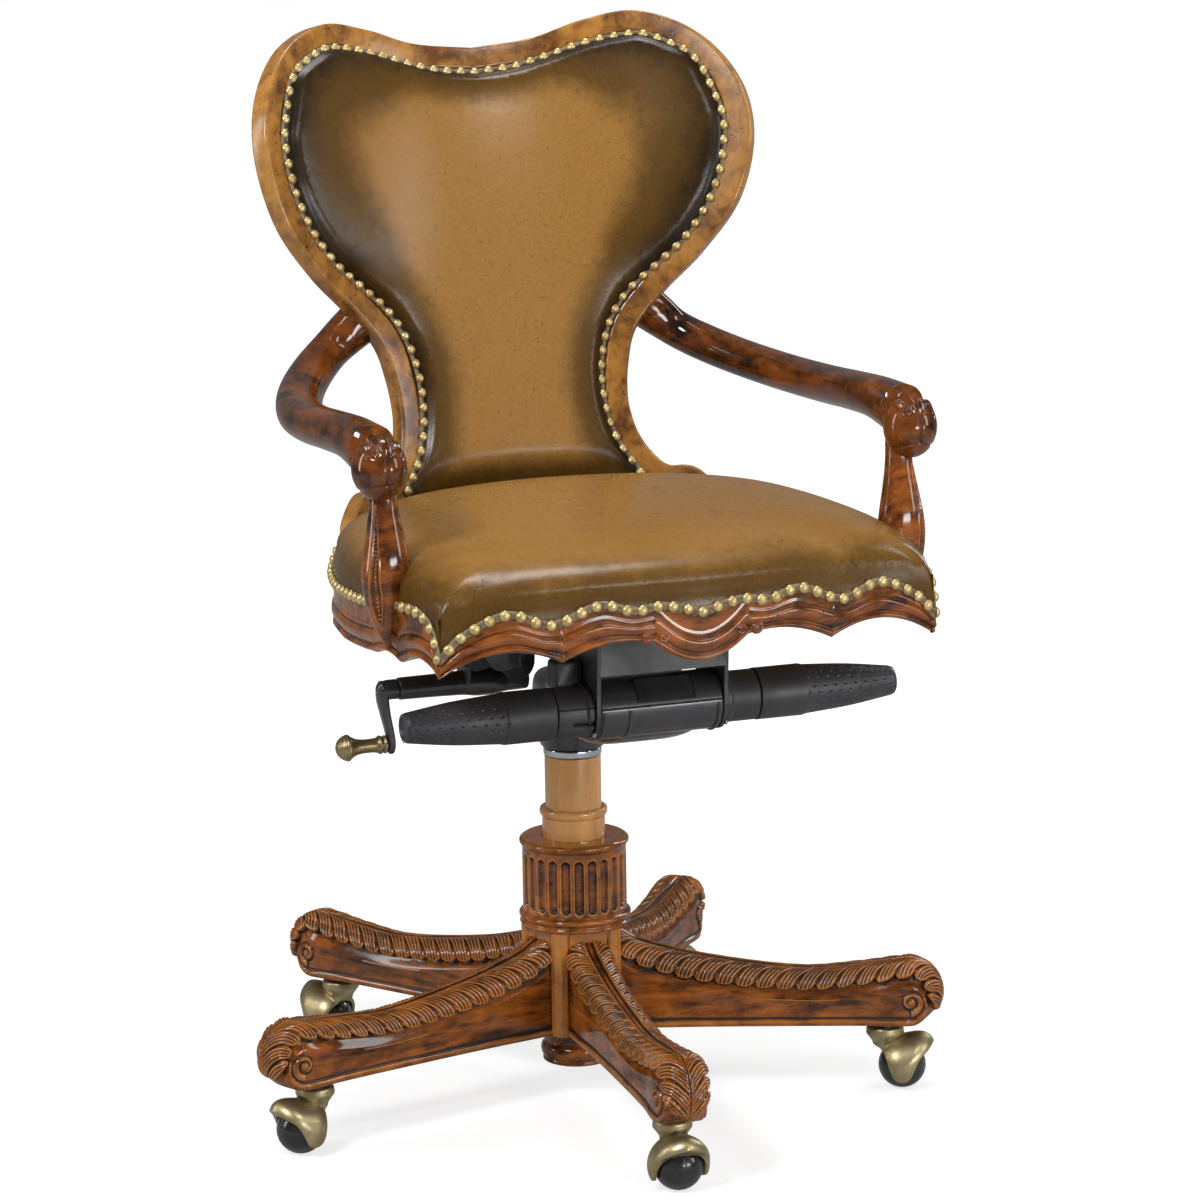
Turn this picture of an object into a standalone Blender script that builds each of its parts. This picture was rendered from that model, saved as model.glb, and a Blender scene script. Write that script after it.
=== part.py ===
"""Traditional swivel office chair with a carved five-legged base, a gas lift, a knee-tilt mechanism with twist
grips, a nailed leather seat and a keyhole-shaped leather back. Metres, +Z up, the sitter faces -Y."""

import math

import bmesh
import bpy
from mathutils import Matrix, Vector

CLEARANCE = 0.0003
RUNNING_CLEARANCE = 0.0005
SOFT_CLEARANCE = 0.00095
ROUND_STEPS = 24

# Floor casters
CASTER_COUNT = 5
BALL_RADIUS = 0.025
BALL_ROWS = 6
CASTER_TRAIL = 0.018
AXLE_RADIUS = 0.0030
STEM_RADIUS = 0.0055
STEM_HEIGHT_IN_LEG = 0.044
STEM_SEAT_DEPTH = 0.010
STEM_SHOULDER_RADIUS = 0.0135
HOOD_TOP = 0.0685
HOOD_GAP = 0.0024
HOOD_WALL = 0.0038
VISOR_REACH = 0.0135
VISOR_LIFT = math.radians(50)
VISOR_SPREAD = math.radians(30)
HOOD_SIDES = 12
HOOD_ROWS = 8
HOOD_RIM = [
    (-0.012, 0.0470), (-0.002, 0.0394), (0.006, 0.0179), (0.0110, 0.0125), (0.0165, 0.0112), (0.0225, 0.0130),
    (0.0268, 0.0177), (0.0348, 0.0367), (0.0497, 0.0490),
]
HOOD_COLLAR_RADIUS = 0.0185
HOOD_COLLAR_HEIGHT = 0.014

# Carved legs
FIRST_LEG_ANGLE = math.radians(-165.5)
STEM_CIRCLE_RADIUS = 0.325
LEG_UNDERSIDE = 0.0718
LEG_TIP_RADIUS = 0.0335
LEG_TIP_REACH = 0.0255
LEG_PANEL_RECESS = 0.003
LEG_BEAD_HEIGHT = 0.009
LEG_SPINE_HALF_WIDTH = 0.006
LEG_STATIONS = 12
LEG_TOP_KEYS = [
    (0.046, 0.1725), (0.068, 0.161), (0.131, 0.1445), (0.236, 0.130), (0.300, 0.1335), (0.3505, 0.1388),
]
LEG_HALF_WIDTH_KEYS = [
    (0.046, 0.0245), (0.120, 0.022), (0.200, 0.022), (0.300, 0.024), (0.345, 0.0275), (0.3835, 0.021),
]

# Fluted hub, its foot and the column
CORE_APOTHEM = 0.046
CORE_TOP = 0.184
DRUM_RADIUS = 0.054
DRUM_BOTTOM = 0.2005
DRUM_TOP = 0.2655
FLUTE_COUNT = 24
FLUTE_DEPTH = 0.0042
FLUTE_END_MARGIN = 0.0045
HUB_TOP = 0.279
HUB_RIM_RADIUS = 0.057
FOOT_RADIUS = 0.038
FOOT_BOTTOM = 0.035
CYLINDER_RADIUS = 0.025
CYLINDER_BOTTOM = 0.085
CYLINDER_TOP = 0.305
CYLINDER_FLOOR = 0.012
PISTON_RADIUS = 0.014
PISTON_BOTTOM = 0.160
PISTON_TOP = 0.430
COVER_RADIUS = 0.0295
COVER_WALL = 0.0037
COVER_BOTTOM = 0.220
COVER_TOP = 0.366
LIFT_DROP = 0.050
SLEEVE_WALL = 0.0030
SLEEVE_TOP = 0.310
SLEEVE_SEAT_DEPTH = 0.029
COLLAR_HEIGHT = 0.0085
COLLAR_OVERHANG = 0.001

# Tilt mechanism
TILT_Y = -0.2313
TILT_Z = 0.4677
TILT_AXLE_RADIUS = 0.008
DRUM_BODY_RADIUS = 0.030
FLANGE_INSIDE = 0.0655
FLANGE_THICKNESS = 0.004
FLANGE_LUG_RADIUS = 0.0308
GRIP_COLLAR_RADIUS = 0.0255
GRIP_COLLAR_LENGTH = 0.038
GRIP_INNER_RADIUS = 0.026
GRIP_PLAIN_LENGTH = 0.052
GRIP_LENGTH = 0.152
GRIP_END_RADIUS = 0.0145
BUSH_RADIUS = 0.0235
BUSH_HALF_LENGTH = 0.044
SOCKET_RADIUS = 0.0335
SEAT_PLATE_HALF_WIDTH = 0.120
SEAT_PLATE_THICKNESS = 0.004
SEAT_PLATE_FRONT = -0.275
SEAT_PLATE_REAR = 0.075

# Tension crank
CRANK_Y = 0.0
CRANK_Z = 0.4525
CRANK_SLEEVE_RADIUS = 0.0115
CRANK_SLEEVE_OUTER_END = -0.190
CRANK_SLEEVE_LENGTH = 0.140
CRANK_SHAFT_RADIUS = 0.0070
CRANK_ARM_X = -0.206
CRANK_ARM_LENGTH = 0.0570
CRANK_ARM_LEAN = 0.007
KNOB_PIN_RADIUS = 0.0030
KNOB_LENGTH = 0.056
KNOB_RADIUS = 0.0140

# Seat
DECK_TOP = 0.597
DECK_THICKNESS = 0.012
RAIL_THICKNESS = 0.022
SKIRT_THICKNESS = 0.004
SKIRT_BELOW_NAILS = 0.0065
SKIRT_UNDERCUT = 0.003
DECK_SPARE = 0.0015
SEAT_REAR_OVERLAP = 0.010
MITRE_INSIDE = 0.06
MITRE_OUTSIDE = 0.05
PAST_THE_CHAIR = 0.4
PAST_THE_RAILS = 0.15
SEAT_CORNER_X = 0.258
SEAT_CORNER_Y = -0.340
SEAT_FRONT_BOW = 0.029
SEAT_REAR_X = 0.196
CUSHION_CROWN = DECK_TOP + 0.055
CUSHION_EDGE_HEIGHT = DECK_TOP + 0.013
CUSHION_BULGE = 0.006
CORNER_BULGE_SHARE = 0.3
CORNER_LENGTH = 1.01
SEAT_FRONT_STEPS = 26
SEAT_SIDE_STEPS = 15
SEAT_REAR_STEPS = 12
SIDE_PLAN_KEYS = [
    (-0.340, 0.258), (-0.280, 0.266), (-0.200, 0.274), (-0.110, 0.274),
    (-0.040, 0.266), (0.030, 0.243), (0.090, 0.196),
]
FRONT_NAIL_KEYS = [
    (0.0, 0.588), (0.041, 0.597), (0.070, 0.594), (0.103, 0.602), (0.151, 0.586), (0.193, 0.598),
    (0.258, 0.560),
]
SIDE_NAIL_KEYS = [
    (-0.340, 0.560), (-0.322, 0.590), (-0.284, 0.597), (-0.131, 0.582), (0.010, 0.582), (0.065, 0.605),
    (0.090, 0.605),
]
FRONT_CUSPS = [(-0.0488, 0.5605), (0.0488, 0.5605), (0.1403, 0.5475), (0.258, 0.538)]
FRONT_ARCHES = [-0.0215, 0.0085, 0.0175]
SIDE_CUSPS = [
    (-0.340, 0.538), (-0.253, 0.5385), (-0.190, 0.5365), (-0.089, 0.529), (0.0, 0.5245), (0.090, 0.530),
]
SIDE_ARCHES = [0.0115, 0.0055, -0.001, 0.003, 0.006]

# Back
BACK_DEPTH = 0.2034
BACK_LEAN = 0.2693
BACK_CURVE = 1.476
BACK_REFERENCE_HEIGHT = 0.8
BACK_FRAME_THICKNESS = 0.020
BACK_FRAME_FACE = 0.0205
BACK_FRAME_ROUND = 0.003
BACK_PAD_DEPTH = 0.009
BACK_PAD_CROWN = 0.020
BACK_NAIL_BAND = 0.011
BACK_COVER_CROWN = 0.005
BACK_CENTRE_HEIGHT = 0.85
BACK_STEPS = 25
BACK_BOTTOM_STEPS = 6
BACK_INNER_BOTTOM = 0.622
BACK_FOOT_X = 0.186
BACK_VOLUTE_PLACE = (0.1835, 0.6245)
BACK_VOLUTE_RADIUS = 0.0145
BACK_VOLUTE_PROUD = 0.003
BACK_OUTLINE_KEYS = [
    (0.0, 1.078), (0.065, 1.0855), (0.120, 1.1035), (0.175, 1.113), (0.227, 1.092), (0.260, 1.045),
    (0.267, 0.986), (0.249, 0.918), (0.211, 0.862), (0.1735, 0.822), (0.142, 0.783), (0.127, 0.713),
    (0.136, 0.664), (0.160, 0.633),
]

# Arms and their posts. The arms' heights are measured from the top of the posts.
POST_TOP = 0.7060
ARM_KEYS = [
    (0.0, 0.1610, 0.1760, 0.1010, 0.0175, 0.0250),
    (0.1, 0.1766, 0.1964, 0.0832, 0.0190, 0.0220),
    (0.2, 0.1975, 0.1899, 0.0676, 0.0210, 0.0195),
    (0.3, 0.2218, 0.1638, 0.0537, 0.0225, 0.0190),
    (0.4, 0.2454, 0.1231, 0.0428, 0.0235, 0.0187),
    (0.5, 0.2647, 0.0729, 0.0358, 0.0240, 0.0187),
    (0.6, 0.2772, 0.0179, 0.0329, 0.0240, 0.0190),
    (0.7, 0.2817, -0.0384, 0.0338, 0.0235, 0.0195),
    (0.8, 0.2813, -0.0964, 0.0370, 0.0230, 0.0200),
    (0.9, 0.2799, -0.1578, 0.0390, 0.0225, 0.0215),
    (1.0, 0.2800, -0.2150, 0.0350, 0.0235, 0.0260),
]
ARM_ROOT_CLEARANCE = 0.0009
ARM_STATIONS = 14
ARM_SIDES = 10
KNUCKLE_PLACE = (0.2795, -0.2350, POST_TOP + 0.0215)
KNUCKLE_SIZE = (0.0270, 0.0280, 0.0320)
POST_KEYS = [
    (0.560, -0.230, 0.0060, 0.0060), (0.572, -0.230, 0.0140, 0.0130), (0.590, -0.229, 0.0205, 0.0185),
    (0.618, -0.228, 0.0245, 0.0210), (0.640, -0.228, 0.0225, 0.0200), (0.665, -0.226, 0.0180, 0.0170),
    (0.690, -0.223, 0.0140, 0.0140), (0.720, -0.221, 0.0130, 0.0130),
]
POST_X = 0.2725
POST_STATIONS = 9
POST_SIDES = 12

FINISHES = {
    "dark_walnut": ((0.150, 0.050, 0.020), 0.28, 0.0),
    "light_walnut": ((0.330, 0.165, 0.060), 0.32, 0.0),
    "honey_wood": ((0.560, 0.330, 0.140), 0.40, 0.0),
    "plywood": ((0.500, 0.350, 0.200), 0.70, 0.0),
    "leather": ((0.210, 0.125, 0.035), 0.40, 0.0),
    "antique_brass": ((0.430, 0.350, 0.190), 0.35, 1.0),
    "black_plastic": ((0.022, 0.022, 0.025), 0.45, 0.0),
    "black_steel": ((0.030, 0.030, 0.032), 0.35, 0.6),
    "black_rubber": ((0.015, 0.015, 0.016), 0.30, 0.0),
    "steel": ((0.550, 0.550, 0.560), 0.30, 1.0),
    "chrome": ((0.850, 0.850, 0.860), 0.06, 1.0),
}


# Tools for shapes


def clear_scene():
    for old in list(bpy.data.objects):
        bpy.data.objects.remove(old, do_unlink=True)


def through_keys(keys, at):
    """The values at one place on a smooth curve through keys, whose first number is the place along it."""
    at = min(max(at, keys[0][0]), keys[-1][0])
    span = 0
    while span < len(keys) - 2 and at > keys[span + 1][0]:
        span += 1
    start, end = keys[span], keys[span + 1]
    before = keys[max(span - 1, 0)]
    after = keys[min(span + 2, len(keys) - 1)]
    length = end[0] - start[0]
    t = (at - start[0]) / length
    values = []
    for i in range(1, len(start)):
        leaving = (end[i] - before[i]) / (end[0] - before[0]) * length
        arriving = (after[i] - start[i]) / (after[0] - start[0]) * length
        values.append(
            start[i] * (2 * t**3 - 3 * t**2 + 1)
            + leaving * (t**3 - 2 * t**2 + t)
            + end[i] * (3 * t**2 - 2 * t**3)
            + arriving * (t**3 - t**2)
        )
    return values


def along_points(points, count):
    """That many points, evenly spaced, on a smooth curve through the points."""
    keys = [(float(i), *point) for i, point in enumerate(points)]
    fine = [Vector(through_keys(keys, i * (len(points) - 1) / 400)) for i in range(401)]
    lengths = [0.0]
    for first, second in zip(fine, fine[1:]):
        lengths.append(lengths[-1] + (second - first).length)
    spaced = []
    index = 0
    for i in range(count):
        wanted = lengths[-1] * i / (count - 1)
        while index < 399 and lengths[index + 1] < wanted:
            index += 1
        share = (wanted - lengths[index]) / (lengths[index + 1] - lengths[index])
        spaced.append(fine[index].lerp(fine[index + 1], min(share, 1.0)))
    return spaced


def scalloped(cusps, arches, at):
    """The height of an edge whose cusps are joined by arches that rise or hang by the given amounts."""
    span = 0
    while span < len(arches) - 1 and at > cusps[span + 1][0]:
        span += 1
    start, end = cusps[span], cusps[span + 1]
    t = min(max((at - start[0]) / (end[0] - start[0]), 0.0), 1.0)
    return start[1] + (end[1] - start[1]) * t + arches[span] * 4 * t * (1 - t)


def join_rings(shape, rings, closed):
    pairs = list(zip(rings, rings[1:]))
    if closed:
        pairs.append((rings[-1], rings[0]))
    for lower, upper in pairs:
        steps = max(len(lower), len(upper))
        for i in range(steps):
            j = (i + 1) % steps
            corners = []
            for ring, step in ((lower, i), (lower, j), (upper, j), (upper, i)):
                corner = ring[step % len(ring)]
                if corner not in corners:
                    corners.append(corner)
            shape.faces.new(corners)
    if not closed:
        for end in (rings[0], rings[-1]):
            if len(end) > 2:
                shape.faces.new(end)
    bmesh.ops.recalc_face_normals(shape, faces=shape.faces)
    return shape


def loft(rings, closed=False):
    """A skin over rings of points. A ring of one point closes that end to a tip."""
    shape = bmesh.new()
    made = [[shape.verts.new(point) for point in ring] for ring in rings]
    return join_rings(shape, made, closed)


def lathe(profile, steps=ROUND_STEPS, closed=False, axis="Z", start=0.0):
    """A turned piece from (radius, distance along the axis) points. A closed profile makes a tube."""
    rings = []
    for radius, along in profile:
        if radius == 0:
            rings.append([Vector((0, 0, along))])
            continue
        ring = []
        for i in range(steps):
            angle = start + math.tau * i / steps
            ring.append(Vector((radius * math.cos(angle), radius * math.sin(angle), along)))
        rings.append(ring)
    if axis == "X":
        rings = [[Vector((p.z, p.x, p.y)) for p in ring] for ring in rings]
    if axis == "Y":
        rings = [[Vector((p.y, p.z, p.x)) for p in ring] for ring in rings]
    return loft(rings, closed)


def tube(outer, inner, bottom, top, steps=ROUND_STEPS, axis="Z"):
    return lathe([(outer, bottom), (outer, top), (inner, top), (inner, bottom)], steps, True, axis)


def rod(radius, bottom, top, steps=ROUND_STEPS, axis="Z"):
    return lathe([(radius, bottom), (radius, top)], steps, False, axis)


def plate(outline, axis, start, end):
    """A flat plate from an outline, whose points lie across the axis, between two places along it."""
    rings = []
    for place in (start, end):
        if axis == "X":
            rings.append([Vector((place, a, b)) for a, b in outline])
        elif axis == "Y":
            rings.append([Vector((a, place, b)) for a, b in outline])
        else:
            rings.append([Vector((a, b, place)) for a, b in outline])
    return loft(rings)


def box(low, high):
    corners = [(low[0], low[1]), (high[0], low[1]), (high[0], high[1]), (low[0], high[1])]
    return plate(corners, "Z", low[2], high[2])


def ellipsoid(place, size, around=16, up=8):
    rings = [[Vector(place) - Vector((0, 0, size[2]))]]
    for i in range(1, up):
        lift = -math.pi / 2 + math.pi * i / up
        ring = []
        for j in range(around):
            turn = math.tau * j / around
            level = math.cos(lift)
            offset = Vector((level * math.cos(turn), level * math.sin(turn), math.sin(lift)))
            ring.append(Vector(place) + Vector([a * b for a, b in zip(offset, size)]))
        rings.append(ring)
    rings.append([Vector(place) + Vector((0, 0, size[2]))])
    return loft(rings)


def moved(shape, place):
    bmesh.ops.translate(shape, vec=Vector(place), verts=shape.verts)
    return shape


def turned(shape, angle, axis="Z"):
    bmesh.ops.rotate(shape, cent=(0, 0, 0), matrix=Matrix.Rotation(angle, 3, axis), verts=shape.verts)
    return shape


def combined(first, second, operation):
    """A Boolean of two shapes, which it uses up."""
    helpers = []
    for shape in (first, second):
        mesh = bpy.data.meshes.new("helper")
        shape.to_mesh(mesh)
        shape.free()
        helper = bpy.data.objects.new("helper", mesh)
        bpy.context.scene.collection.objects.link(helper)
        helpers.append(helper)
    modifier = helpers[0].modifiers.new("boolean", "BOOLEAN")
    modifier.operation = operation
    modifier.solver = "EXACT"
    modifier.object = helpers[1]
    graph = bpy.context.evaluated_depsgraph_get()
    result = bmesh.new()
    result.from_object(helpers[0], graph)
    for helper in helpers:
        mesh = helper.data
        bpy.data.objects.remove(helper, do_unlink=True)
        bpy.data.meshes.remove(mesh)
    bmesh.ops.remove_doubles(result, verts=result.verts, dist=0.00001)
    return result


def joined(first, *others):
    for other in others:
        first = combined(first, other, "UNION")
    return first


def cut(first, *others):
    for other in others:
        first = combined(first, other, "DIFFERENCE")
    return first


# Tools for the assembly


def finish_material(name, finish):
    colour, roughness, metallic = FINISHES[finish]
    material = bpy.data.materials.new(name + "_finish")
    material.use_nodes = True
    shader = material.node_tree.nodes["Principled BSDF"]
    shader.inputs["Base Color"].default_value = (*colour, 1.0)
    shader.inputs["Roughness"].default_value = roughness
    shader.inputs["Metallic"].default_value = metallic
    material.diffuse_color = (*colour, 1.0)
    return material


def add_body(name, place, parent, turn=0.0):
    """An empty on a joint's axis, which carries the pieces that move together."""
    body = bpy.data.objects.new(name, None)
    bpy.context.scene.collection.objects.link(body)
    body.empty_display_size = 0.03
    body.parent = parent
    body.location = Vector(place) if parent is None else parent.matrix_world.inverted() @ Vector(place)
    body.rotation_euler.z = turn
    bpy.context.view_layer.update()
    return body


def add_part(name, shape, body, finish, in_body_frame=False):
    """One named solid on its body. The shape is in the chair's frame unless in_body_frame is set."""
    if not in_body_frame:
        bmesh.ops.transform(shape, matrix=body.matrix_world.inverted(), verts=shape.verts)
    mesh = bpy.data.meshes.new(name)
    shape.to_mesh(mesh)
    shape.free()
    mesh.shade_smooth()
    mesh.set_sharp_from_angle(angle=math.radians(35))
    part = bpy.data.objects.new(name, mesh)
    part.parent = body
    mesh.materials.append(finish_material(name, finish))
    bpy.context.scene.collection.objects.link(part)
    return part


# Base


def leg_tip_centre():
    return STEM_CIRCLE_RADIUS + LEG_TIP_REACH, LEG_TOP_KEYS[-1][1] - LEG_TIP_RADIUS


def leg_heights(reach):
    """The underside and the top of a leg at this distance from the column's axis."""
    centre, height = leg_tip_centre()
    top = through_keys(LEG_TOP_KEYS, reach)[0]
    bottom = LEG_UNDERSIDE
    if reach > centre:
        half = math.sqrt(max(LEG_TIP_RADIUS**2 - (reach - centre) ** 2, 0.0))
        top = height + half
    if reach > STEM_CIRCLE_RADIUS + HOOD_COLLAR_RADIUS:
        start = STEM_CIRCLE_RADIUS + HOOD_COLLAR_RADIUS
        share = (reach - start) / (centre + LEG_TIP_RADIUS - start)
        bottom = LEG_UNDERSIDE + (height - LEG_UNDERSIDE) * (1 - math.sqrt(max(1 - share**2, 0.0)))
    return bottom, top


def leg_section(reach):
    bottom, top = leg_heights(reach)
    half = through_keys(LEG_HALF_WIDTH_KEYS, reach)[0]
    tall = top - bottom
    band = min(0.018, tall * 0.25)
    bead = min(LEG_BEAD_HEIGHT, tall * 0.2)
    side = [
        (LEG_SPINE_HALF_WIDTH, top),
        (half * 0.60, top - band * 0.20),
        (half * 0.90, top - band * 0.55),
        (half, top - band * 0.90),
        (half - LEG_PANEL_RECESS, top - band - 0.002),
        (half - LEG_PANEL_RECESS, bottom + bead + 0.001),
        (half - 0.001, bottom + bead * 0.8),
        (half - 0.001, bottom + bead * 0.25),
        (half - 0.004, bottom),
    ]
    across = side + [(-a, b) for a, b in reversed(side)]
    return [Vector((reach, a, b)) for a, b in across]


def make_leg():
    inner = CORE_APOTHEM + CLEARANCE
    centre, _ = leg_tip_centre()
    straight = LEG_STATIONS - 5
    reaches = [inner + (centre - inner) * i / straight for i in range(straight)]
    for i in range(5):
        reaches.append(centre + LEG_TIP_RADIUS * math.sin(math.radians(20 * i)))
    leg = loft([leg_section(reach) for reach in reaches])
    hole = STEM_RADIUS + RUNNING_CLEARANCE
    top = LEG_UNDERSIDE + STEM_HEIGHT_IN_LEG + CLEARANCE
    return cut(leg, moved(rod(hole, LEG_UNDERSIDE - 0.02, top, 12), (STEM_CIRCLE_RADIUS, 0, 0)))


def fluted_ring():
    """The outside of the drum: flutes with rounded ends, cut into a ring."""
    shares = ((-0.33, 0.0), (-0.17, 1.0), (0.17, 1.0), (0.33, 0.0))
    low = DRUM_BOTTOM + FLUTE_END_MARGIN
    high = DRUM_TOP - FLUTE_END_MARGIN
    levels = ((DRUM_BOTTOM - 0.0008, 0.0), (low, 0.0), (low + 0.0035, 1.0), (high - 0.0035, 1.0), (high, 0.0),
              (DRUM_TOP + 0.0008, 0.0))
    rings = []
    for height, deep in levels:
        ring = []
        for flute in range(FLUTE_COUNT):
            for share, hollow in shares:
                angle = math.tau * (flute + share) / FLUTE_COUNT
                radius = DRUM_RADIUS - FLUTE_DEPTH * hollow * deep
                ring.append(Vector((radius * math.cos(angle), radius * math.sin(angle), height)))
        rings.append(ring)
    inside = (DRUM_RADIUS - FLUTE_DEPTH - 0.0045) / DRUM_RADIUS
    for ring in (rings[-1], rings[0]):
        rings.append([Vector((p.x * inside, p.y * inside, p.z)) for p in ring])
    return loft(rings, closed=True)


def hub_bores():
    """The radii of the hub's three bores, from the top: lower sleeve, moving cover and gas cylinder."""
    cover = COVER_RADIUS + RUNNING_CLEARANCE
    return cover + SLEEVE_WALL + CLEARANCE, cover, CYLINDER_RADIUS + CLEARANCE


def make_hub():
    sleeve_bore, cover_bore, cylinder_bore = hub_bores()
    shelf = HUB_TOP - SLEEVE_SEAT_DEPTH - CLEARANCE
    floor = COVER_BOTTOM - LIFT_DROP - 0.005
    neck = DRUM_RADIUS - FLUTE_DEPTH - 0.003
    turned_body = lathe(
        [
            (sleeve_bore, HUB_TOP), (HUB_RIM_RADIUS - 0.0025, HUB_TOP), (HUB_RIM_RADIUS, HUB_TOP - 0.0025),
            (HUB_RIM_RADIUS, HUB_TOP - 0.0065), (HUB_RIM_RADIUS - 0.0025, HUB_TOP - 0.0095),
            (HUB_RIM_RADIUS - 0.0045, DRUM_TOP), (neck, DRUM_TOP), (neck, DRUM_BOTTOM),
            (HUB_RIM_RADIUS - 0.0015, DRUM_BOTTOM), (HUB_RIM_RADIUS + 0.001, DRUM_BOTTOM - 0.0035),
            (HUB_RIM_RADIUS + 0.001, DRUM_BOTTOM - 0.0085), (HUB_RIM_RADIUS - 0.0015, DRUM_BOTTOM - 0.0110),
            (HUB_RIM_RADIUS, DRUM_BOTTOM - 0.0135), (HUB_RIM_RADIUS, CORE_TOP), (CORE_APOTHEM - 0.003, CORE_TOP),
            (CORE_APOTHEM - 0.003, LEG_UNDERSIDE), (cylinder_bore, LEG_UNDERSIDE), (cylinder_bore, floor),
            (cover_bore, floor), (cover_bore, shelf), (sleeve_bore, shelf),
        ],
        closed=True,
    )
    corner = CORE_APOTHEM / math.cos(math.pi / CASTER_COUNT)
    outline = []
    hollow = []
    for i in range(CASTER_COUNT):
        angle = FIRST_LEG_ANGLE + math.tau * (i + 0.5) / CASTER_COUNT
        outline.append((corner * math.cos(angle), corner * math.sin(angle)))
    for i in range(ROUND_STEPS):
        angle = math.tau * i / ROUND_STEPS
        radius = (CORE_APOTHEM - 0.003 + cylinder_bore) / 2
        hollow.append((radius * math.cos(angle), radius * math.sin(angle)))
    core = plate(outline, "Z", LEG_UNDERSIDE, CORE_TOP + 0.001)
    core = cut(core, plate(hollow, "Z", LEG_UNDERSIDE - 0.01, CORE_TOP + 0.01))
    return joined(turned_body, fluted_ring(), core)


def make_hub_foot():
    top = LEG_UNDERSIDE - CLEARANCE
    _, _, bore = hub_bores()
    return lathe(
        [
            (0, CYLINDER_BOTTOM - CLEARANCE), (bore - CLEARANCE, CYLINDER_BOTTOM - CLEARANCE),
            (bore - CLEARANCE, top), (FOOT_RADIUS - 0.0025, top), (FOOT_RADIUS - 0.002, top - 0.008),
            (FOOT_RADIUS - 0.004, top - 0.013), (FOOT_RADIUS - 0.001, top - 0.018), (FOOT_RADIUS, top - 0.024),
            (FOOT_RADIUS - 0.0015, FOOT_BOTTOM + 0.005), (FOOT_RADIUS - 0.005, FOOT_BOTTOM), (0, FOOT_BOTTOM),
        ]
    )


def make_gas_cylinder():
    bore = PISTON_RADIUS + RUNNING_CLEARANCE
    floor = CYLINDER_BOTTOM + CYLINDER_FLOOR
    return lathe(
        [
            (0, CYLINDER_BOTTOM), (CYLINDER_RADIUS, CYLINDER_BOTTOM), (CYLINDER_RADIUS, CYLINDER_TOP),
            (bore, CYLINDER_TOP), (bore, floor), (0, floor),
        ]
    )


def make_lower_sleeve():
    _, inner, _ = hub_bores()
    outer = inner + SLEEVE_WALL
    bottom = HUB_TOP - SLEEVE_SEAT_DEPTH
    return lathe(
        [
            (inner, bottom), (outer, bottom), (outer, SLEEVE_TOP - 0.008), (outer + 0.0018, SLEEVE_TOP - 0.0065),
            (outer + 0.0025, SLEEVE_TOP - 0.004), (outer + 0.0018, SLEEVE_TOP - 0.0015), (outer, SLEEVE_TOP),
            (inner, SLEEVE_TOP),
        ],
        closed=True,
    )


# Casters, each in its own frame: the stem's axis is Z, the ball trails along +X


def make_caster_stem():
    """A pin seated in the hood, with a shoulder that runs against the leg."""
    return lathe(
        [
            (STEM_RADIUS, HOOD_TOP - STEM_SEAT_DEPTH), (STEM_RADIUS, HOOD_TOP + CLEARANCE),
            (STEM_SHOULDER_RADIUS, HOOD_TOP + CLEARANCE), (STEM_SHOULDER_RADIUS, LEG_UNDERSIDE - RUNNING_CLEARANCE),
            (STEM_RADIUS, LEG_UNDERSIDE - RUNNING_CLEARANCE), (STEM_RADIUS, LEG_UNDERSIDE + STEM_HEIGHT_IN_LEG),
        ],
        12,
    )


def make_caster_hood():
    """A cast hood: a round collar under the leg, a raised visor over the ball and an ear each side for the axle."""
    top = HOOD_TOP
    inside = BALL_RADIUS + HOOD_GAP
    outside = inside + HOOD_WALL
    collar_bottom = top - HOOD_COLLAR_HEIGHT
    centre = Vector((CASTER_TRAIL, 0, BALL_RADIUS))
    dome = ellipsoid((0, 0, 0), (outside, outside, outside), HOOD_SIDES, HOOD_ROWS)
    for vertex in dome.verts:
        lift = math.atan2(vertex.co.z, vertex.co.x)
        ahead = math.exp(-(((lift - VISOR_LIFT) / VISOR_SPREAD) ** 2)) * (1 - abs(vertex.co.y) / outside)
        vertex.co *= 1 + VISOR_REACH / outside * ahead
    dome = moved(dome, centre)
    collar = lathe(
        [
            (0, top), (HOOD_COLLAR_RADIUS - 0.001, top), (HOOD_COLLAR_RADIUS, top - 0.003),
            (HOOD_COLLAR_RADIUS + 0.001, collar_bottom + 0.002), (HOOD_COLLAR_RADIUS - 0.006, collar_bottom - 0.006),
            (0, collar_bottom - 0.008),
        ],
        12,
    )
    past = CASTER_TRAIL + 0.060
    rim = [(-0.040, 0.0480), *HOOD_RIM, (past, 0.0560), (past, -0.040), (-0.040, -0.040)]
    hood = joined(dome, collar)
    hood = cut(hood, plate(rim, "Y", -0.06, 0.06))
    hood = cut(hood, ellipsoid(centre, (inside, inside, inside), HOOD_SIDES, HOOD_ROWS))
    hood = cut(hood, rod(STEM_RADIUS + CLEARANCE, top - STEM_SEAT_DEPTH - CLEARANCE, top + 0.01, 12))
    return cut(hood, moved(rod(AXLE_RADIUS + CLEARANCE, -0.06, 0.06, 8, "Y"), centre))


def make_caster_axle():
    half = BALL_RADIUS + HOOD_GAP + HOOD_WALL - 0.0008
    return moved(rod(AXLE_RADIUS, -half, half, 8, "Y"), (CASTER_TRAIL, 0, BALL_RADIUS))


def make_caster_ball():
    """A ball round the axle, in the frame of its own centre."""
    bore = AXLE_RADIUS + RUNNING_CLEARANCE
    rounds = BALL_ROWS
    edge = math.acos(bore / BALL_RADIUS)
    profile = []
    for i in range(rounds + 1):
        angle = -edge + 2 * edge * i / rounds
        profile.append((BALL_RADIUS * math.cos(angle), BALL_RADIUS * math.sin(angle)))
    return lathe(profile, 14, True, "Y")


# Lift


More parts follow.
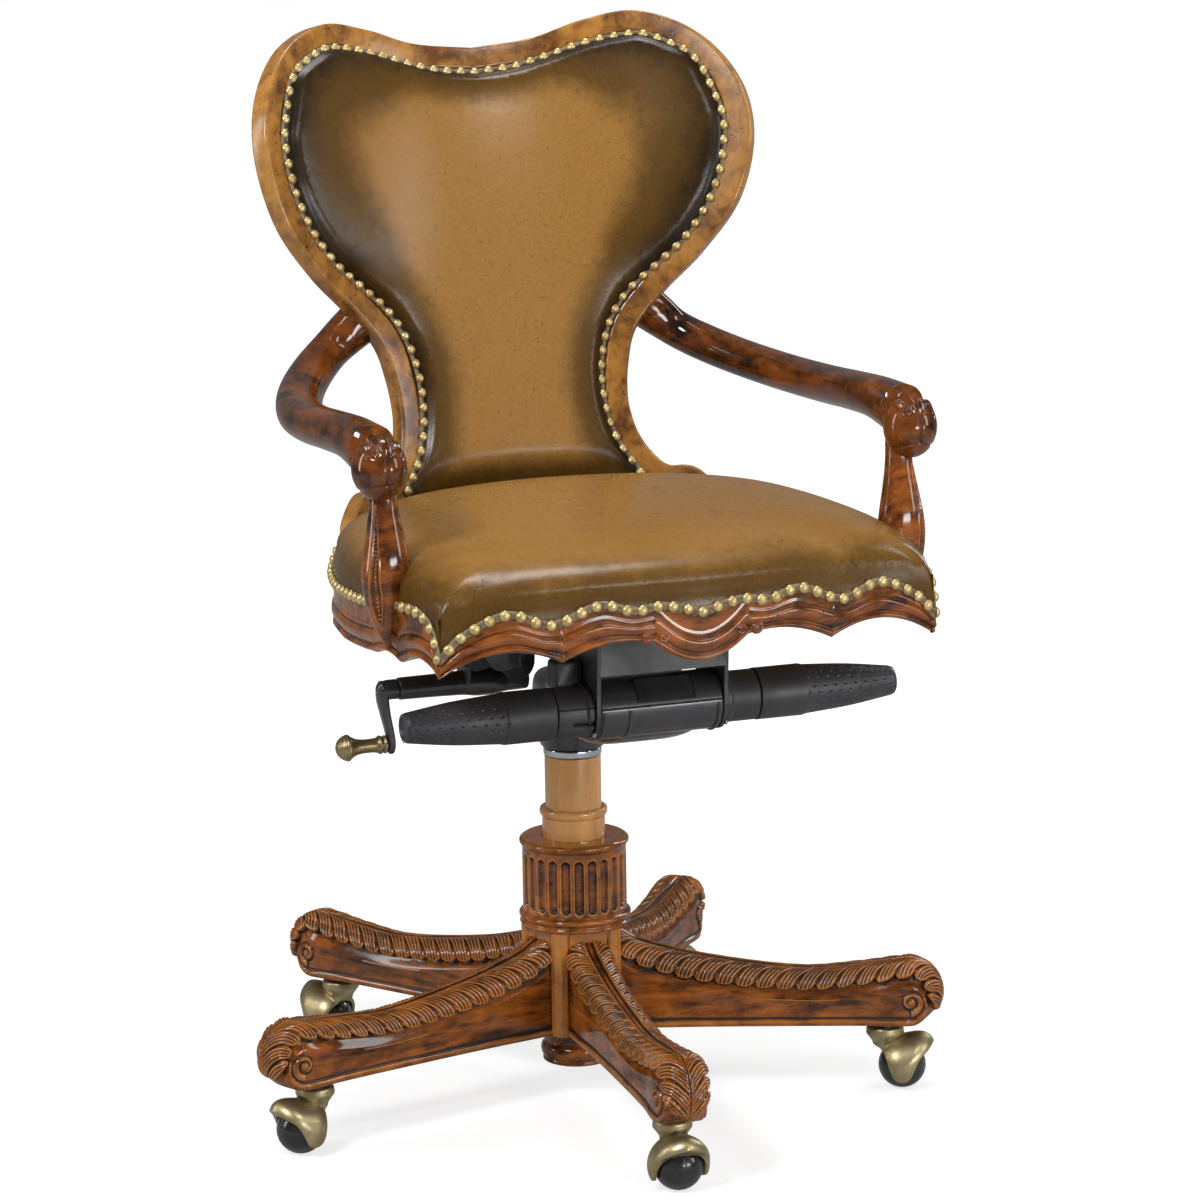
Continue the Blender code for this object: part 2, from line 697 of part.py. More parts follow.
def make_piston():
    return rod(PISTON_RADIUS, PISTON_BOTTOM, PISTON_TOP)


def make_upper_sleeve():
    return tube(COVER_RADIUS, COVER_RADIUS - COVER_WALL, COVER_BOTTOM, COVER_TOP)


def make_column_collar():
    outer = COVER_RADIUS + COLLAR_OVERHANG
    bottom = COVER_TOP + CLEARANCE
    top = bottom + COLLAR_HEIGHT
    inner = PISTON_RADIUS + CLEARANCE
    return lathe(
        [
            (inner, bottom), (outer - 0.001, bottom), (outer, bottom + 0.002), (outer, top - 0.002),
            (outer - 0.0015, top), (inner, top),
        ],
        closed=True,
    )


def housing_bottom():
    return COVER_TOP + CLEARANCE + COLLAR_HEIGHT + CLEARANCE


# Tilt mechanism


def housing_half_width():
    return FLANGE_INSIDE - RUNNING_CLEARANCE


def rounded_section(y, bottom, top, half, round_off):
    points = [
        (half - round_off, bottom), (half, bottom + round_off), (half, top - round_off), (half - round_off, top),
    ]
    return [Vector((a, y, b)) for a, b in points + [(-a, b) for a, b in reversed(points)]]


def make_housing():
    """The fixed casting: a cross drum round the tilt axle, a wedge back to the column and the piston's socket."""
    half = housing_half_width()
    bottom = housing_bottom()
    drum = lathe(
        [
            (0, -half), (DRUM_BODY_RADIUS - 0.003, -half), (DRUM_BODY_RADIUS, -half + 0.003),
            (DRUM_BODY_RADIUS, half - 0.003), (DRUM_BODY_RADIUS - 0.003, half), (0, half),
        ],
        20,
        axis="X",
    )
    drum = moved(drum, (0, TILT_Y, TILT_Z))
    wedge = loft(
        [
            rounded_section(TILT_Y + 0.004, TILT_Z - 0.027, TILT_Z + 0.026, half - 0.004, 0.006),
            rounded_section(TILT_Y + 0.030, TILT_Z - 0.042, TILT_Z + 0.026, half - 0.006, 0.012),
            rounded_section(TILT_Y + 0.070, TILT_Z - 0.053, TILT_Z + 0.020, half - 0.009, 0.016),
            rounded_section(TILT_Y + 0.130, TILT_Z - 0.058, TILT_Z + 0.008, half - 0.014, 0.014),
            rounded_section(-SOCKET_RADIUS, bottom + 0.014, TILT_Z - 0.005, SOCKET_RADIUS + 0.007, 0.010),
            rounded_section(SOCKET_RADIUS * 0.4, bottom + 0.008, TILT_Z - 0.009, SOCKET_RADIUS + 0.005, 0.010),
            rounded_section(SOCKET_RADIUS + 0.003, bottom + 0.016, TILT_Z - 0.015, SOCKET_RADIUS - 0.008, 0.010),
        ]
    )
    socket = lathe(
        [
            (0, bottom), (SOCKET_RADIUS - 0.001, bottom), (SOCKET_RADIUS, bottom + 0.001),
            (SOCKET_RADIUS + 0.0065, bottom + 0.022), (SOCKET_RADIUS + 0.0065, bottom + 0.045), (0, bottom + 0.055),
        ],
        20,
    )
    housing = joined(drum, wedge, socket)
    housing = cut(housing, rod(PISTON_RADIUS + RUNNING_CLEARANCE, bottom - 0.02, PISTON_TOP + 0.001))
    bush = rod(BUSH_RADIUS + CLEARANCE, -BUSH_HALF_LENGTH - CLEARANCE, BUSH_HALF_LENGTH + CLEARANCE, 16, "X")
    axle = rod(TILT_AXLE_RADIUS + CLEARANCE, -0.1, 0.1, 16, "X")
    return cut(housing, moved(joined(bush, axle), (0, TILT_Y, TILT_Z)))


def make_tilt_axle():
    half = housing_half_width() + GRIP_COLLAR_LENGTH + GRIP_LENGTH - 0.030
    return moved(rod(TILT_AXLE_RADIUS, -half, half, 16, "X"), (0, TILT_Y, TILT_Z))


def make_tension_bush():
    shape = tube(BUSH_RADIUS, TILT_AXLE_RADIUS + CLEARANCE, -BUSH_HALF_LENGTH, BUSH_HALF_LENGTH, 16, "X")
    return moved(shape, (0, TILT_Y, TILT_Z))


def collar_start():
    return FLANGE_INSIDE + FLANGE_THICKNESS + RUNNING_CLEARANCE


def make_grip_collar(side):
    start = collar_start()
    end = start + GRIP_COLLAR_LENGTH
    inner = TILT_AXLE_RADIUS + CLEARANCE
    collar = lathe(
        [
            (inner, start), (GRIP_COLLAR_RADIUS + 0.002, start), (GRIP_COLLAR_RADIUS + 0.002, start + 0.006),
            (GRIP_COLLAR_RADIUS, start + 0.008), (GRIP_COLLAR_RADIUS, end), (inner, end),
        ],
        16,
        closed=True,
        axis="X",
    )
    if side < 0:
        low = (start + 0.001, 0.006, GRIP_COLLAR_RADIUS - 0.010)
        high = (start + 0.028, 0.034, GRIP_COLLAR_RADIUS + 0.026)
        box_shape = box(low, high)
        bmesh.ops.bevel(box_shape, geom=box_shape.edges[:], offset=0.004, segments=1, affect="EDGES")
        collar = joined(collar, box_shape)
        bmesh.ops.scale(collar, vec=(-1, 1, 1), verts=collar.verts)
        bmesh.ops.recalc_face_normals(collar, faces=collar.faces)
    return moved(collar, (0, TILT_Y, TILT_Z))


def make_grip(side):
    """A tapered twist grip, plain by the collar, with a dished end."""
    start = collar_start() + GRIP_COLLAR_LENGTH + RUNNING_CLEARANCE
    end = start + GRIP_LENGTH
    plain = start + GRIP_PLAIN_LENGTH
    bore = TILT_AXLE_RADIUS + RUNNING_CLEARANCE
    blind = housing_half_width() + GRIP_COLLAR_LENGTH + GRIP_LENGTH - 0.028
    half_way = (plain + end) / 2
    taper = [(plain, GRIP_INNER_RADIUS - 0.001), (half_way, GRIP_INNER_RADIUS - 0.0050), (end, GRIP_END_RADIUS)]
    profile = [(0, blind), (bore, blind), (bore, start), (GRIP_INNER_RADIUS - 0.001, start)]
    profile.append((GRIP_INNER_RADIUS, start + 0.002))
    for i in range(5):
        at = plain + (end - 0.003 - plain) * i / 4
        profile.append((through_keys(taper, at)[0], at))
    profile += [(GRIP_END_RADIUS - 0.002, end), (GRIP_END_RADIUS * 0.62, end), (GRIP_END_RADIUS * 0.55, end - 0.0015)]
    profile.append((0, end - 0.0015))
    grip = lathe(profile, 18, axis="X")
    if side < 0:
        grip = turned(grip, math.pi)
    return moved(grip, (0, TILT_Y, TILT_Z))


def seat_plate_bottom():
    return DECK_TOP - DECK_THICKNESS - CLEARANCE - SEAT_PLATE_THICKNESS


def flange_outline():
    """A side flange from the seat plate down round the tilt axle, across the X axis."""
    top = seat_plate_bottom() + 0.001
    outline = [(TILT_Y + 0.145, top), (SEAT_PLATE_FRONT + 0.006, top), (TILT_Y - FLANGE_LUG_RADIUS, TILT_Z + 0.020)]
    for i in range(9):
        angle = math.radians(180 + 20 * i)
        outline.append((TILT_Y + FLANGE_LUG_RADIUS * math.cos(angle), TILT_Z + FLANGE_LUG_RADIUS * math.sin(angle)))
    outline.append((TILT_Y + 0.060, TILT_Z + 0.045))
    return outline


def make_seat_plate():
    """The moving bracket: a pressed plate, two flanges that hang on the tilt axle and the crank's bracket."""
    bottom = seat_plate_bottom()
    top = bottom + SEAT_PLATE_THICKNESS
    half = SEAT_PLATE_HALF_WIDTH
    shape = plate(
        [
            (-half, SEAT_PLATE_FRONT + 0.02), (-half + 0.02, SEAT_PLATE_FRONT), (half - 0.02, SEAT_PLATE_FRONT),
            (half, SEAT_PLATE_FRONT + 0.02), (half, SEAT_PLATE_REAR - 0.02), (half - 0.02, SEAT_PLATE_REAR),
            (-half + 0.02, SEAT_PLATE_REAR), (-half, SEAT_PLATE_REAR - 0.02),
        ],
        "Z",
        bottom,
        top,
    )
    for start in (-FLANGE_INSIDE - FLANGE_THICKNESS, FLANGE_INSIDE):
        shape = joined(shape, plate(flange_outline(), "X", start, start + FLANGE_THICKNESS))
    web_bottom = TILT_Z + 0.040
    web = [(TILT_Y - 0.034, web_bottom), (TILT_Y - 0.030, web_bottom - 0.001), (TILT_Y - 0.024, web_bottom + 0.030),
           (TILT_Y - 0.024, bottom + 0.001), (TILT_Y - 0.028, bottom + 0.001), (TILT_Y - 0.028, web_bottom + 0.030)]
    shape = joined(shape, plate(web, "X", -FLANGE_INSIDE - 0.001, FLANGE_INSIDE + 0.001))
    sleeve_inner_end = CRANK_SLEEVE_OUTER_END + CRANK_SLEEVE_LENGTH
    lug = CRANK_SLEEVE_RADIUS + 0.0025
    gusset = [
        (CRANK_Y - 0.045, bottom + 0.001), (CRANK_Y - lug, CRANK_Z), (CRANK_Y + lug, CRANK_Z),
        (CRANK_Y + 0.045, bottom + 0.001),
    ]
    for start in (sleeve_inner_end - 0.070, sleeve_inner_end - 0.012):
        shape = joined(shape, plate(gusset, "X", start, start + FLANGE_THICKNESS))
    fin_left = sleeve_inner_end - 0.075
    fin_right = sleeve_inner_end - 0.008
    fin = [
        (fin_left, bottom + 0.001), (fin_left, CRANK_Z + 0.022), (fin_left + 0.014, CRANK_Z + 0.014),
        (fin_left + 0.030, CRANK_Z + 0.017), (fin_left + 0.044, CRANK_Z + 0.010), (fin_left + 0.054, CRANK_Z - 0.002),
        (fin_right, CRANK_Z - 0.003), (fin_right, bottom + 0.001),
    ]
    shape = joined(shape, plate(fin, "Y", CRANK_Y - lug - 0.004, CRANK_Y - lug + 0.001))
    hole = TILT_AXLE_RADIUS + RUNNING_CLEARANCE
    shape = cut(shape, moved(rod(hole, -0.1, 0.1, 20, "X"), (0, TILT_Y, TILT_Z)))
    hole = CRANK_SLEEVE_RADIUS + CLEARANCE
    bore = rod(hole, sleeve_inner_end - 0.1, sleeve_inner_end + 0.02, 20, "X")
    return cut(shape, moved(bore, (0, CRANK_Y, CRANK_Z)))


# Tension crank


def make_crank_sleeve():
    start = CRANK_SLEEVE_OUTER_END
    inner = CRANK_SHAFT_RADIUS + RUNNING_CLEARANCE
    shape = tube(CRANK_SLEEVE_RADIUS, inner, start, start + CRANK_SLEEVE_LENGTH, 20, "X")
    return moved(shape, (0, CRANK_Y, CRANK_Z))


def knob_axis_height():
    return CRANK_Z - CRANK_ARM_LENGTH


def make_crank():
    """The shaft, the round elbow, the flattened arm and the pin that the knob turns on."""
    shaft_end = CRANK_SLEEVE_OUTER_END + CRANK_SLEEVE_LENGTH - 0.020
    elbow = CRANK_SLEEVE_OUTER_END - RUNNING_CLEARANCE
    low = knob_axis_height()
    foot_x = CRANK_ARM_X + CRANK_ARM_LEAN
    shaft = lathe(
        [
            (CRANK_SHAFT_RADIUS, shaft_end), (CRANK_SHAFT_RADIUS, elbow), (CRANK_SLEEVE_RADIUS - 0.001, elbow),
            (CRANK_SLEEVE_RADIUS - 0.001, elbow - 0.010), (CRANK_SLEEVE_RADIUS - 0.003, CRANK_ARM_X - 0.005),
            (CRANK_SLEEVE_RADIUS - 0.007, CRANK_ARM_X - 0.009),
        ],
        16,
        axis="X",
    )
    shaft = moved(shaft, (0, CRANK_Y, CRANK_Z))
    rings = []
    for height, middle, thick, wide in (
        (CRANK_Z + 0.0085, CRANK_ARM_X + 0.001, 0.0035, 0.0050), (CRANK_Z + 0.004, CRANK_ARM_X, 0.0065, 0.0080),
        (CRANK_Z - 0.012, CRANK_ARM_X, 0.0060, 0.0080), (CRANK_Z - 0.030, CRANK_ARM_X + 0.003, 0.0045, 0.0075),
        (low + 0.006, foot_x, 0.0040, 0.0075), (low - 0.006, foot_x, 0.0038, 0.0065),
        (low - 0.010, foot_x, 0.0025, 0.0030),
    ):
        ring = []
        for i in range(10):
            angle = math.tau * i / 10
            ring.append(Vector((middle + thick * math.cos(angle), CRANK_Y + wide * math.sin(angle), height)))
        rings.append(ring)
    pin = moved(rod(KNOB_PIN_RADIUS, foot_x - 0.004 - KNOB_LENGTH + 0.016, foot_x, 12, "X"), (0, CRANK_Y, low))
    return joined(loft(rings), shaft, pin)


def make_crank_knob():
    """A turned knob: a collar with beads, a waist and a domed, ringed end."""
    base = CRANK_ARM_X + CRANK_ARM_LEAN - 0.0040 - RUNNING_CLEARANCE
    bore = KNOB_PIN_RADIUS + RUNNING_CLEARANCE
    blind = base - KNOB_LENGTH + 0.014
    neck = KNOB_RADIUS * 0.5
    keys = [(0.0, 0.0085), (0.003, 0.0095), (0.005, 0.0080), (0.008, 0.0088), (0.012, neck), (0.024, neck - 0.0004),
            (0.034, neck + 0.0015), (0.042, KNOB_RADIUS), (0.047, KNOB_RADIUS - 0.001), (0.052, KNOB_RADIUS * 0.6)]
    profile = [(0, blind), (bore, blind), (bore, base)]
    for along, radius in keys:
        profile.append((radius, base - along * KNOB_LENGTH / 0.056))
    profile.append((0, base - KNOB_LENGTH))
    return moved(lathe(profile, 14, axis="X"), (0, CRANK_Y, knob_axis_height()))


# Seat


def back_front(x, z):
    """The front face of the back frame: it leans backwards and curves round the sitter."""
    return BACK_DEPTH + BACK_LEAN * (z - BACK_REFERENCE_HEIGHT) - BACK_CURVE * x * x


def back_normal(x):
    return Vector((2 * BACK_CURVE * x, 1, -BACK_LEAN)).normalized()


def front_plan(x):
    return SEAT_CORNER_Y - SEAT_FRONT_BOW * (1 - (x / SEAT_CORNER_X) ** 2)


def side_plan(y):
    return through_keys(SIDE_PLAN_KEYS, y)[0]


def seat_rear(x):
    return back_front(x, DECK_TOP) - CLEARANCE


def front_stations():
    """Points along the front edge of the seat, left to right, as (x, y, nail height, rail bottom, outward)."""
    stations = []
    for i in range(SEAT_FRONT_STEPS + 1):
        x = -SEAT_CORNER_X + 2 * SEAT_CORNER_X * i / SEAT_FRONT_STEPS
        slope = 2 * SEAT_FRONT_BOW * x / SEAT_CORNER_X**2
        outward = Vector((slope, -1, 0)).normalized()
        nail = through_keys(FRONT_NAIL_KEYS, abs(x))[0]
        stations.append((x, front_plan(x), nail, scalloped(FRONT_CUSPS, FRONT_ARCHES, abs(x)), outward))
    return stations


def side_stations(side):
    """Points along one side of the seat, front to back."""
    stations = []
    last = SIDE_PLAN_KEYS[-1][0]
    for i in range(SEAT_SIDE_STEPS + 1):
        y = SEAT_CORNER_Y + (last - SEAT_CORNER_Y) * i / SEAT_SIDE_STEPS
        slope = (side_plan(y + 0.001) - side_plan(y - 0.001)) / 0.002
        outward = Vector((side, -slope, 0)).normalized()
        nail = through_keys(SIDE_NAIL_KEYS, y)[0]
        stations.append((side * side_plan(y), y, nail, scalloped(SIDE_CUSPS, SIDE_ARCHES, y), outward))
    return stations


def rail_section(station, inside_offset):
    """A rail's section: a moulded lower edge, a plain face and a step for the leather to lie in."""
    x, y, nail, bottom, outward = station
    lip = min(nail - SKIRT_BELOW_NAILS - CLEARANCE, DECK_TOP - 0.0005)
    step = -SKIRT_THICKNESS - SOFT_CLEARANCE
    levels = (
        (-0.003, bottom), (0.001, bottom + 0.002), (0.001, bottom + 0.005), (-0.002, bottom + 0.007),
        (0.0, lip), (step, lip), (step, DECK_TOP), (-inside_offset, DECK_TOP), (-inside_offset, bottom + 0.002),
    )
    section = []
    for offset, height in levels:
        section.append(Vector((x, y, 0)) + outward * offset + Vector((0, 0, height)))
    return section


def mitre(side):
    """A block on the outer side of a front corner's mitre plane."""
    corner = Vector((side * SEAT_CORNER_X, SEAT_CORNER_Y))
    inward = Vector((-side, 1)).normalized()
    across = Vector((side, 1)).normalized()
    start = corner - inward * MITRE_OUTSIDE
    end = corner + inward * MITRE_INSIDE
    outline = [start, end, end + across * PAST_THE_CHAIR, start + across * PAST_THE_CHAIR]
    return [(p.x, p.y) for p in outline]


def whole_height(outline):
    """A cutter that reaches well above and below the rails."""
    return plate(outline, "Z", DECK_TOP - PAST_THE_RAILS, DECK_TOP + PAST_THE_RAILS)


def post_clearance(side):
    return make_post_shape(side, CLEARANCE)


def make_front_rail():
    stations = front_stations()
    shape = loft([rail_section(station, RAIL_THICKNESS) for station in stations])
    for side in (-1, 1):
        shape = cut(shape, whole_height(mitre(side)))
    return shape


def make_side_rail(side):
    shape = loft([rail_section(station, RAIL_THICKNESS) for station in side_stations(side)])
    outline = mitre(side)
    across = Vector((side, 1)).normalized()
    push = across * CLEARANCE
    away = across * -PAST_THE_CHAIR
    keep = [(a + push.x, b + push.y) for a, b in outline[:2]]
    keep += [(a + away.x, b + away.y) for a, b in reversed(outline[:2])]
    shape = cut(shape, whole_height(keep))
    shape = cut(shape, post_clearance(side))
    return cut(shape, back_rail_shape(CLEARANCE))


def back_rail_shape(spare=0.0):
    """The rear rail follows the curve of the back frame that stands on it."""
    bottom = SIDE_CUSPS[-1][1]
    rings = []
    half = SEAT_REAR_X + spare
    for i in range(SEAT_REAR_STEPS + 1):
        x = -half + 2 * half * i / SEAT_REAR_STEPS
        front = seat_rear(x) - SEAT_REAR_OVERLAP - spare
        rear = seat_rear(x) + BACK_FRAME_THICKNESS + spare
        rings.append(
            [Vector((x, front, bottom)), Vector((x, rear, bottom)), Vector((x, rear, DECK_TOP + spare)),
             Vector((x, front, DECK_TOP + spare))]
        )
    return loft(rings)


def seat_outline():
    """The plan of the seat at the leather's edge, all round: front, right side, rear, left side."""
    front = front_stations()
    right = side_stations(1)
    left = list(reversed(side_stations(-1)))
    for end, beside in ((0, left[-1]), (-1, right[0])):
        x, y, nail, bottom, outward = front[end]
        both = outward + beside[4]
        front[end] = (x, y, nail, bottom, both * (2 / both.length_squared))
    rear = []
    nail = SIDE_NAIL_KEYS[-1][1]
    last_x = SIDE_PLAN_KEYS[-1][1]
    for i in range(1, SEAT_REAR_STEPS):
        x = last_x - 2 * last_x * i / SEAT_REAR_STEPS
        rear.append((x, seat_rear(x) - 0.012, nail, 0.0, Vector((0, 1, 0))))
    return front + right[1:] + rear + left[:-1]


def make_seat_deck():
    """A plywood deck inside the rails."""
    inset = RAIL_THICKNESS + DECK_SPARE
    front_half = SEAT_CORNER_X - RAIL_THICKNESS * 2
    outline = []
    for i in range(SEAT_REAR_STEPS + 1):
        x = front_half * (2 * i / SEAT_REAR_STEPS - 1)
        outline.append((x, front_plan(x) + inset))
    right = []
    for x, y, _, _, outward in side_stations(1):
        inside = Vector((x, y, 0)) - outward * inset
        rear_limit = seat_rear(inside.x) - SEAT_REAR_OVERLAP - RAIL_THICKNESS
        if SEAT_CORNER_Y + RAIL_THICKNESS * 2 < inside.y < rear_limit:
            right.append((inside.x, inside.y))
    rear = []
    rear_half = SIDE_PLAN_KEYS[-1][1] - RAIL_THICKNESS * 2
    for i in range(SEAT_REAR_STEPS + 1):
        x = rear_half * (1 - 2 * i / SEAT_REAR_STEPS)
        rear.append((x, seat_rear(x) - SEAT_REAR_OVERLAP - DECK_SPARE))
    outline += right + rear + [(-x, y) for x, y in reversed(right)]
    return plate(outline, "Z", DECK_TOP - DECK_THICKNESS, DECK_TOP)


def make_seat_cushion():
    """Padding and leather: crowned on top, drawn in at the edge, with a skirt that hangs over the rails."""
    outline = seat_outline()
    middle = Vector((0, (SEAT_CORNER_Y + seat_rear(0)) / 2, 0))
    bottom = DECK_TOP + CLEARANCE
    rings = [[middle + Vector((0, 0, CUSHION_CROWN))]]
    crown = CUSHION_CROWN - CUSHION_EDGE_HEIGHT
    for share in (0.35, 0.62, 0.82, 0.94):
        height = CUSHION_CROWN - crown * share**4
        rings.append([middle.lerp(Vector((x, y, 0)), share) + Vector((0, 0, height)) for x, y, *_ in outline])
    for offset, lift in ((0.0, 1.0), (CUSHION_BULGE, 0.6), (CUSHION_BULGE * 0.8, 0.3), (0.0, 0.0)):
        ring = []
        for x, y, nail, _, outward in outline:
            height = nail + (CUSHION_EDGE_HEIGHT - nail) * lift
            proud = offset * (CORNER_BULGE_SHARE if outward.length > CORNER_LENGTH else 1)
            ring.append(Vector((x, y, 0)) + outward * proud + Vector((0, 0, height)))
        rings.append(ring)
    outside_edge, inside_edge, inside_top = [], [], []
    for x, y, nail, _, outward in outline:
        edge = Vector((x, y, 0))
        inside = edge - outward * SKIRT_THICKNESS
        skirt = nail - SKIRT_BELOW_NAILS
        undercut = SKIRT_UNDERCUT * (3 if outward.length > CORNER_LENGTH else 1)
        outside_edge.append(edge + Vector((0, 0, skirt)))
        inside_edge.append(inside + Vector((0, 0, min(skirt + undercut, bottom - 0.0002))))
        inside_top.append(inside + Vector((0, 0, bottom)))
    rings += [outside_edge, inside_edge, inside_top]
    cushion = loft(rings)
    for side in (-1, 1):
        cushion = cut(cushion, post_clearance(side))
    return cushion


# Back


def outer_half():
    """The right half of the back frame's outline, from the top centre down to the rear rail."""
    points = [(x, z, 0.0) for x, z in BACK_OUTLINE_KEYS] + [(BACK_FOOT_X, DECK_TOP + CLEARANCE, 0.0)]
    return [(p.x, p.y) for p in along_points(points, BACK_STEPS)]


def inner_half():
    """The right half of the frame's opening, down to its bottom edge."""
    offset = offset_outline(outer_half(), BACK_FRAME_FACE)
    inside = [(x, z, 0.0) for x, z in offset if z > BACK_INNER_BOTTOM + 0.01]
    inside.append((inside[-1][0] + 0.008, BACK_INNER_BOTTOM, 0.0))
    return [(p.x, p.y) for p in along_points(inside, BACK_STEPS)]


def offset_outline(half, amount):
    """A half outline moved inwards, at right angles to itself."""
    result = []
    for i, (x, z) in enumerate(half):
        before = half[max(i - 1, 0)]
        after = half[min(i + 1, len(half) - 1)]
        along = Vector((after[0] - before[0], after[1] - before[1])).normalized()
        if i == 0:
            along = Vector((1, 0))
        result.append((x + along.y * amount, z - along.x * amount))
    return result


def whole_outline(half):
    """A half outline with its mirror image and a straight bottom edge, clockwise from the top."""
    x, z = half[-1]
    base = [(x - 2 * x * i / BACK_BOTTOM_STEPS, z) for i in range(1, BACK_BOTTOM_STEPS)]
    return half + base + [(-x, z) for x, z in reversed(half[1:])]


def outer_outline(inset=0.0):
    return whole_outline(offset_outline(outer_half(), inset))


def inner_outline(inset=0.0):
    half = offset_outline(inner_half(), inset)
    x, z = half[-1]
    half[-1] = (inner_half()[-1][0] - inset, BACK_INNER_BOTTOM + inset)
    return whole_outline(half)


def on_back(outline, depth):
    """The outline laid on the back's curved face, then moved behind it, and cut flat over the rear rail."""
    points = []
    for x, z in outline:
        point = Vector((x, back_front(x, z), z)) + back_normal(x) * depth
        point.z = max(point.z, DECK_TOP + CLEARANCE)
        points.append(point)
    return points


def make_back_frame():
    """The bent, veneered ring that holds the back pad, with a small scroll at each foot."""
    thick = BACK_FRAME_THICKNESS
    edge = BACK_FRAME_ROUND
    rings = [
        on_back(outer_outline(), edge), on_back(outer_outline(edge), 0.0),
        on_back(inner_outline(), 0.0), on_back(inner_outline(), thick), on_back(outer_outline(), thick),
    ]
    frame = loft(rings, closed=True)
    for side in (-1, 1):
        circle = []
        for i in range(ROUND_STEPS // 2):
            angle = -side * math.tau * i / (ROUND_STEPS // 2)
            across = side * BACK_VOLUTE_PLACE[0] + BACK_VOLUTE_RADIUS * math.cos(angle)
            circle.append((across, BACK_VOLUTE_PLACE[1] + BACK_VOLUTE_RADIUS * math.sin(angle)))
        frame = joined(frame, loft([on_back(circle, -BACK_VOLUTE_PROUD), on_back(circle, thick - edge)]))
    return frame


def crowned_panel(inset, edge_depth, rings_in, far_depth):
    """A closed panel in the frame: rings from its far side, round its edge and up to its crown."""
    outline = inner_outline(inset)
    middle = Vector((0, BACK_CENTRE_HEIGHT))
    rings = []
    for share in (0.33, 0.67, 1.0):
        rings.append(on_back([tuple(middle.lerp(Vector(p), share)) for p in outline], far_depth))
    rings.append(on_back(outline, edge_depth))
    for shift, share, depth in rings_in:
        base = inner_outline(inset + shift)
        rings.append(on_back([tuple(middle.lerp(Vector(p), share)) for p in base], depth))
    middle = Vector((0, back_front(0, BACK_CENTRE_HEIGHT), BACK_CENTRE_HEIGHT))
    far_middle = middle + back_normal(0) * far_depth
    near_middle = middle + back_normal(0) * rings_in[-1][2]
    return loft([[far_middle], *rings, [near_middle]])


def make_back_pad():
    band = BACK_NAIL_BAND
    crown = BACK_PAD_CROWN
    rings_in = [
        (band, 1.0, -0.0035), (band * 1.8, 1.0, -crown * 0.55), (band * 2.6, 0.85, -crown * 0.88),
        (band * 2.6, 0.45, -crown),
    ]
    return crowned_panel(SOFT_CLEARANCE, -0.002, rings_in, BACK_PAD_DEPTH)


def make_back_cover():
    thick = BACK_FRAME_THICKNESS
    crown = BACK_COVER_CROWN
    rings_in = [(0.012, 1.0, thick + crown * 0.6), (0.012, 0.6, thick + crown)]
    return crowned_panel(SOFT_CLEARANCE, thick, rings_in, BACK_PAD_DEPTH + SOFT_CLEARANCE)


# Arms


def make_post_shape(side, spare=0.0):
    """An arm post: a slim neck that swells to a bulb, tapered to a drop on the rail."""
    low = POST_KEYS[0][0] - spare
    high = POST_TOP + spare
    rings = []
    for i in range(POST_STATIONS + 1):
        height = low + (high - low) * i / POST_STATIONS
        y, half_x, half_y = through_keys(POST_KEYS, height)
        ring = []
        for j in range(POST_SIDES):
            angle = math.tau * (j + 0.5) / POST_SIDES
            ring.append(
                Vector((side * POST_X + (half_x + spare * 1.2) * math.cos(angle),
                        y + (half_y + spare * 1.2) * math.sin(angle), height))
            )
        rings.append(ring)
    return loft(rings)


def arm_section(at, side):
    x, y, z, half_wide, half_tall = through_keys(ARM_KEYS, at)
    ahead = through_keys(ARM_KEYS, min(at + 0.01, 1.0))
    behind = through_keys(ARM_KEYS, max(at - 0.01, 0.0))
    along = (Vector(ahead[:3]) - Vector(behind[:3])).normalized()
    across = along.cross(Vector((0, 0, 1))).normalized()
    upward = across.cross(along).normalized()
    ring = []
    for i in range(ARM_SIDES):
        angle = math.tau * i / ARM_SIDES
        point = Vector((x, y, POST_TOP + z)) + across * half_wide * math.cos(angle)
        point += upward * half_tall * math.sin(angle)
        ring.append(Vector((side * point.x, point.y, point.z)))
    return ring


def make_arm(side):
    """A curved arm from the back frame's edge to a round knuckle over the post."""
    arm = loft([arm_section(i / ARM_STATIONS, side) for i in range(ARM_STATIONS + 1)])
    place = (side * KNUCKLE_PLACE[0], KNUCKLE_PLACE[1], KNUCKLE_PLACE[2])
    arm = joined(arm, ellipsoid(place, KNUCKLE_SIZE, 12, 8))
    arm = cut(arm, post_clearance(side))
    return cut(arm, back_frame_clearance())


def back_frame_clearance():
    """The frame's outline, filled and slightly larger, which the arms are fitted to."""
    outline = outer_outline(-ARM_ROOT_CLEARANCE)
    return loft([on_back(outline, -0.02), on_back(outline, BACK_FRAME_THICKNESS + 0.02)])


# Assembly


def centre_on_floor(root):
    """Puts the middle of the chair's box over the origin and its lowest point on the floor."""
    bpy.context.view_layer.update()
    corners = []
    for part in bpy.data.objects:
        if part.type == "MESH":
            corners += [part.matrix_world @ vertex.co for vertex in part.data.vertices]
    low = Vector([min(corner[i] for corner in corners) for i in range(3)])
    high = Vector([max(corner[i] for corner in corners) for i in range(3)])
    root.location = Vector((-(low.x + high.x) / 2, -(low.y + high.y) / 2, -low.z))


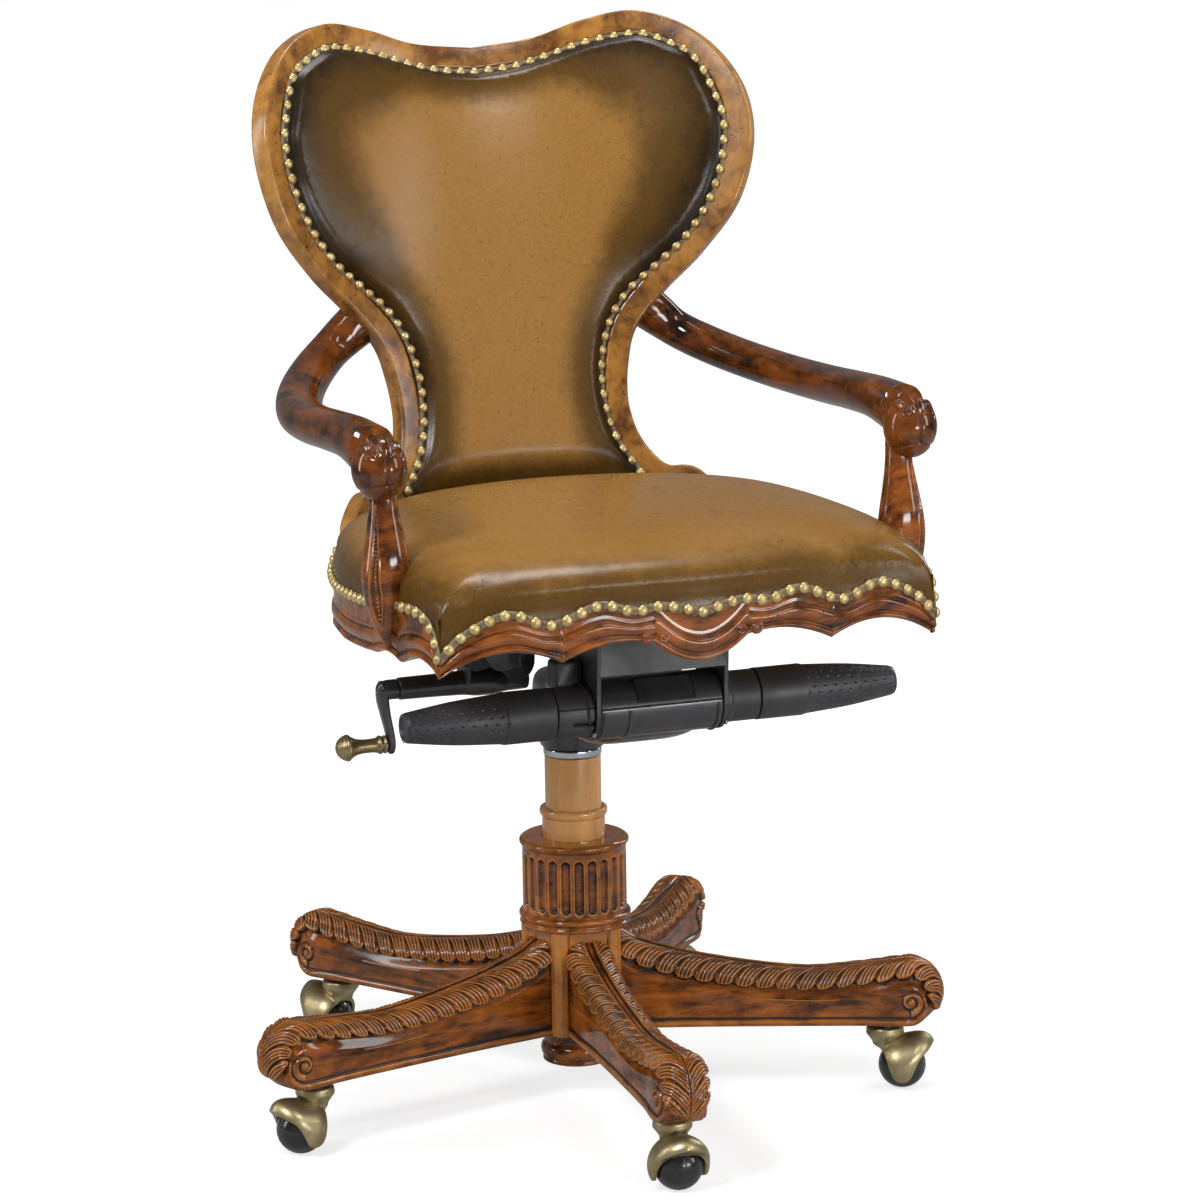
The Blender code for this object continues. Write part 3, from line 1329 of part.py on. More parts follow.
def build_base(root):
    base = add_body("base_body", (0, 0, 0), root)
    add_part("fluted_hub", make_hub(), base, "dark_walnut")
    add_part("hub_foot", make_hub_foot(), base, "dark_walnut")
    add_part("gas_cylinder", make_gas_cylinder(), base, "steel")
    add_part("lower_sleeve", make_lower_sleeve(), base, "honey_wood")
    for i in range(CASTER_COUNT):
        angle = FIRST_LEG_ANGLE + math.tau * i / CASTER_COUNT
        number = str(i + 1)
        add_part("leg_" + number, turned(make_leg(), angle), base, "dark_walnut")
        place = (STEM_CIRCLE_RADIUS * math.cos(angle), STEM_CIRCLE_RADIUS * math.sin(angle), 0)
        caster = add_body("caster_body_" + number, place, base, angle)
        add_part("caster_stem_" + number, make_caster_stem(), caster, "steel", True)
        add_part("caster_hood_" + number, make_caster_hood(), caster, "antique_brass", True)
        add_part("caster_axle_" + number, make_caster_axle(), caster, "steel", True)
        hub = caster.matrix_world @ Vector((CASTER_TRAIL, 0, BALL_RADIUS))
        wheel = add_body("wheel_body_" + number, hub, caster)
        add_part("caster_ball_" + number, make_caster_ball(), wheel, "black_rubber", True)
    return base


def build_lift(base):
    lift = add_body("lift_body", (0, 0, COVER_TOP), base)
    add_part("piston_rod", make_piston(), lift, "steel")
    add_part("upper_sleeve", make_upper_sleeve(), lift, "honey_wood")
    add_part("column_collar", make_column_collar(), lift, "chrome")
    return lift


def build_mechanism(lift):
    mechanism = add_body("mechanism_body", (0, 0, housing_bottom()), lift)
    add_part("mechanism_housing", make_housing(), mechanism, "black_steel")
    add_part("tilt_axle", make_tilt_axle(), mechanism, "steel")
    add_part("tension_bush", make_tension_bush(), mechanism, "black_rubber")
    for name, side in (("left", -1), ("right", 1)):
        add_part("grip_collar_" + name, make_grip_collar(side), mechanism, "black_plastic")
        grip = add_body("grip_body_" + name, (0, TILT_Y, TILT_Z), mechanism)
        add_part("grip_" + name, make_grip(side), grip, "black_plastic")
    return mechanism


def build_seat(mechanism):
    seat = add_body("seat_body", (0, TILT_Y, TILT_Z), mechanism)
    add_part("seat_plate", make_seat_plate(), seat, "black_steel")
    add_part("crank_sleeve", make_crank_sleeve(), seat, "black_plastic")
    add_part("seat_deck", make_seat_deck(), seat, "plywood")
    add_part("front_rail", make_front_rail(), seat, "dark_walnut")
    add_part("back_rail", back_rail_shape(), seat, "dark_walnut")
    add_part("seat_cushion", make_seat_cushion(), seat, "leather")
    add_part("back_frame", make_back_frame(), seat, "light_walnut")
    add_part("back_pad", make_back_pad(), seat, "leather")
    add_part("back_cover", make_back_cover(), seat, "leather")
    for name, side in (("left", -1), ("right", 1)):
        add_part(name + "_rail", make_side_rail(side), seat, "dark_walnut")
        add_part("arm_" + name, make_arm(side), seat, "dark_walnut")
        add_part("arm_post_" + name, make_post_shape(side), seat, "dark_walnut")
    crank = add_body("crank_body", (CRANK_SLEEVE_OUTER_END, CRANK_Y, CRANK_Z), seat)
    add_part("crank_arm", make_crank(), crank, "black_plastic")
    knob = add_body("knob_body", (CRANK_ARM_X, CRANK_Y, knob_axis_height()), crank)
    add_part("crank_knob", make_crank_knob(), knob, "antique_brass")


def main():
    clear_scene()
    root = add_body("chair", (0, 0, 0), None)
    base = build_base(root)
    lift = build_lift(base)
    mechanism = build_mechanism(lift)
    build_seat(mechanism)
    centre_on_floor(root)


main()
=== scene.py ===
import math

import bmesh
import bpy
import numpy as np
from mathutils import Matrix, Vector
from mathutils.geometry import delaunay_2d_cdt
from mathutils.kdtree import KDTree


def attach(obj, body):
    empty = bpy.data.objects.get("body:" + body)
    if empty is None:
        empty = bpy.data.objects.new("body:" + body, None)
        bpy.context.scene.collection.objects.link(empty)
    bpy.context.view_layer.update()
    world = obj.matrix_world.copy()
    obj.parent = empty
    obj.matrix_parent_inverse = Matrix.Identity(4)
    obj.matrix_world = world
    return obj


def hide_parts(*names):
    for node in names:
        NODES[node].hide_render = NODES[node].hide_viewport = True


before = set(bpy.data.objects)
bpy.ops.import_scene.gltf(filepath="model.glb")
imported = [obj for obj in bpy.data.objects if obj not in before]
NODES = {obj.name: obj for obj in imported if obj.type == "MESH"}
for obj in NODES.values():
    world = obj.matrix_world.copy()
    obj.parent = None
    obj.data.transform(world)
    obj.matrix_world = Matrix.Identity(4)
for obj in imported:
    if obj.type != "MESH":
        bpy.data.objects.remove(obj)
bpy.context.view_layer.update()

SIDES = (("left", -1), ("right", 1))

# The pieces are drawn round the column's axis, then moved to where the CAD model stands. Metres throughout.
COLUMN_PLACE = np.array((0.006015, 0.02467, 0.0))
LEG_COUNT = 5
FIRST_LEG_ANGLE = math.radians(-165.5)

# Camera, fitted to the photograph
CAMERA_TURN = math.radians(-20.5)
CAMERA_RISE = math.radians(11.794)
CAMERA_ROLL = math.radians(-0.845)
CAMERA_DISTANCE = 4.888
CAMERA_AIM_ACROSS = 0.031
CAMERA_AIM_HEIGHT = 0.529
CAMERA_LENS = 141.57
SENSOR_WIDTH = 36.0


# Numbers


def through_keys(keys, at):
    """Values at places on a smooth curve through keys, whose first number is the place along it."""
    keys = np.asarray(keys, float)
    places, values = keys[:, 0], keys[:, 1:]
    at = np.clip(np.asarray(at, float), places[0], places[-1])
    span = np.clip(np.searchsorted(places, at, side="right") - 1, 0, len(places) - 2)
    before = np.maximum(span - 1, 0)
    after = np.minimum(span + 2, len(places) - 1)
    length = (places[span + 1] - places[span])[..., None]
    t = (at - places[span])[..., None] / length
    leaving = (values[span + 1] - values[before]) / (places[span + 1] - places[before])[..., None] * length
    arriving = (values[after] - values[span]) / (places[after] - places[span])[..., None] * length
    return (
        values[span] * (2 * t**3 - 3 * t**2 + 1)
        + leaving * (t**3 - 2 * t**2 + t)
        + values[span + 1] * (3 * t**2 - 2 * t**3)
        + arriving * (t**3 - t**2)
    )


def key_value(keys, at):
    return through_keys(keys, at)[..., 0]


def smooth_step(start, end, value):
    t = np.clip((np.asarray(value, float) - start) / (end - start), 0.0, 1.0)
    return t * t * (3 - 2 * t)


def bump(distance, half_width):
    """A rounded ridge: 1 on its line, 0 at its edges."""
    return np.sqrt(np.clip(1 - (distance / half_width) ** 2, 0.0, 1.0))


def soft_bump(distance, half_width):
    """A ridge that fades out at its edges."""
    t = np.clip(np.abs(distance) / half_width, 0.0, 1.0)
    return (1 + np.cos(np.pi * t)) / 2


def unit(vectors):
    return vectors / np.maximum(np.linalg.norm(vectors, axis=-1, keepdims=True), 1e-12)


def distances(points):
    """How far along a line each of its points is."""
    return np.concatenate([[0.0], np.cumsum(np.linalg.norm(np.diff(points, axis=0), axis=1))])


def at_distances(values, along, wanted):
    return np.stack([np.interp(wanted, along, column) for column in values.T], axis=1)


def evenly_along(points, count, closed=False):
    """That many points, evenly spaced along a line of points."""
    points = np.asarray(points, float)
    if closed:
        points = np.vstack([points, points[:1]])
    along = distances(points)
    return at_distances(points, along, np.linspace(0, along[-1], count, endpoint=not closed))


def evenly_with(points, extra, count):
    """Evenly spaced points on a line, with the directions that go with them."""
    along = distances(points)
    both = at_distances(np.column_stack([points, extra]), along, np.linspace(0, along[-1], count))
    return both[:, :3], unit(both[:, 3:])


def smooth_line(points, count, closed=False):
    """Evenly spaced points on a smooth curve through the points."""
    points = np.asarray(points, float)
    if closed:
        points = np.vstack([points[-2:], points, points[:3]])
    keys = np.column_stack([np.arange(len(points)), points])
    first, last = (2, len(points) - 3) if closed else (0, len(points) - 1)
    fine = through_keys(keys, np.linspace(first, last, 1600))
    if closed:
        fine = fine[:-1]
    return evenly_along(fine, count, closed)


def line_length(points):
    return float(distances(points)[-1])


def ring_of_angles(steps):
    return np.linspace(0, math.tau, steps, endpoint=False)


def level_ring(radius, height, angles):
    """A ring about the Z axis."""
    return np.stack([radius * np.cos(angles), radius * np.sin(angles), np.full(len(angles), height)], axis=-1)


# Meshes


def grid(points, closed=False):
    """Vertices and four-sided faces of a sheet of points. Closed joins the last column to the first."""
    points = np.asarray(points, float)
    nu, nv = points.shape[:2]
    index = np.arange(nu * nv).reshape(nu, nv)
    if closed:
        index = np.hstack([index, index[:, :1]])
    quads = np.stack([index[:-1, :-1], index[1:, :-1], index[1:, 1:], index[:-1, 1:]], axis=-1)
    return points.reshape(-1, 3), quads.reshape(-1, 4)


def turned_sheet(profile, steps, axis="Z", wave=None):
    """A sheet turned on the lathe from (radius, height) points. wave(angle, height) may change the radius."""
    profile = np.asarray(profile, float)
    angles = ring_of_angles(steps)
    radius = np.repeat(profile[:, :1], steps, axis=1)
    height = np.repeat(profile[:, 1:2], steps, axis=1)
    if wave is not None:
        radius = radius + wave(angles[None, :], height)
    across, ahead = radius * np.cos(angles), radius * np.sin(angles)
    if axis == "X":
        points = np.stack([height, across, ahead], axis=-1)
    elif axis == "Y":
        points = np.stack([ahead, height, across], axis=-1)
    else:
        points = np.stack([across, ahead, height], axis=-1)
    return grid(points, closed=True)


def rounded_profile(points, radius, steps):
    """A profile whose corners are rounded off, for lathe work and plates."""
    points = [np.asarray(p, float) for p in points]
    result = [points[0]]
    for before, corner, after in zip(points, points[1:], points[2:]):
        back, on = before - corner, after - corner
        room = min(radius, np.linalg.norm(back) / 2, np.linalg.norm(on) / 2)
        start = corner + unit(back) * room
        end = corner + unit(on) * room
        for t in np.linspace(0, 1, steps):
            result.append(start * (1 - t) ** 2 + corner * 2 * t * (1 - t) + end * t**2)
    result.append(points[-1])
    return np.array(result)


def swept(path, section, up=(0.0, 0.0, 1.0)):
    """A section of (across, up) points carried along a path. section may be a list with one ring per point."""
    path = np.asarray(path, float)
    along = unit(np.gradient(path, axis=0))
    across = unit(np.cross(along, np.broadcast_to(up, path.shape)))
    upward = unit(np.cross(across, along))
    section = np.asarray(section, float)
    if section.ndim == 2:
        section = np.tile(section, (len(path), 1, 1))
    points = path[:, None] + across[:, None] * section[..., :1] + upward[:, None] * section[..., 1:2]
    return grid(points, closed=True)


def round_section(half_wide, half_tall, steps, power):
    """A ring that is round at power 2 and squarer above it."""
    angles = ring_of_angles(steps)
    c, s = np.cos(angles), np.sin(angles)
    across = np.sign(c) * np.abs(c) ** (2 / power) * half_wide
    return np.stack([across, np.sign(s) * np.abs(s) ** (2 / power) * half_tall], axis=-1)


def new_mesh(name, blocks, weld=1e-6):
    """One mesh of several sheets, welded where they meet, with its open ends closed."""
    points, corners, sizes, start = [], [], [], 0
    for block_points, block_faces in blocks:
        faces = np.asarray(block_faces)
        points.append(np.asarray(block_points, float))
        corners.append(faces.ravel() + start)
        sizes.append(np.full(len(faces), faces.shape[1]))
        start += len(block_points)
    points = np.vstack(points)
    corners = np.concatenate(corners).astype(np.int32)
    sizes = np.concatenate(sizes)
    first_corners = np.concatenate([[0], np.cumsum(sizes)[:-1]]).astype(np.int32)
    mesh = bpy.data.meshes.new(name)
    mesh.vertices.add(len(points))
    mesh.vertices.foreach_set("co", points.astype(np.float32).ravel())
    mesh.loops.add(len(corners))
    mesh.loops.foreach_set("vertex_index", corners)
    mesh.polygons.add(len(sizes))
    mesh.polygons.foreach_set("loop_start", first_corners)
    mesh.update(calc_edges=True)
    shape = bmesh.new()
    shape.from_mesh(mesh)
    bmesh.ops.remove_doubles(shape, verts=shape.verts, dist=weld)
    open_edges = [edge for edge in shape.edges if edge.is_boundary]
    if open_edges:
        bmesh.ops.holes_fill(shape, edges=open_edges, sides=0)
    bmesh.ops.recalc_face_normals(shape, faces=shape.faces)
    shape.to_mesh(mesh)
    shape.free()
    mesh.validate()
    mesh.shade_smooth()
    return mesh


def vertex_places(mesh):
    places = np.empty(len(mesh.vertices) * 3, np.float32)
    mesh.vertices.foreach_get("co", places)
    return places.reshape(-1, 3).astype(float)


def neighbour_mean(mesh, values, rounds):
    """Values averaged over each vertex's neighbours, several times."""
    pairs = np.empty(len(mesh.edges) * 2, np.int32)
    mesh.edges.foreach_get("vertices", pairs)
    first, second = pairs.reshape(-1, 2).T
    count = np.bincount(np.concatenate([first, second]), minlength=len(mesh.vertices)).astype(float)
    values = np.asarray(values, float)
    flat = values.reshape(len(values), -1)
    for _ in range(rounds):
        total = np.empty_like(flat)
        for i in range(flat.shape[1]):
            total[:, i] = np.bincount(first, flat[second, i], minlength=len(flat))
            total[:, i] += np.bincount(second, flat[first, i], minlength=len(flat))
        flat = flat * 0.4 + total / np.maximum(count, 1)[:, None] * 0.6
    return flat.reshape(values.shape)


def mark(mesh, name, values):
    """A number on each vertex, which a material reads by its name."""
    layer = mesh.attributes.get(name) or mesh.attributes.new(name, "FLOAT", "POINT")
    layer.data.foreach_set("value", np.asarray(values, np.float32).ravel())


def mark_hollows(mesh, full_depth, rounds):
    """Marks carved hollows from 0.5 to 1 and raised edges from 0.5 to 0: the hollows get glazing and painted shade, the
    edges wear and a painted highlight.
    """
    places = vertex_places(mesh)
    normals = np.empty(len(mesh.vertices) * 3, np.float32)
    mesh.vertices.foreach_get("normal", normals)
    sunk = neighbour_mean(mesh, places, rounds) - places
    depth = (sunk * normals.reshape(-1, 3)).sum(axis=1)
    depth = neighbour_mean(mesh, depth, 1)
    mark(mesh, "hollow", np.clip(0.5 + 0.5 * depth / full_depth, 0.0, 1.0))


def place_piece(name, mesh, body, material, stands_for=(), place=COLUMN_PLACE, turn=0.0):
    """Puts a mesh in the scene on its body, with its finish and the CAD nodes that it stands for."""
    piece = bpy.data.objects.new(name, mesh)
    bpy.context.scene.collection.objects.link(piece)
    if not mesh.materials:
        mesh.materials.append(material)
    piece.location = Vector(place)
    piece.rotation_euler = (0, 0, turn)
    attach(piece, body)
    if stands_for:
        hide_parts(*stands_for)
    return piece


def add_piece(name, blocks, body, material, stands_for=(), hollows=None, sharp=None, weld=1e-6):
    """A piece from its sheets. hollows is (full depth, rounds) for marking them, and edges over sharp degrees stay."""
    mesh = new_mesh(name, blocks, weld)
    if hollows:
        mark_hollows(mesh, *hollows)
    if sharp:
        mesh.set_sharp_from_angle(angle=math.radians(sharp))
    place_piece(name, mesh, body, material, stands_for)


# Finishes: shared effects


def sRGB(red, green, blue):
    """A colour as it looks on screen, 0 to 255, for a shader socket."""
    values = []
    for level in (red, green, blue):
        level /= 255
        values.append(level / 12.92 if level <= 0.04045 else ((level + 0.055) / 1.055) ** 2.4)
    return (*values, 1.0)


class Reading:
    """A node's output, which can be added, taken away and multiplied like a number."""

    def __init__(self, tree, output):
        self.tree, self.output = tree, output

    def __add__(self, other):
        return calculate(self.tree, "ADD", self, other)

    def __sub__(self, other):
        return calculate(self.tree, "SUBTRACT", self, other)

    def __mul__(self, other):
        return calculate(self.tree, "MULTIPLY", self, other)


def feed(tree, socket, value):
    """Links a socket, or sets its value."""
    if isinstance(value, Reading):
        value = value.output
    if isinstance(value, bpy.types.NodeSocket):
        tree.links.new(value, socket)
    elif value is not None:
        socket.default_value = value


def new_node(tree, kind, inputs=None, output=0, **settings):
    """A node with its settings and inputs, as the reading of one of its outputs."""
    node = tree.nodes.new("ShaderNode" + kind)
    for label, value in settings.items():
        setattr(node, label, value)
    for socket, value in (inputs or {}).items():
        feed(tree, node.inputs[socket], value)
    return Reading(tree, node.outputs[output])


def noise(tree, at, scale, detail, roughness, distortion=0.0):
    inputs = {"Vector": at, "Scale": scale, "Detail": detail, "Roughness": roughness, "Distortion": distortion}
    return new_node(tree, "TexNoise", inputs, "Fac")


def cells(tree, at, scale, output="Distance"):
    return new_node(tree, "TexVoronoi", {"Vector": at, "Scale": scale}, output)


def calculate(tree, operation, first, second=None, clamp=False):
    return new_node(tree, "Math", {0: first, 1: second}, operation=operation, use_clamp=clamp)


def spread(tree, value, low, high, to_low=0.0, to_high=1.0):
    """A value's range moved onto another range, smoothly and within its ends."""
    inputs = {"Value": value, "From Min": low, "From Max": high, "To Min": to_low, "To Max": to_high}
    return new_node(tree, "MapRange", inputs, "Result", interpolation_type="SMOOTHSTEP")


def blend_colours(tree, share, first, second):
    return new_node(tree, "Mix", {"Factor": share, 6: first, 7: second}, 2, data_type="RGBA")


def object_place(tree, stretch=None):
    """A point's place on its own piece, stretched along the grain where a stretch is given."""
    place = new_node(tree, "TexCoord", output="Object")
    if stretch is None:
        return place
    return new_node(tree, "VectorMath", {0: place, 1: stretch}, operation="MULTIPLY")


def marked(tree, name):
    return new_node(tree, "Attribute", output="Fac", attribute_type="GEOMETRY", attribute_name=name)


def new_effect(name, inputs, outputs):
    """A node group. An input's kind follows from its default value, and each output but Color is a plain value."""
    tree = bpy.data.node_groups.new(name, "ShaderNodeTree")
    kinds = {1: "Float", 3: "Vector", 4: "Color"}
    for label, value in inputs.items():
        kind = kinds[len(value) if isinstance(value, tuple) else 1]
        tree.interface.new_socket(name=label, in_out="INPUT", socket_type="NodeSocket" + kind).default_value = value
    for label in outputs:
        kind = "Color" if label == "Color" else "Float"
        tree.interface.new_socket(name=label, in_out="OUTPUT", socket_type="NodeSocket" + kind)
    return tree, tree.nodes.new("NodeGroupInput").outputs, tree.nodes.new("NodeGroupOutput").inputs


def give(tree, gives, **values):
    """Puts a group's results on its outputs."""
    for label, value in values.items():
        feed(tree, gives[label], value)
    return tree


def wood_figure_effect():
    """Grain, dark flecks and worm holes of polished walnut."""
    tree, given, gives = new_effect(
        "Wood figure",
        {"Light": (0.3, 0.1, 0.03, 1), "Dark": (0.08, 0.02, 0.01, 1), "Grain Stretch": (12, 60, 60),
         "Contrast": 1.0, "Flecks": 0.6, "Holes": 1.0},
        ("Color", "Height"),
    )
    along, plain = object_place(tree, given["Grain Stretch"]), object_place(tree)
    broad = noise(tree, along, 0.7, 6.0, 0.62, 0.8)
    streaks = noise(tree, along, 3.2, 5.0, 0.7, 0.3)
    clouds = noise(tree, plain, 22.0, 4.0, 0.6, 0.5)
    figure = (broad * 0.5 + streaks * 0.25 + clouds * 0.25 - 0.5) * given["Contrast"] + 0.5
    colour = blend_colours(tree, spread(tree, figure, 0.32, 0.66), given["Dark"], given["Light"])
    short = spread(tree, noise(tree, plain, 340.0, 2.0, 0.5), 0.60, 0.70)
    fleck = short * spread(tree, noise(tree, plain, 46.0, 3.0, 0.5), 0.50, 0.62) * given["Flecks"]
    colour = blend_colours(tree, fleck, colour, (0.012, 0.005, 0.003, 1))
    choice = new_node(tree, "SeparateColor", {0: cells(tree, plain, 62.0, "Color")})
    hole = spread(tree, cells(tree, plain, 62.0), 0.085, 0.055) * spread(tree, choice, 0.86, 0.88) * given["Holes"]
    colour = blend_colours(tree, hole, colour, (0.006, 0.003, 0.002, 1))
    return give(tree, gives, Color=colour, Height=streaks * 0.25 - hole - fleck * 0.3)


def glazing_wear_and_painted_light_effect():
    """Darker glazing in hollows, partly real glazing and partly painted shade, and a lighter worn tone on raised edges,
    partly real wear and partly a painted highlight.
    """
    tree, given, gives = new_effect(
        "Glaze and rubbing",
        {"Color": (0.5, 0.5, 0.5, 1), "Glaze Color": (0.01, 0.005, 0.003, 1), "Rubbed Color": (0.6, 0.3, 0.1, 1),
         "Glaze": 1.0, "Rubbing": 0.5, "Smooth": 0.2, "Dull": 0.5},
        ("Color", "Roughness"),
    )
    hollow = marked(tree, "hollow")
    patchy = noise(tree, object_place(tree), 70.0, 4.0, 0.6) - 0.5
    # Hollows darkened towards the glazing colour: real glazing and painted shade.
    deep = spread(tree, hollow + patchy * 0.12, 0.53, 0.74)
    deep = calculate(tree, "MULTIPLY", deep, given["Glaze"], clamp=True)
    # Raised edges lightened towards the worn colour: real wear and a painted highlight.
    raised = spread(tree, hollow + patchy * 0.25, 0.44, 0.12)
    raised = calculate(tree, "MULTIPLY", raised, given["Rubbing"], clamp=True)
    colour = blend_colours(tree, raised, given["Color"], given["Rubbed Color"])
    colour = blend_colours(tree, deep, colour, given["Glaze Color"])
    return give(tree, gives, Color=colour, Roughness=deep * given["Dull"] + given["Smooth"] + patchy * 0.10)


def hide_effect():
    """Hand-dyed leather: golden in the middle, dark by the nails, mottled, with fine grain and a few creases."""
    tree, given, gives = new_effect(
        "Leather hide",
        {"Middle": (0.4, 0.2, 0.05, 1), "Halfway": (0.2, 0.1, 0.03, 1), "Edge": (0.06, 0.03, 0.01, 1),
         "Creases": 0.5, "Crease Stretch": (26, 9, 9)},
        ("Color", "Roughness", "Height"),
    )
    plain = object_place(tree)
    clouds = noise(tree, plain, 11.0, 5.0, 0.6, 0.6)
    mottle = noise(tree, plain, 75.0, 5.0, 0.65)
    shade = marked(tree, "near_edge") + (clouds - 0.5) * 0.34 + (mottle - 0.5) * 0.30
    colour = blend_colours(tree, spread(tree, shade, 0.02, 0.52), given["Middle"], given["Halfway"])
    colour = blend_colours(tree, spread(tree, shade, 0.50, 0.98), colour, given["Edge"])
    dots = spread(tree, noise(tree, plain, 420.0, 3.0, 0.6), 0.34, 0.66, 0.88, 1.08)
    dots = dots * spread(tree, noise(tree, plain, 230.0, 2.0, 0.5), 0.63, 0.70, 1.0, 0.72)
    tinted = new_node(tree, "VectorMath", {0: colour, "Scale": dots}, operation="SCALE")
    lines = noise(tree, object_place(tree, given["Crease Stretch"]), 1.0, 2.0, 0.5, 1.2)
    thin = spread(tree, calculate(tree, "ABSOLUTE", lines - 0.5), 0.0, 0.008, 1.0, 0.0)
    crease = thin * spread(tree, noise(tree, plain, 9.0, 2.0, 0.5), 0.48, 0.60) * given["Creases"]
    colour = blend_colours(tree, crease * 0.45, tinted, given["Edge"])
    height = cells(tree, plain, 620.0) * 0.35 - crease + mottle * 0.5
    return give(tree, gives, Color=colour, Roughness=mottle * 0.14 + 0.20, Height=height)


def fine_texture_effect():
    """Small uneven patches of tone and a fine surface grain, for metal, plastic and rubber."""
    tree, given, gives = new_effect(
        "Fine texture",
        {"Color": (0.5, 0.5, 0.5, 1), "Other Color": (0.2, 0.2, 0.2, 1), "Patch Scale": 60.0, "Grain Scale": 900.0,
         "Smooth": 0.3, "Rough": 0.5},
        ("Color", "Roughness", "Height"),
    )
    plain = object_place(tree)
    patches = noise(tree, plain, given["Patch Scale"], 5.0, 0.6, 0.4)
    colour = blend_colours(tree, spread(tree, patches, 0.36, 0.68), given["Color"], given["Other Color"])
    gloss = spread(tree, patches, 0.3, 0.7, given["Smooth"], given["Rough"])
    return give(tree, gives, Color=colour, Roughness=gloss, Height=noise(tree, plain, given["Grain Scale"], 2.0, 0.5))


WOOD_FIGURE = wood_figure_effect()
GLAZING_WEAR_AND_PAINTED_LIGHT = glazing_wear_and_painted_light_effect()
HIDE = hide_effect()
FINE_TEXTURE = fine_texture_effect()


# Finishes: materials


def place_effect(tree, effect, **values):
    node = tree.nodes.new("ShaderNodeGroup")
    node.node_tree = effect
    for label, value in values.items():
        feed(tree, node.inputs[label.replace("_", " ")], value)
    return node.outputs


def new_finish(name, metallic=0.0, coat=0.0, coat_roughness=0.1, specular=0.5):
    """A material with its shader and the sockets that are the same all over."""
    material = bpy.data.materials.new(name)
    material.use_nodes = True
    tree = material.node_tree
    shader = tree.nodes["Principled BSDF"]
    shader.inputs["Metallic"].default_value = metallic
    shader.inputs["Coat Weight"].default_value = coat
    shader.inputs["Coat Roughness"].default_value = coat_roughness
    shader.inputs["Specular IOR Level"].default_value = specular
    return material, tree, shader


def dress(tree, shader, colour, roughness, height, strength, distance):
    """Joins colour, roughness and embossing to a material's shader."""
    relief = new_node(tree, "Bump", {"Strength": strength, "Distance": distance, "Height": height})
    for label, value in (("Base Color", colour), ("Roughness", roughness), ("Normal", relief)):
        feed(tree, shader.inputs[label], value)


def wood_finish(name, light, dark, worn_and_highlight_colour, stretch, gloss, glazing_and_shade=1.0, wear_and_highlight=0.0, flecks=0.6, holes=1.0,
                contrast=1.0, coat=0.0, glazing_and_shade_colour=(0.010, 0.004, 0.002, 1)):
    """Polished wood with grain, with glazing and painted shade in its hollows and, where asked for, wear and a painted
    highlight on raised edges.
    """
    material, tree, shader = new_finish(name, coat=coat, coat_roughness=0.12)
    figure = place_effect(
        tree, WOOD_FIGURE, Light=light, Dark=dark, Grain_Stretch=stretch, Contrast=contrast, Flecks=flecks, Holes=holes
    )
    glazing_wear_and_painted_light = place_effect(
        tree, GLAZING_WEAR_AND_PAINTED_LIGHT, Color=figure["Color"], Glaze_Color=glazing_and_shade_colour, Rubbed_Color=worn_and_highlight_colour, Glaze=glazing_and_shade,
        Rubbing=wear_and_highlight, Smooth=gloss, Dull=0.25,
    )
    dress(tree, shader, glazing_wear_and_painted_light["Color"], glazing_wear_and_painted_light["Roughness"], figure["Height"], 0.25, 0.0006)
    return material


def leather_finish(name, creases, stretch):
    material, tree, shader = new_finish(name, specular=0.30)
    hide = place_effect(
        tree, HIDE, Middle=sRGB(156, 113, 55), Halfway=sRGB(92, 64, 22), Edge=sRGB(30, 19, 5), Creases=creases,
        Crease_Stretch=stretch,
    )
    dress(tree, shader, hide["Color"], hide["Roughness"], hide["Height"], 0.22, 0.0007)
    return material


def textured_finish(name, colour, other, patch=60.0, grain=900.0, smooth=0.3, rough=0.5, metallic=0.0, coat=0.0,
                    bump_strength=0.15, bump_depth=0.0003, glazing_wear_and_painted_light=None):
    """Metal, plastic or rubber. The last setting, where given, adds (colour of the glazing and painted shade in
    hollows, its amount, colour of the wear and painted highlight on raised edges, its amount).
    """
    material, tree, shader = new_finish(name, metallic=metallic, coat=coat)
    texture = surface = place_effect(
        tree, FINE_TEXTURE, Color=colour, Other_Color=other, Patch_Scale=patch, Grain_Scale=grain, Smooth=smooth,
        Rough=rough,
    )
    if glazing_wear_and_painted_light:
        surface = place_effect(
            tree, GLAZING_WEAR_AND_PAINTED_LIGHT, Color=texture["Color"], Glaze_Color=glazing_wear_and_painted_light[0], Glaze=glazing_wear_and_painted_light[1], Rubbed_Color=glazing_wear_and_painted_light[2],
            Rubbing=glazing_wear_and_painted_light[3], Smooth=texture["Roughness"], Dull=0.25,
        )
    dress(tree, shader, surface["Color"], surface["Roughness"], texture["Height"], bump_strength, bump_depth)
    return material


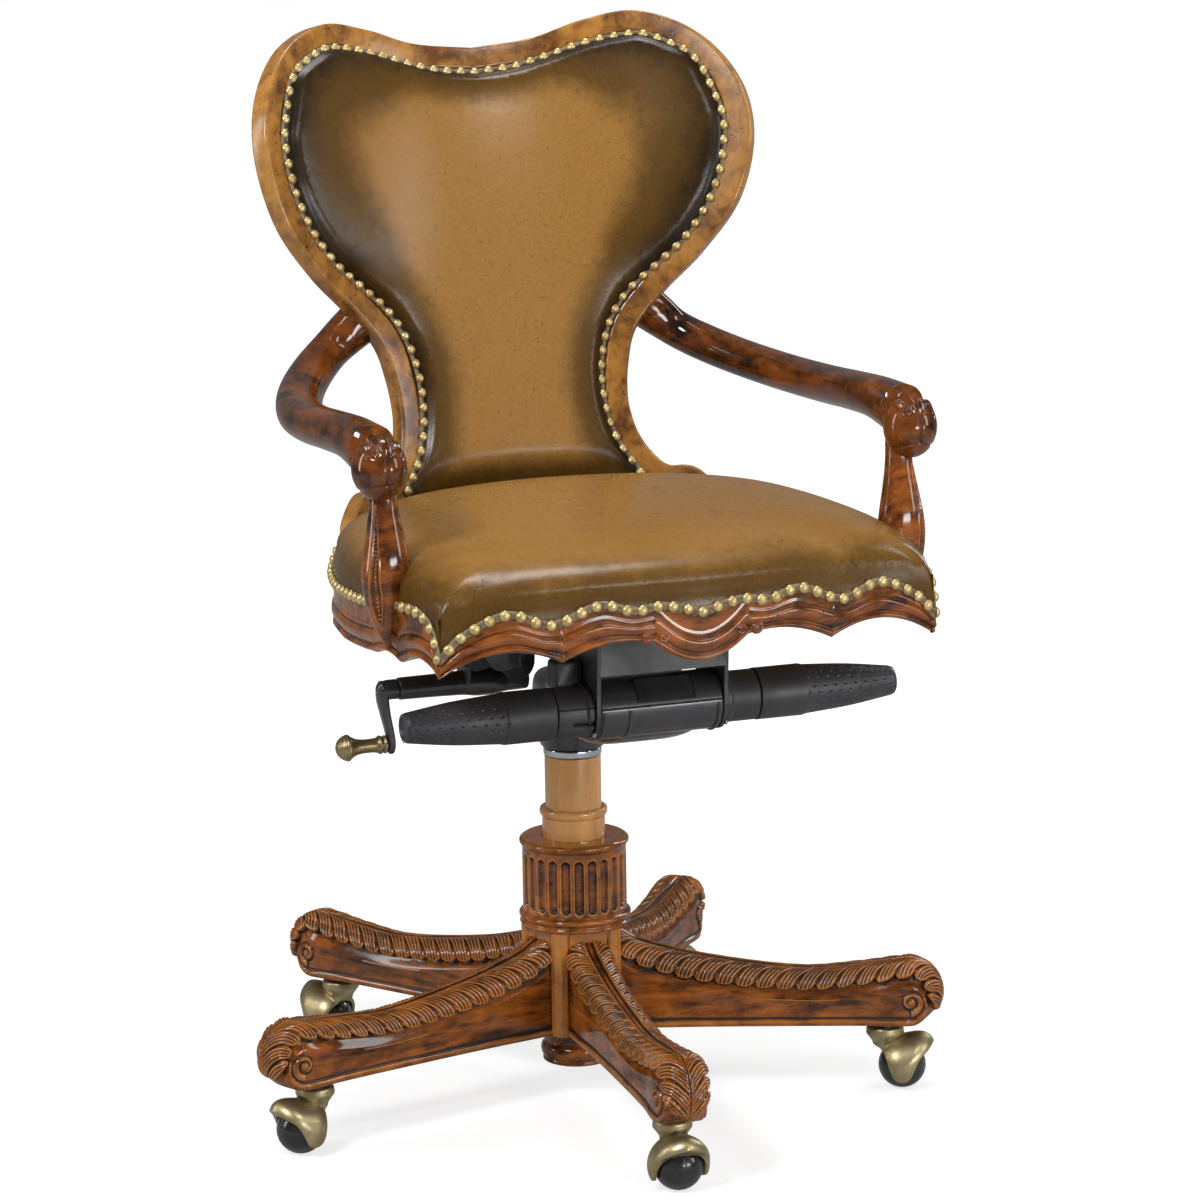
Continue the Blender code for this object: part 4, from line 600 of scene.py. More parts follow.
CARVED_WALNUT = wood_finish(
    "Carved walnut", sRGB(166, 92, 31), sRGB(36, 16, 5), sRGB(208, 140, 68), (9, 46, 46), gloss=0.13,
    wear_and_highlight=0.55, contrast=1.5,
)
FRAME_WALNUT = wood_finish(
    "Frame walnut", sRGB(160, 88, 31), sRGB(44, 20, 7), sRGB(204, 132, 62), (14, 46, 46), gloss=0.12,
    wear_and_highlight=0.45, contrast=1.4,
)
ARM_WALNUT = wood_finish(
    "Arm walnut", sRGB(126, 66, 21), sRGB(20, 9, 3), sRGB(176, 104, 40), (30, 10, 30), gloss=0.10,
    wear_and_highlight=0.12, contrast=1.6,
)
VENEER_WALNUT = wood_finish(
    "Veneer walnut", sRGB(182, 126, 54), sRGB(92, 52, 20), sRGB(212, 160, 90), (24, 24, 24), gloss=0.22, glazing_and_shade=0.8,
    wear_and_highlight=0.4, flecks=1.0, holes=0.8, contrast=1.5,
)
HONEY_WOOD = wood_finish(
    "Honey wood", sRGB(228, 166, 96), sRGB(176, 116, 58), sRGB(232, 180, 116), (50, 50, 9), gloss=0.24, glazing_and_shade=0.7,
    wear_and_highlight=0.2, flecks=0.25, holes=0.0, coat=0.3, glazing_and_shade_colour=(0.09, 0.05, 0.02, 1),
)
SEAT_LEATHER = leather_finish("Cushion leather", 0.9, (24.0, 7.0, 7.0))
BACK_LEATHER = leather_finish("Back leather", 0.15, (10.0, 9.0, 9.0))
ANTIQUE_BRASS = textured_finish(
    "Antique brass", sRGB(184, 170, 132), sRGB(154, 140, 104), patch=48.0, grain=520.0, smooth=0.32, rough=0.46,
    metallic=0.92, bump_strength=0.2, glazing_wear_and_painted_light=((0.06, 0.035, 0.015, 1), 0.9, sRGB(206, 192, 148), 0.35),
)
NAIL_BRASS = textured_finish(
    "Nail brass", sRGB(214, 192, 136), sRGB(176, 152, 98), patch=150.0, grain=800.0, smooth=0.36, rough=0.5,
    metallic=0.85, glazing_wear_and_painted_light=((0.06, 0.04, 0.018, 1), 0.8, sRGB(226, 206, 150), 0.4),
)
KNOB_BRASS = textured_finish(
    "Knob brass", sRGB(166, 150, 112), sRGB(128, 114, 82), patch=40.0, grain=600.0, smooth=0.30, rough=0.42,
    metallic=0.92, glazing_wear_and_painted_light=((0.05, 0.03, 0.012, 1), 0.9, sRGB(206, 188, 138), 0.35),
)
NAIL_BRAID = textured_finish(
    "Nail braid", sRGB(128, 112, 88), sRGB(84, 70, 52), patch=210.0, grain=1400.0, smooth=0.7, rough=0.9,
    bump_strength=0.5, bump_depth=0.0005, glazing_wear_and_painted_light=((0.02, 0.014, 0.008, 1), 1.0, sRGB(160, 146, 118), 0.4),
)
BLACK_PLASTIC = textured_finish(
    "Black moulded plastic", sRGB(54, 54, 57), sRGB(42, 42, 45), patch=30.0, grain=1500.0, smooth=0.38, rough=0.5,
    bump_strength=0.3,
)
BLACK_STEEL = textured_finish(
    "Black painted steel", sRGB(50, 51, 54), sRGB(38, 39, 42), patch=22.0, grain=380.0, smooth=0.24, rough=0.36,
    coat=0.4, bump_strength=0.12, bump_depth=0.0004,
)
BALL_RUBBER = textured_finish(
    "Ball rubber", sRGB(26, 26, 28), sRGB(38, 38, 40), patch=40.0, grain=900.0, smooth=0.18, rough=0.32, coat=0.3,
    bump_strength=0.05,
)
BUSH_RUBBER = textured_finish("Bush rubber", sRGB(30, 30, 30), sRGB(42, 42, 42), smooth=0.6, rough=0.8)
BARE_STEEL = textured_finish(
    "Bare steel", sRGB(176, 176, 180), sRGB(150, 150, 154), patch=80.0, grain=700.0, smooth=0.25, rough=0.4,
    metallic=1.0,
)
BRIGHT_CHROME = textured_finish(
    "Bright chrome", sRGB(176, 178, 184), sRGB(160, 162, 168), patch=30.0, grain=300.0, smooth=0.07, rough=0.12,
    metallic=1.0, bump_strength=0.02,
)
PLYWOOD = wood_finish(
    "Plywood", sRGB(204, 172, 122), sRGB(178, 142, 94), sRGB(210, 180, 132), (8, 40, 40), gloss=0.55, glazing_and_shade=0.0,
    holes=0.0,
)


# Camera, light and floor


def make_camera():
    data = bpy.data.cameras.new("Camera")
    camera = bpy.data.objects.new("Camera", data)
    bpy.context.scene.collection.objects.link(camera)
    turn, rise, roll = CAMERA_TURN, CAMERA_RISE, CAMERA_ROLL
    back = Vector((math.sin(turn) * math.cos(rise), -math.cos(turn) * math.cos(rise), math.sin(rise)))
    level = Vector((math.cos(turn), math.sin(turn), 0))
    upright = back.cross(level)
    across = level * math.cos(roll) + upright * math.sin(roll)
    upward = upright * math.cos(roll) - level * math.sin(roll)
    place = level * CAMERA_AIM_ACROSS + Vector((0, 0, CAMERA_AIM_HEIGHT)) + back * CAMERA_DISTANCE
    place += Vector(COLUMN_PLACE)
    columns = (across, upward, back, place)
    camera.matrix_world = Matrix([[column[i] for column in columns] for i in range(3)] + [[0, 0, 0, 1]])
    data.sensor_width = SENSOR_WIDTH
    data.lens = CAMERA_LENS
    data.clip_start = 0.05
    data.clip_end = 60
    bpy.context.scene.camera = camera


def area_light(name, place, aim, width, height, watts):
    data = bpy.data.lights.new(name, "AREA")
    data.shape = "RECTANGLE"
    data.size, data.size_y = width, height
    data.energy = watts
    lamp = bpy.data.objects.new(name, data)
    bpy.context.scene.collection.objects.link(lamp)
    lamp.location = place
    lamp.rotation_euler = (Vector(aim) - Vector(place)).to_track_quat("-Z", "Y").to_euler()


ROOM_LIGHT = 0.07


def seen_directly(tree, reflected):
    """1 where the camera or clear material looks straight at a surface, and this share of it in a reflection."""
    path = tree.nodes.new("ShaderNodeLightPath").outputs
    seen = calculate(tree, "MAXIMUM", path["Is Camera Ray"], path["Is Transmission Ray"])
    return calculate(tree, "MAXIMUM", seen, calculate(tree, "MULTIPLY", path["Is Glossy Ray"], reflected))


def make_world():
    world = bpy.data.worlds.new("Studio")
    bpy.context.scene.world = world
    world.use_nodes = True
    tree = world.node_tree
    background = tree.nodes["Background"]
    background.inputs["Color"].default_value = (1, 1, 1, 1)
    feed(tree, background.inputs["Strength"], seen_directly(tree, 0.12) * (1 - ROOM_LIGHT) + ROOM_LIGHT)


def make_floor():
    """A pale floor that looks white where it is lit and keeps the chair's shadow."""
    mesh = bpy.data.meshes.new("Floor")
    mesh.from_pydata([(-14, -14, 0), (14, -14, 0), (14, 14, 0), (-14, 14, 0)], [], [(0, 1, 2, 3)])
    floor = bpy.data.objects.new("Floor", mesh)
    bpy.context.scene.collection.objects.link(floor)
    material = bpy.data.materials.new("Pale floor")
    material.use_nodes = True
    tree = material.node_tree
    tree.nodes.clear()
    paint = tree.nodes.new("ShaderNodeBsdfDiffuse")
    paint.inputs["Color"].default_value = (0.45, 0.45, 0.453, 1)
    glow = tree.nodes.new("ShaderNodeEmission")
    glow.inputs["Color"].default_value = (1, 1, 1, 1)
    away = new_node(tree, "VectorMath", {0: object_place(tree)}, "Value", operation="LENGTH")
    feed(tree, glow.inputs["Strength"], seen_directly(tree, 0.14) * spread(tree, away, 0.45, 1.9, 0.72, 1.0))
    both = tree.nodes.new("ShaderNodeAddShader")
    out = tree.nodes.new("ShaderNodeOutputMaterial")
    tree.links.new(paint.outputs[0], both.inputs[0])
    tree.links.new(glow.outputs[0], both.inputs[1])
    tree.links.new(both.outputs[0], out.inputs["Surface"])
    mesh.materials.append(material)


def make_studio():
    scene = bpy.context.scene
    scene.view_settings.view_transform = "Standard"
    make_world()
    make_floor()
    area_light("Key softbox", (-2.4, -1.7, 2.9), (0, 0, 0.55), 0.8, 0.8, 76)
    area_light("Fill softbox", (2.6, -1.9, 1.5), (0, 0, 0.5), 0.6, 1.5, 18)
    area_light("Front softbox", (0.9, -2.6, 3.1), (0, 0, 0.6), 1.3, 0.5, 24)
    area_light("Top softbox", (0.3, 0.4, 3.2), (0, 0, 0.4), 0.9, 0.9, 30)
    area_light("Left strip", (-2.4, 0.5, 1.3), (0, 0, 0.7), 0.30, 1.8, 15)
    area_light("Right strip", (2.2, 0.9, 1.5), (0, 0, 0.8), 0.35, 1.6, 14)
    area_light("Low front strip", (0.9, -2.9, 0.62), (0, 0, 0.5), 1.6, 0.35, 30)


# Base: five carved legs. A key's first number is the reach from the column's axis or the distance along the top.

LEG_START = 0.0463
LEG_UNDERSIDE = 0.0718
LEG_TIP_PLACE = (0.3505, 0.1053)
LEG_TIP_RADIUS = 0.0335
LEG_TOP_KEYS = [
    (0.046, 0.1725), (0.068, 0.161), (0.131, 0.1445), (0.236, 0.130), (0.300, 0.1335), (0.3505, 0.1388),
]
LEG_HALF_WIDTH_KEYS = [
    (0.046, 0.0245), (0.120, 0.022), (0.200, 0.022), (0.300, 0.024), (0.345, 0.0275), (0.3835, 0.021),
]
COVE_DEPTH, COVE_WIDTH = 0.0048, 0.0135
LEG_STEPS, LEG_TIP_STEPS = 460, 140
SPINE_ROWS, LEAF_ROWS, SIDE_ROWS = 4, 40, 22
LEAF_LIFT = 0.0036
LEAF_BAND, LEAF_DROP = 0.0270, 0.0170
LEAF_PITCH, LEAF_SWEEP, LEAF_RIBS, LOBE_MIDDLE = 0.0212, 0.0240, 4, 0.36
SPINE_KEYS = [(0.0, 0.0052), (0.20, 0.0046), (0.265, 0.0040), (0.318, 0.0016), (0.345, 0.0011), (0.6, 0.0011)]
UNDER_EDGE_RADIUS = 0.0035
UNDER_FLAT = 0.62
BEAD_HEIGHT = 0.0095
SCROLL_PLACE = (0.3510, 0.0988)
SCROLL_START_RADIUS = SCROLL_PLACE[1] - LEG_UNDERSIDE - BEAD_HEIGHT
SCROLL_TIGHTNESS = 0.140


def leg_path():
    """The line along a leg's top, round its tip and back below: places as (reach, height), directions into the leg,
    depths to the middle, distances along, and the angle of each section (90 degrees on top, -90 below)."""
    tip_x, tip_z = LEG_TIP_PLACE
    reach = np.linspace(LEG_START, tip_x, LEG_STEPS)
    top = key_value(LEG_TOP_KEYS, reach)
    top[-1] = tip_z + LEG_TIP_RADIUS
    fan = np.linspace(math.pi / 2, -math.pi / 2, LEG_TIP_STEPS)[1:-1]
    arm = np.stack([np.cos(fan), np.sin(fan)], axis=-1)
    flat = np.full(LEG_STEPS, LEG_UNDERSIDE)
    places = np.vstack([np.stack([reach, top], -1), np.array(LEG_TIP_PLACE) + LEG_TIP_RADIUS * arm,
                        np.stack([reach[::-1], flat], -1)])
    inward = np.vstack([np.tile((0.0, -1.0), (LEG_STEPS, 1)), -arm, np.tile((0.0, 1.0), (LEG_STEPS, 1))])
    middle = (top - LEG_UNDERSIDE) / 2
    depths = np.concatenate([middle, np.full(len(fan), LEG_TIP_RADIUS), middle[::-1]])
    angles = np.concatenate([np.full(LEG_STEPS, math.pi / 2), fan, np.full(LEG_STEPS, -math.pi / 2)])
    return places, inward, depths, distances(places), angles


def leg_base():
    """Half a leg without its carving, as a sheet from its centre line to the middle of its side."""
    places, inward, depths, along, angles = leg_path()
    spine = key_value(SPINE_KEYS, along)[:, None]
    share = smooth_step(-math.pi / 2, -0.25, angles)[:, None]
    in_spine = np.linspace(0, 1, SPINE_ROWS, endpoint=False)
    turn = np.linspace(0, math.pi / 2, LEAF_ROWS, endpoint=False)
    reach_out = np.concatenate([np.zeros(SPINE_ROWS), np.sin(turn), np.ones(SIDE_ROWS + 1)])
    drop = np.concatenate([np.zeros(SPINE_ROWS), LEAF_DROP * (1 - np.cos(turn)) ** 0.9])
    part = np.linspace(0, 1, SIDE_ROWS + 1)
    upper = np.concatenate([np.tile(drop, (len(along), 1)), LEAF_DROP + (depths[:, None] - LEAF_DROP) * part], axis=1)
    ahead = np.linspace(0, 1, LEAF_ROWS, endpoint=False)
    curl = np.clip((ahead - UNDER_FLAT) / (1 - UNDER_FLAT), 0, 1) * math.pi / 2
    lower_drop = np.concatenate([np.zeros(SPINE_ROWS), UNDER_EDGE_RADIUS * (1 - np.cos(curl))])
    lower = np.concatenate([np.tile(lower_drop, (len(along), 1)),
                            UNDER_EDGE_RADIUS + (depths[:, None] - UNDER_EDGE_RADIUS) * part], axis=1)
    depth = upper * share + lower * (1 - share)
    points = places[:, None] + inward[:, None] * depth[..., None]
    body = key_value(LEG_HALF_WIDTH_KEYS, points[..., 0]) - LEAF_LIFT
    flat = np.clip(ahead / UNDER_FLAT, 0, 1)
    straight = spine + (body[:, SPINE_ROWS:-SIDE_ROWS - 1] - UNDER_EDGE_RADIUS - spine) * flat
    straight = straight + UNDER_EDGE_RADIUS * np.sin(curl)
    out_upper = spine + (body - spine) * reach_out
    out_lower = out_upper.copy()
    out_lower[:, SPINE_ROWS:-SIDE_ROWS - 1] = straight
    outward = out_upper * share + out_lower * (1 - share)
    outward[:, :SPINE_ROWS] = spine * in_spine
    sheet = np.stack([points[..., 0], outward, points[..., 1]], axis=-1)
    return sheet, along, angles, spine


def sheet_normals(sheet):
    normals = np.cross(np.gradient(sheet, axis=0), np.gradient(sheet, axis=1))
    size = np.linalg.norm(normals, axis=-1, keepdims=True)
    return np.where(size > 1e-12, normals / np.maximum(size, 1e-12), (0.0, 1.0, 0.0))


def leaf_relief(along, across, band):
    """Overlapping leaves with curved ribs, each bulging and rounded at its free end towards the hub."""
    share = np.clip(across / LEAF_BAND, 0.0, 1.0)
    place = (along + LEAF_SWEEP * (1 - (1 - share) ** 1.8)) / LEAF_PITCH
    number = np.floor(place)
    leaf = place - number
    beside = np.where(leaf < LOBE_MIDDLE, (LOBE_MIDDLE - leaf) / LOBE_MIDDLE, (leaf - LOBE_MIDDLE) / (1 - LOBE_MIDDLE))
    lobe = np.sqrt(np.clip(1 - beside**2.4, 0, 1))
    rib_place = (leaf - 0.5) * (1 + 0.35 * share) * LEAF_RIBS
    rib = rib_place - np.floor(rib_place)
    variety = 0.07 * np.sin(number * 12.9898)
    end = band * (0.66 + variety + 0.30 * lobe)
    tail = smooth_step(0.05, 0.5, share)
    ridge = np.abs(np.sin(np.pi * rib)) ** 0.7
    gap = np.exp(-((np.minimum(leaf, 1 - leaf) / 0.06) ** 2))
    layer = LEAF_LIFT * 0.50 + 0.0016 * np.sin(np.pi * leaf) ** 0.7 * tail + 0.0009 * (1 - leaf) * tail
    layer = layer + (0.0014 + 0.0006 * tail) * ridge - 0.0022 * gap * (0.3 + 0.7 * tail)
    return layer * smooth_step(end + 0.0009, end - 0.0008, across)


def side_relief(reach, height):
    """The bead along a leg's lower edge and the scroll that it curls into, as height over the side panel."""
    over = height - LEG_UNDERSIDE
    bead = 0.0024 * bump(over - 0.0040, 0.0046) - 0.0009 * soft_bump(over - BEAD_HEIGHT, 0.0009)
    away_x, away_z = reach - SCROLL_PLACE[0], height - SCROLL_PLACE[1]
    radius = np.maximum(np.hypot(away_x, away_z), 1e-4)
    angle = np.mod(np.arctan2(away_z, away_x) + math.pi / 2, math.tau)
    turns = (np.log(SCROLL_START_RADIUS / radius) / SCROLL_TIGHTNESS - angle) / math.tau
    part = turns - np.floor(turns)
    width = radius * (1 - math.exp(-SCROLL_TIGHTNESS * math.tau))
    groove = np.exp(-((np.minimum(part, 1 - part) * width / 0.0008) ** 2))
    coil = 0.0006 + 0.0026 * np.sin(np.pi * part) ** 0.6 - 0.0012 * groove
    eye = 0.0014 + 0.0026 * bump(radius, 0.0046)
    coil = np.where(radius < 0.0046, eye, coil)
    rim = LEG_TIP_RADIUS - np.hypot(reach - LEG_TIP_PLACE[0], height - LEG_TIP_PLACE[1])
    margin = 0.0020 * smooth_step(0.0, 0.006, rim) * smooth_step(3.3, 2.2, angle)
    margin = margin - 0.0012 * np.exp(-((turns * width / 0.0009) ** 2)) * smooth_step(math.tau, 5.6, angle)
    past = smooth_step(-0.006, 0.010, away_x)
    low = bead * (1 - past) + margin * past
    outside = np.where((away_x > 0) | (angle < math.pi), margin, bead)
    outside = np.where(away_z < 0, low, outside)
    return np.where(turns > 0, coil, outside)


def make_leg_mesh():
    base, along, angles, spine = leg_base()
    normals = sheet_normals(base)
    steps = np.linalg.norm(np.diff(base, axis=1), axis=2)
    across = np.concatenate([np.zeros((len(along), 1)), np.cumsum(steps, axis=1)], axis=1) - spine
    droop = np.clip((math.radians(22) - angles) / math.radians(62), 0, 1)[:, None]
    band = LEAF_BAND * np.sqrt(1 - droop**2)
    carved = smooth_step(math.radians(-40), math.radians(-28), angles)[:, None]
    leaf = leaf_relief(along[:, None], np.maximum(across, 0), band) * (band > 0.001)
    ridge = 0.0020 * soft_bump(across - 0.0002, 0.0010) - 0.0006 * soft_bump(across + 0.0018, 0.0012)
    strip = (LEAF_LIFT * 0.30 + ridge) * carved
    lift = np.where(across < 0.0008, strip, leaf * carved)
    on_side = smooth_step(0.75, 0.97, normals[..., 1])
    cove = COVE_DEPTH * smooth_step(COVE_WIDTH, 0.0, across - 0.92 * band) * carved * smooth_step(0.008, 0.016, across)
    side = side_relief(base[..., 0], base[..., 2]) * on_side - cove * smooth_step(0.55, 0.85, normals[..., 1])
    lift = np.where(lift > 0.0004, np.maximum(lift, side), side + lift)
    sheet = base + normals * lift[..., None]
    sheet[:, 0, 1] = 0.0
    mesh = new_mesh("carved_leg", [grid(sheet), grid(sheet * np.array((1.0, -1.0, 1.0)))], weld=3e-5)
    mark_hollows(mesh, 0.0006, 7)
    return mesh


def leg_angle(number):
    return FIRST_LEG_ANGLE + math.tau * (number - 1) / LEG_COUNT


def make_legs():
    mesh = make_leg_mesh()
    for number in range(1, LEG_COUNT + 1):
        name = "leg_%d" % number
        place_piece("carved_" + name, mesh, "base", CARVED_WALNUT, [name], turn=leg_angle(number))


# Base: hub and foot

HUB_SECTION_STEPS = 720
DRUM_BOTTOM, DRUM_TOP, DRUM_RADIUS = 0.2005, 0.2655, 0.0545
HUB_TOP, HUB_RIM = 0.279, 0.0575
FLUTE_COUNT, FLUTE_DEPTH = 24, 0.0046
CORE_TOP, CORE_APOTHEM = 0.1845, 0.046
HUB_BORE, FOOT_TOP = 0.0312, 0.0722


def flute_wave(angle, height):
    """Hollow flutes with rounded ends between flat fillets."""
    share = np.mod(angle * FLUTE_COUNT / math.tau + 0.5, 1.0) - 0.5
    across = share * math.tau * DRUM_RADIUS / FLUTE_COUNT
    half = 0.0050
    low, high = DRUM_BOTTOM + 0.0040 + half, DRUM_TOP - 0.0030 - half
    beyond = np.maximum(np.maximum(low - height, height - high), 0.0)
    return -FLUTE_DEPTH * bump(np.hypot(across, beyond), half) ** 0.9


def make_hub():
    rim = rounded_profile(
        [(0.0330, HUB_TOP - 0.006), (0.0335, HUB_TOP), (HUB_RIM - 0.004, HUB_TOP), (HUB_RIM, HUB_TOP - 0.003),
         (HUB_RIM, HUB_TOP - 0.0065), (HUB_RIM - 0.0030, HUB_TOP - 0.0095), (HUB_RIM - 0.0030, DRUM_TOP + 0.0022),
         (DRUM_RADIUS, DRUM_TOP + 0.0004), (DRUM_RADIUS, DRUM_TOP - 0.001)], 0.0016, 6)
    drum = np.column_stack([np.full(90, DRUM_RADIUS), np.linspace(DRUM_TOP - 0.001, DRUM_BOTTOM + 0.001, 90)])
    foot = rounded_profile(
        [(DRUM_RADIUS, DRUM_BOTTOM + 0.001), (DRUM_RADIUS, DRUM_BOTTOM - 0.0002),
         (HUB_RIM - 0.0015, DRUM_BOTTOM - 0.0008), (HUB_RIM + 0.0012, DRUM_BOTTOM - 0.0030),
         (HUB_RIM + 0.0012, DRUM_BOTTOM - 0.0062),
         (HUB_RIM - 0.0012, DRUM_BOTTOM - 0.0082), (HUB_RIM - 0.0012, DRUM_BOTTOM - 0.0100),
         (HUB_RIM + 0.0005, DRUM_BOTTOM - 0.0118), (HUB_RIM + 0.0005, DRUM_BOTTOM - 0.0140),
         (HUB_RIM - 0.0030, CORE_TOP), (0.040, CORE_TOP - 0.002)], 0.0014, 6)
    bore = [(HUB_BORE, CORE_TOP - 0.002), (HUB_BORE, HUB_TOP - 0.006), rim[0]]
    profile = np.vstack([rim, drum[1:-1], foot, bore])
    drum = turned_sheet(profile, HUB_SECTION_STEPS, wave=flute_wave)
    add_piece("fluted_drum", [drum], "base", CARVED_WALNUT, ["fluted_hub"], (0.0010, 22))


def make_core():
    """The five-sided core: a rounded strip stands between each two legs."""
    angles = ring_of_angles(400)
    offset = np.mod(angles - FIRST_LEG_ANGLE + math.pi / LEG_COUNT, math.tau / LEG_COUNT) - math.pi / LEG_COUNT
    flat = CORE_APOTHEM / np.cos(offset)
    corner = np.abs(np.abs(offset) - math.pi / LEG_COUNT) * 0.054
    strip = 0.0022 * smooth_step(0.0105, 0.0088, corner) - 0.0014 * soft_bump(corner - 0.0108, 0.0014)
    radius = np.minimum(flat, DRUM_RADIUS) + strip
    rings = []
    for height, shrink in ((CORE_TOP + 0.002, 0.004), (CORE_TOP, 0), (CORE_TOP - 0.004, 0), (0.130, 0), (0.080, 0),
                           (0.0735, 0.0005), (FOOT_TOP, 0.002)):
        rings.append(level_ring(radius - shrink, height, angles))
    rings += [level_ring(HUB_BORE, height, angles) for height in (FOOT_TOP, CORE_TOP + 0.002)]
    core = grid(np.array(rings + rings[:1]), closed=True)
    add_piece("hub_core", [core], "base", CARVED_WALNUT, hollows=(0.0008, 4), sharp=50)


def make_foot():
    profile = rounded_profile(
        [(0.0005, FOOT_TOP), (0.0375, FOOT_TOP), (0.0362, 0.0680), (0.0338, 0.0615), (0.0345, 0.0560), (0.0372, 0.0535),
         (0.0384, 0.0485), (0.0372, 0.0430), (0.0350, 0.0408), (0.0362, 0.0385), (0.0362, 0.0362), (0.0335, 0.0350),
         (0.0005, 0.0350)], 0.0022, 6)
    foot = turned_sheet(profile, 160)
    add_piece("turned_foot", [foot], "base", CARVED_WALNUT, ["hub_foot"], (0.0012, 5))


# Seat: plan, nail line and rails

SEAT_CORNER_X, SEAT_CORNER_Y = 0.258, -0.340
SEAT_FRONT_BOW = 0.029
SIDE_END_Y, REAR_HALF_WIDTH = 0.090, 0.196
DECK_TOP = 0.597
SIDE_PLAN_KEYS = [
    (-0.340, 0.258), (-0.280, 0.266), (-0.200, 0.274), (-0.110, 0.274), (-0.040, 0.266), (0.030, 0.243),
    (0.090, 0.196),
]
FRONT_NAIL_KEYS = [
    (0.0, 0.588), (0.041, 0.597), (0.070, 0.594), (0.103, 0.602), (0.151, 0.586), (0.193, 0.598), (0.238, 0.578),
    (0.258, 0.557),
]
SIDE_NAIL_KEYS = [
    (-0.340, 0.557), (-0.333, 0.577), (-0.318, 0.591), (-0.284, 0.597), (-0.131, 0.582), (0.010, 0.582),
    (0.065, 0.605), (0.090, 0.605),
]
FRONT_CUSPS = [(-0.0488, 0.5605), (0.0488, 0.5605), (0.1403, 0.5475), (0.258, 0.538)]
FRONT_ARCHES = [-0.0215, 0.0085, 0.0175]
SIDE_CUSPS = [
    (-0.340, 0.538), (-0.253, 0.5385), (-0.190, 0.5365), (-0.089, 0.529), (0.0, 0.5245), (0.090, 0.530),
]
SIDE_ARCHES = [0.0115, 0.0055, -0.001, 0.003, 0.006]
RAIL_THICKNESS = 0.022
SMALL_SCROLL_RADIUS = 0.0068
CUSHION_CROWN = 0.653
CUSHION_BULGE = 0.0065

# Back: outline and lean
BACK_DEPTH, BACK_LEAN, BACK_CURVE, BACK_REFERENCE = 0.2034, 0.2693, 1.476, 0.8
BACK_THICKNESS = 0.020
BACK_OUTLINE = [
    (0.0, 1.078), (0.065, 1.0855), (0.120, 1.1035), (0.175, 1.113), (0.227, 1.092), (0.260, 1.045), (0.267, 0.986),
    (0.249, 0.918), (0.211, 0.862), (0.1735, 0.822), (0.142, 0.783), (0.1305, 0.745),
    (0.1268, 0.713), (0.1285, 0.692), (0.1325, 0.6755), (0.1385, 0.6625), (0.1450, 0.6530), (0.1530, 0.6435),
    (0.1616, 0.6390), (0.1720, 0.6397), (0.1826, 0.6384), (0.1910, 0.6320), (0.1985, 0.6220), (0.2050, 0.6100),
    (0.2072, 0.5973),
]
BACK_NAIL_LINE = [
    (0.0, 1.051), (0.042, 1.055), (0.083, 1.066), (0.124, 1.079), (0.165, 1.087), (0.183, 1.086), (0.202, 1.078),
    (0.218, 1.069), (0.228, 1.056), (0.236, 1.034), (0.243, 1.010), (0.244, 0.993), (0.242, 0.975), (0.236, 0.947),
    (0.221, 0.911), (0.196, 0.875), (0.167, 0.848), (0.135, 0.819), (0.1135, 0.786), (0.102, 0.745), (0.1015, 0.705),
    (0.110, 0.667), (0.131, 0.631),
]
FRAME_BOTTOM = 0.5975
FOOT_FILL = [(0.112, 0.664), (0.128, 0.664), (0.150, 0.640), (0.162, 0.6345), (0.182, 0.6340), (0.190, 0.6260)]
NAIL_PITCH, NAIL_RADIUS, NAIL_HEIGHT = 0.0155, 0.0056, 0.0042
BRAID_WIDTH, BRAID_THICKNESS, BRAID_STEP, BRAID_RIB = 0.0078, 0.0012, 0.0006, 0.0019
SEAT_NAILS_END, BACK_NAILS_END = 0.075, 0.624


def front_plan(x):
    return SEAT_CORNER_Y - SEAT_FRONT_BOW * (1 - (np.asarray(x, float) / SEAT_CORNER_X) ** 2)


def side_plan(y):
    return key_value(SIDE_PLAN_KEYS, y)


def back_front(x, z):
    return BACK_DEPTH + BACK_LEAN * (z - BACK_REFERENCE) - BACK_CURVE * np.asarray(x) ** 2


def back_normal(x):
    x = np.asarray(x, float)
    return unit(np.stack([2 * BACK_CURVE * x, np.ones_like(x), np.full_like(x, -BACK_LEAN)], axis=-1))


def on_back(x, z, depth):
    """A point of the back's plane laid on its curved face, then moved behind it."""
    x, z, depth = np.broadcast_arrays(np.asarray(x, float), np.asarray(z, float), np.asarray(depth, float))
    base = np.stack([x, back_front(x, z), z], axis=-1)
    return base + back_normal(x) * depth[..., None]


def scallops(cusps, arches, at):
    """The height of an edge whose cusps are joined by arches that rise or hang."""
    places = np.array([cusp[0] for cusp in cusps])
    heights = np.array([cusp[1] for cusp in cusps])
    at = np.asarray(at, float)
    span = np.clip(np.searchsorted(places, at, side="right") - 1, 0, len(arches) - 1)
    t = np.clip((at - places[span]) / (places[span + 1] - places[span]), 0, 1)
    return heights[span] + (heights[span + 1] - heights[span]) * t + np.array(arches)[span] * 4 * t * (1 - t)


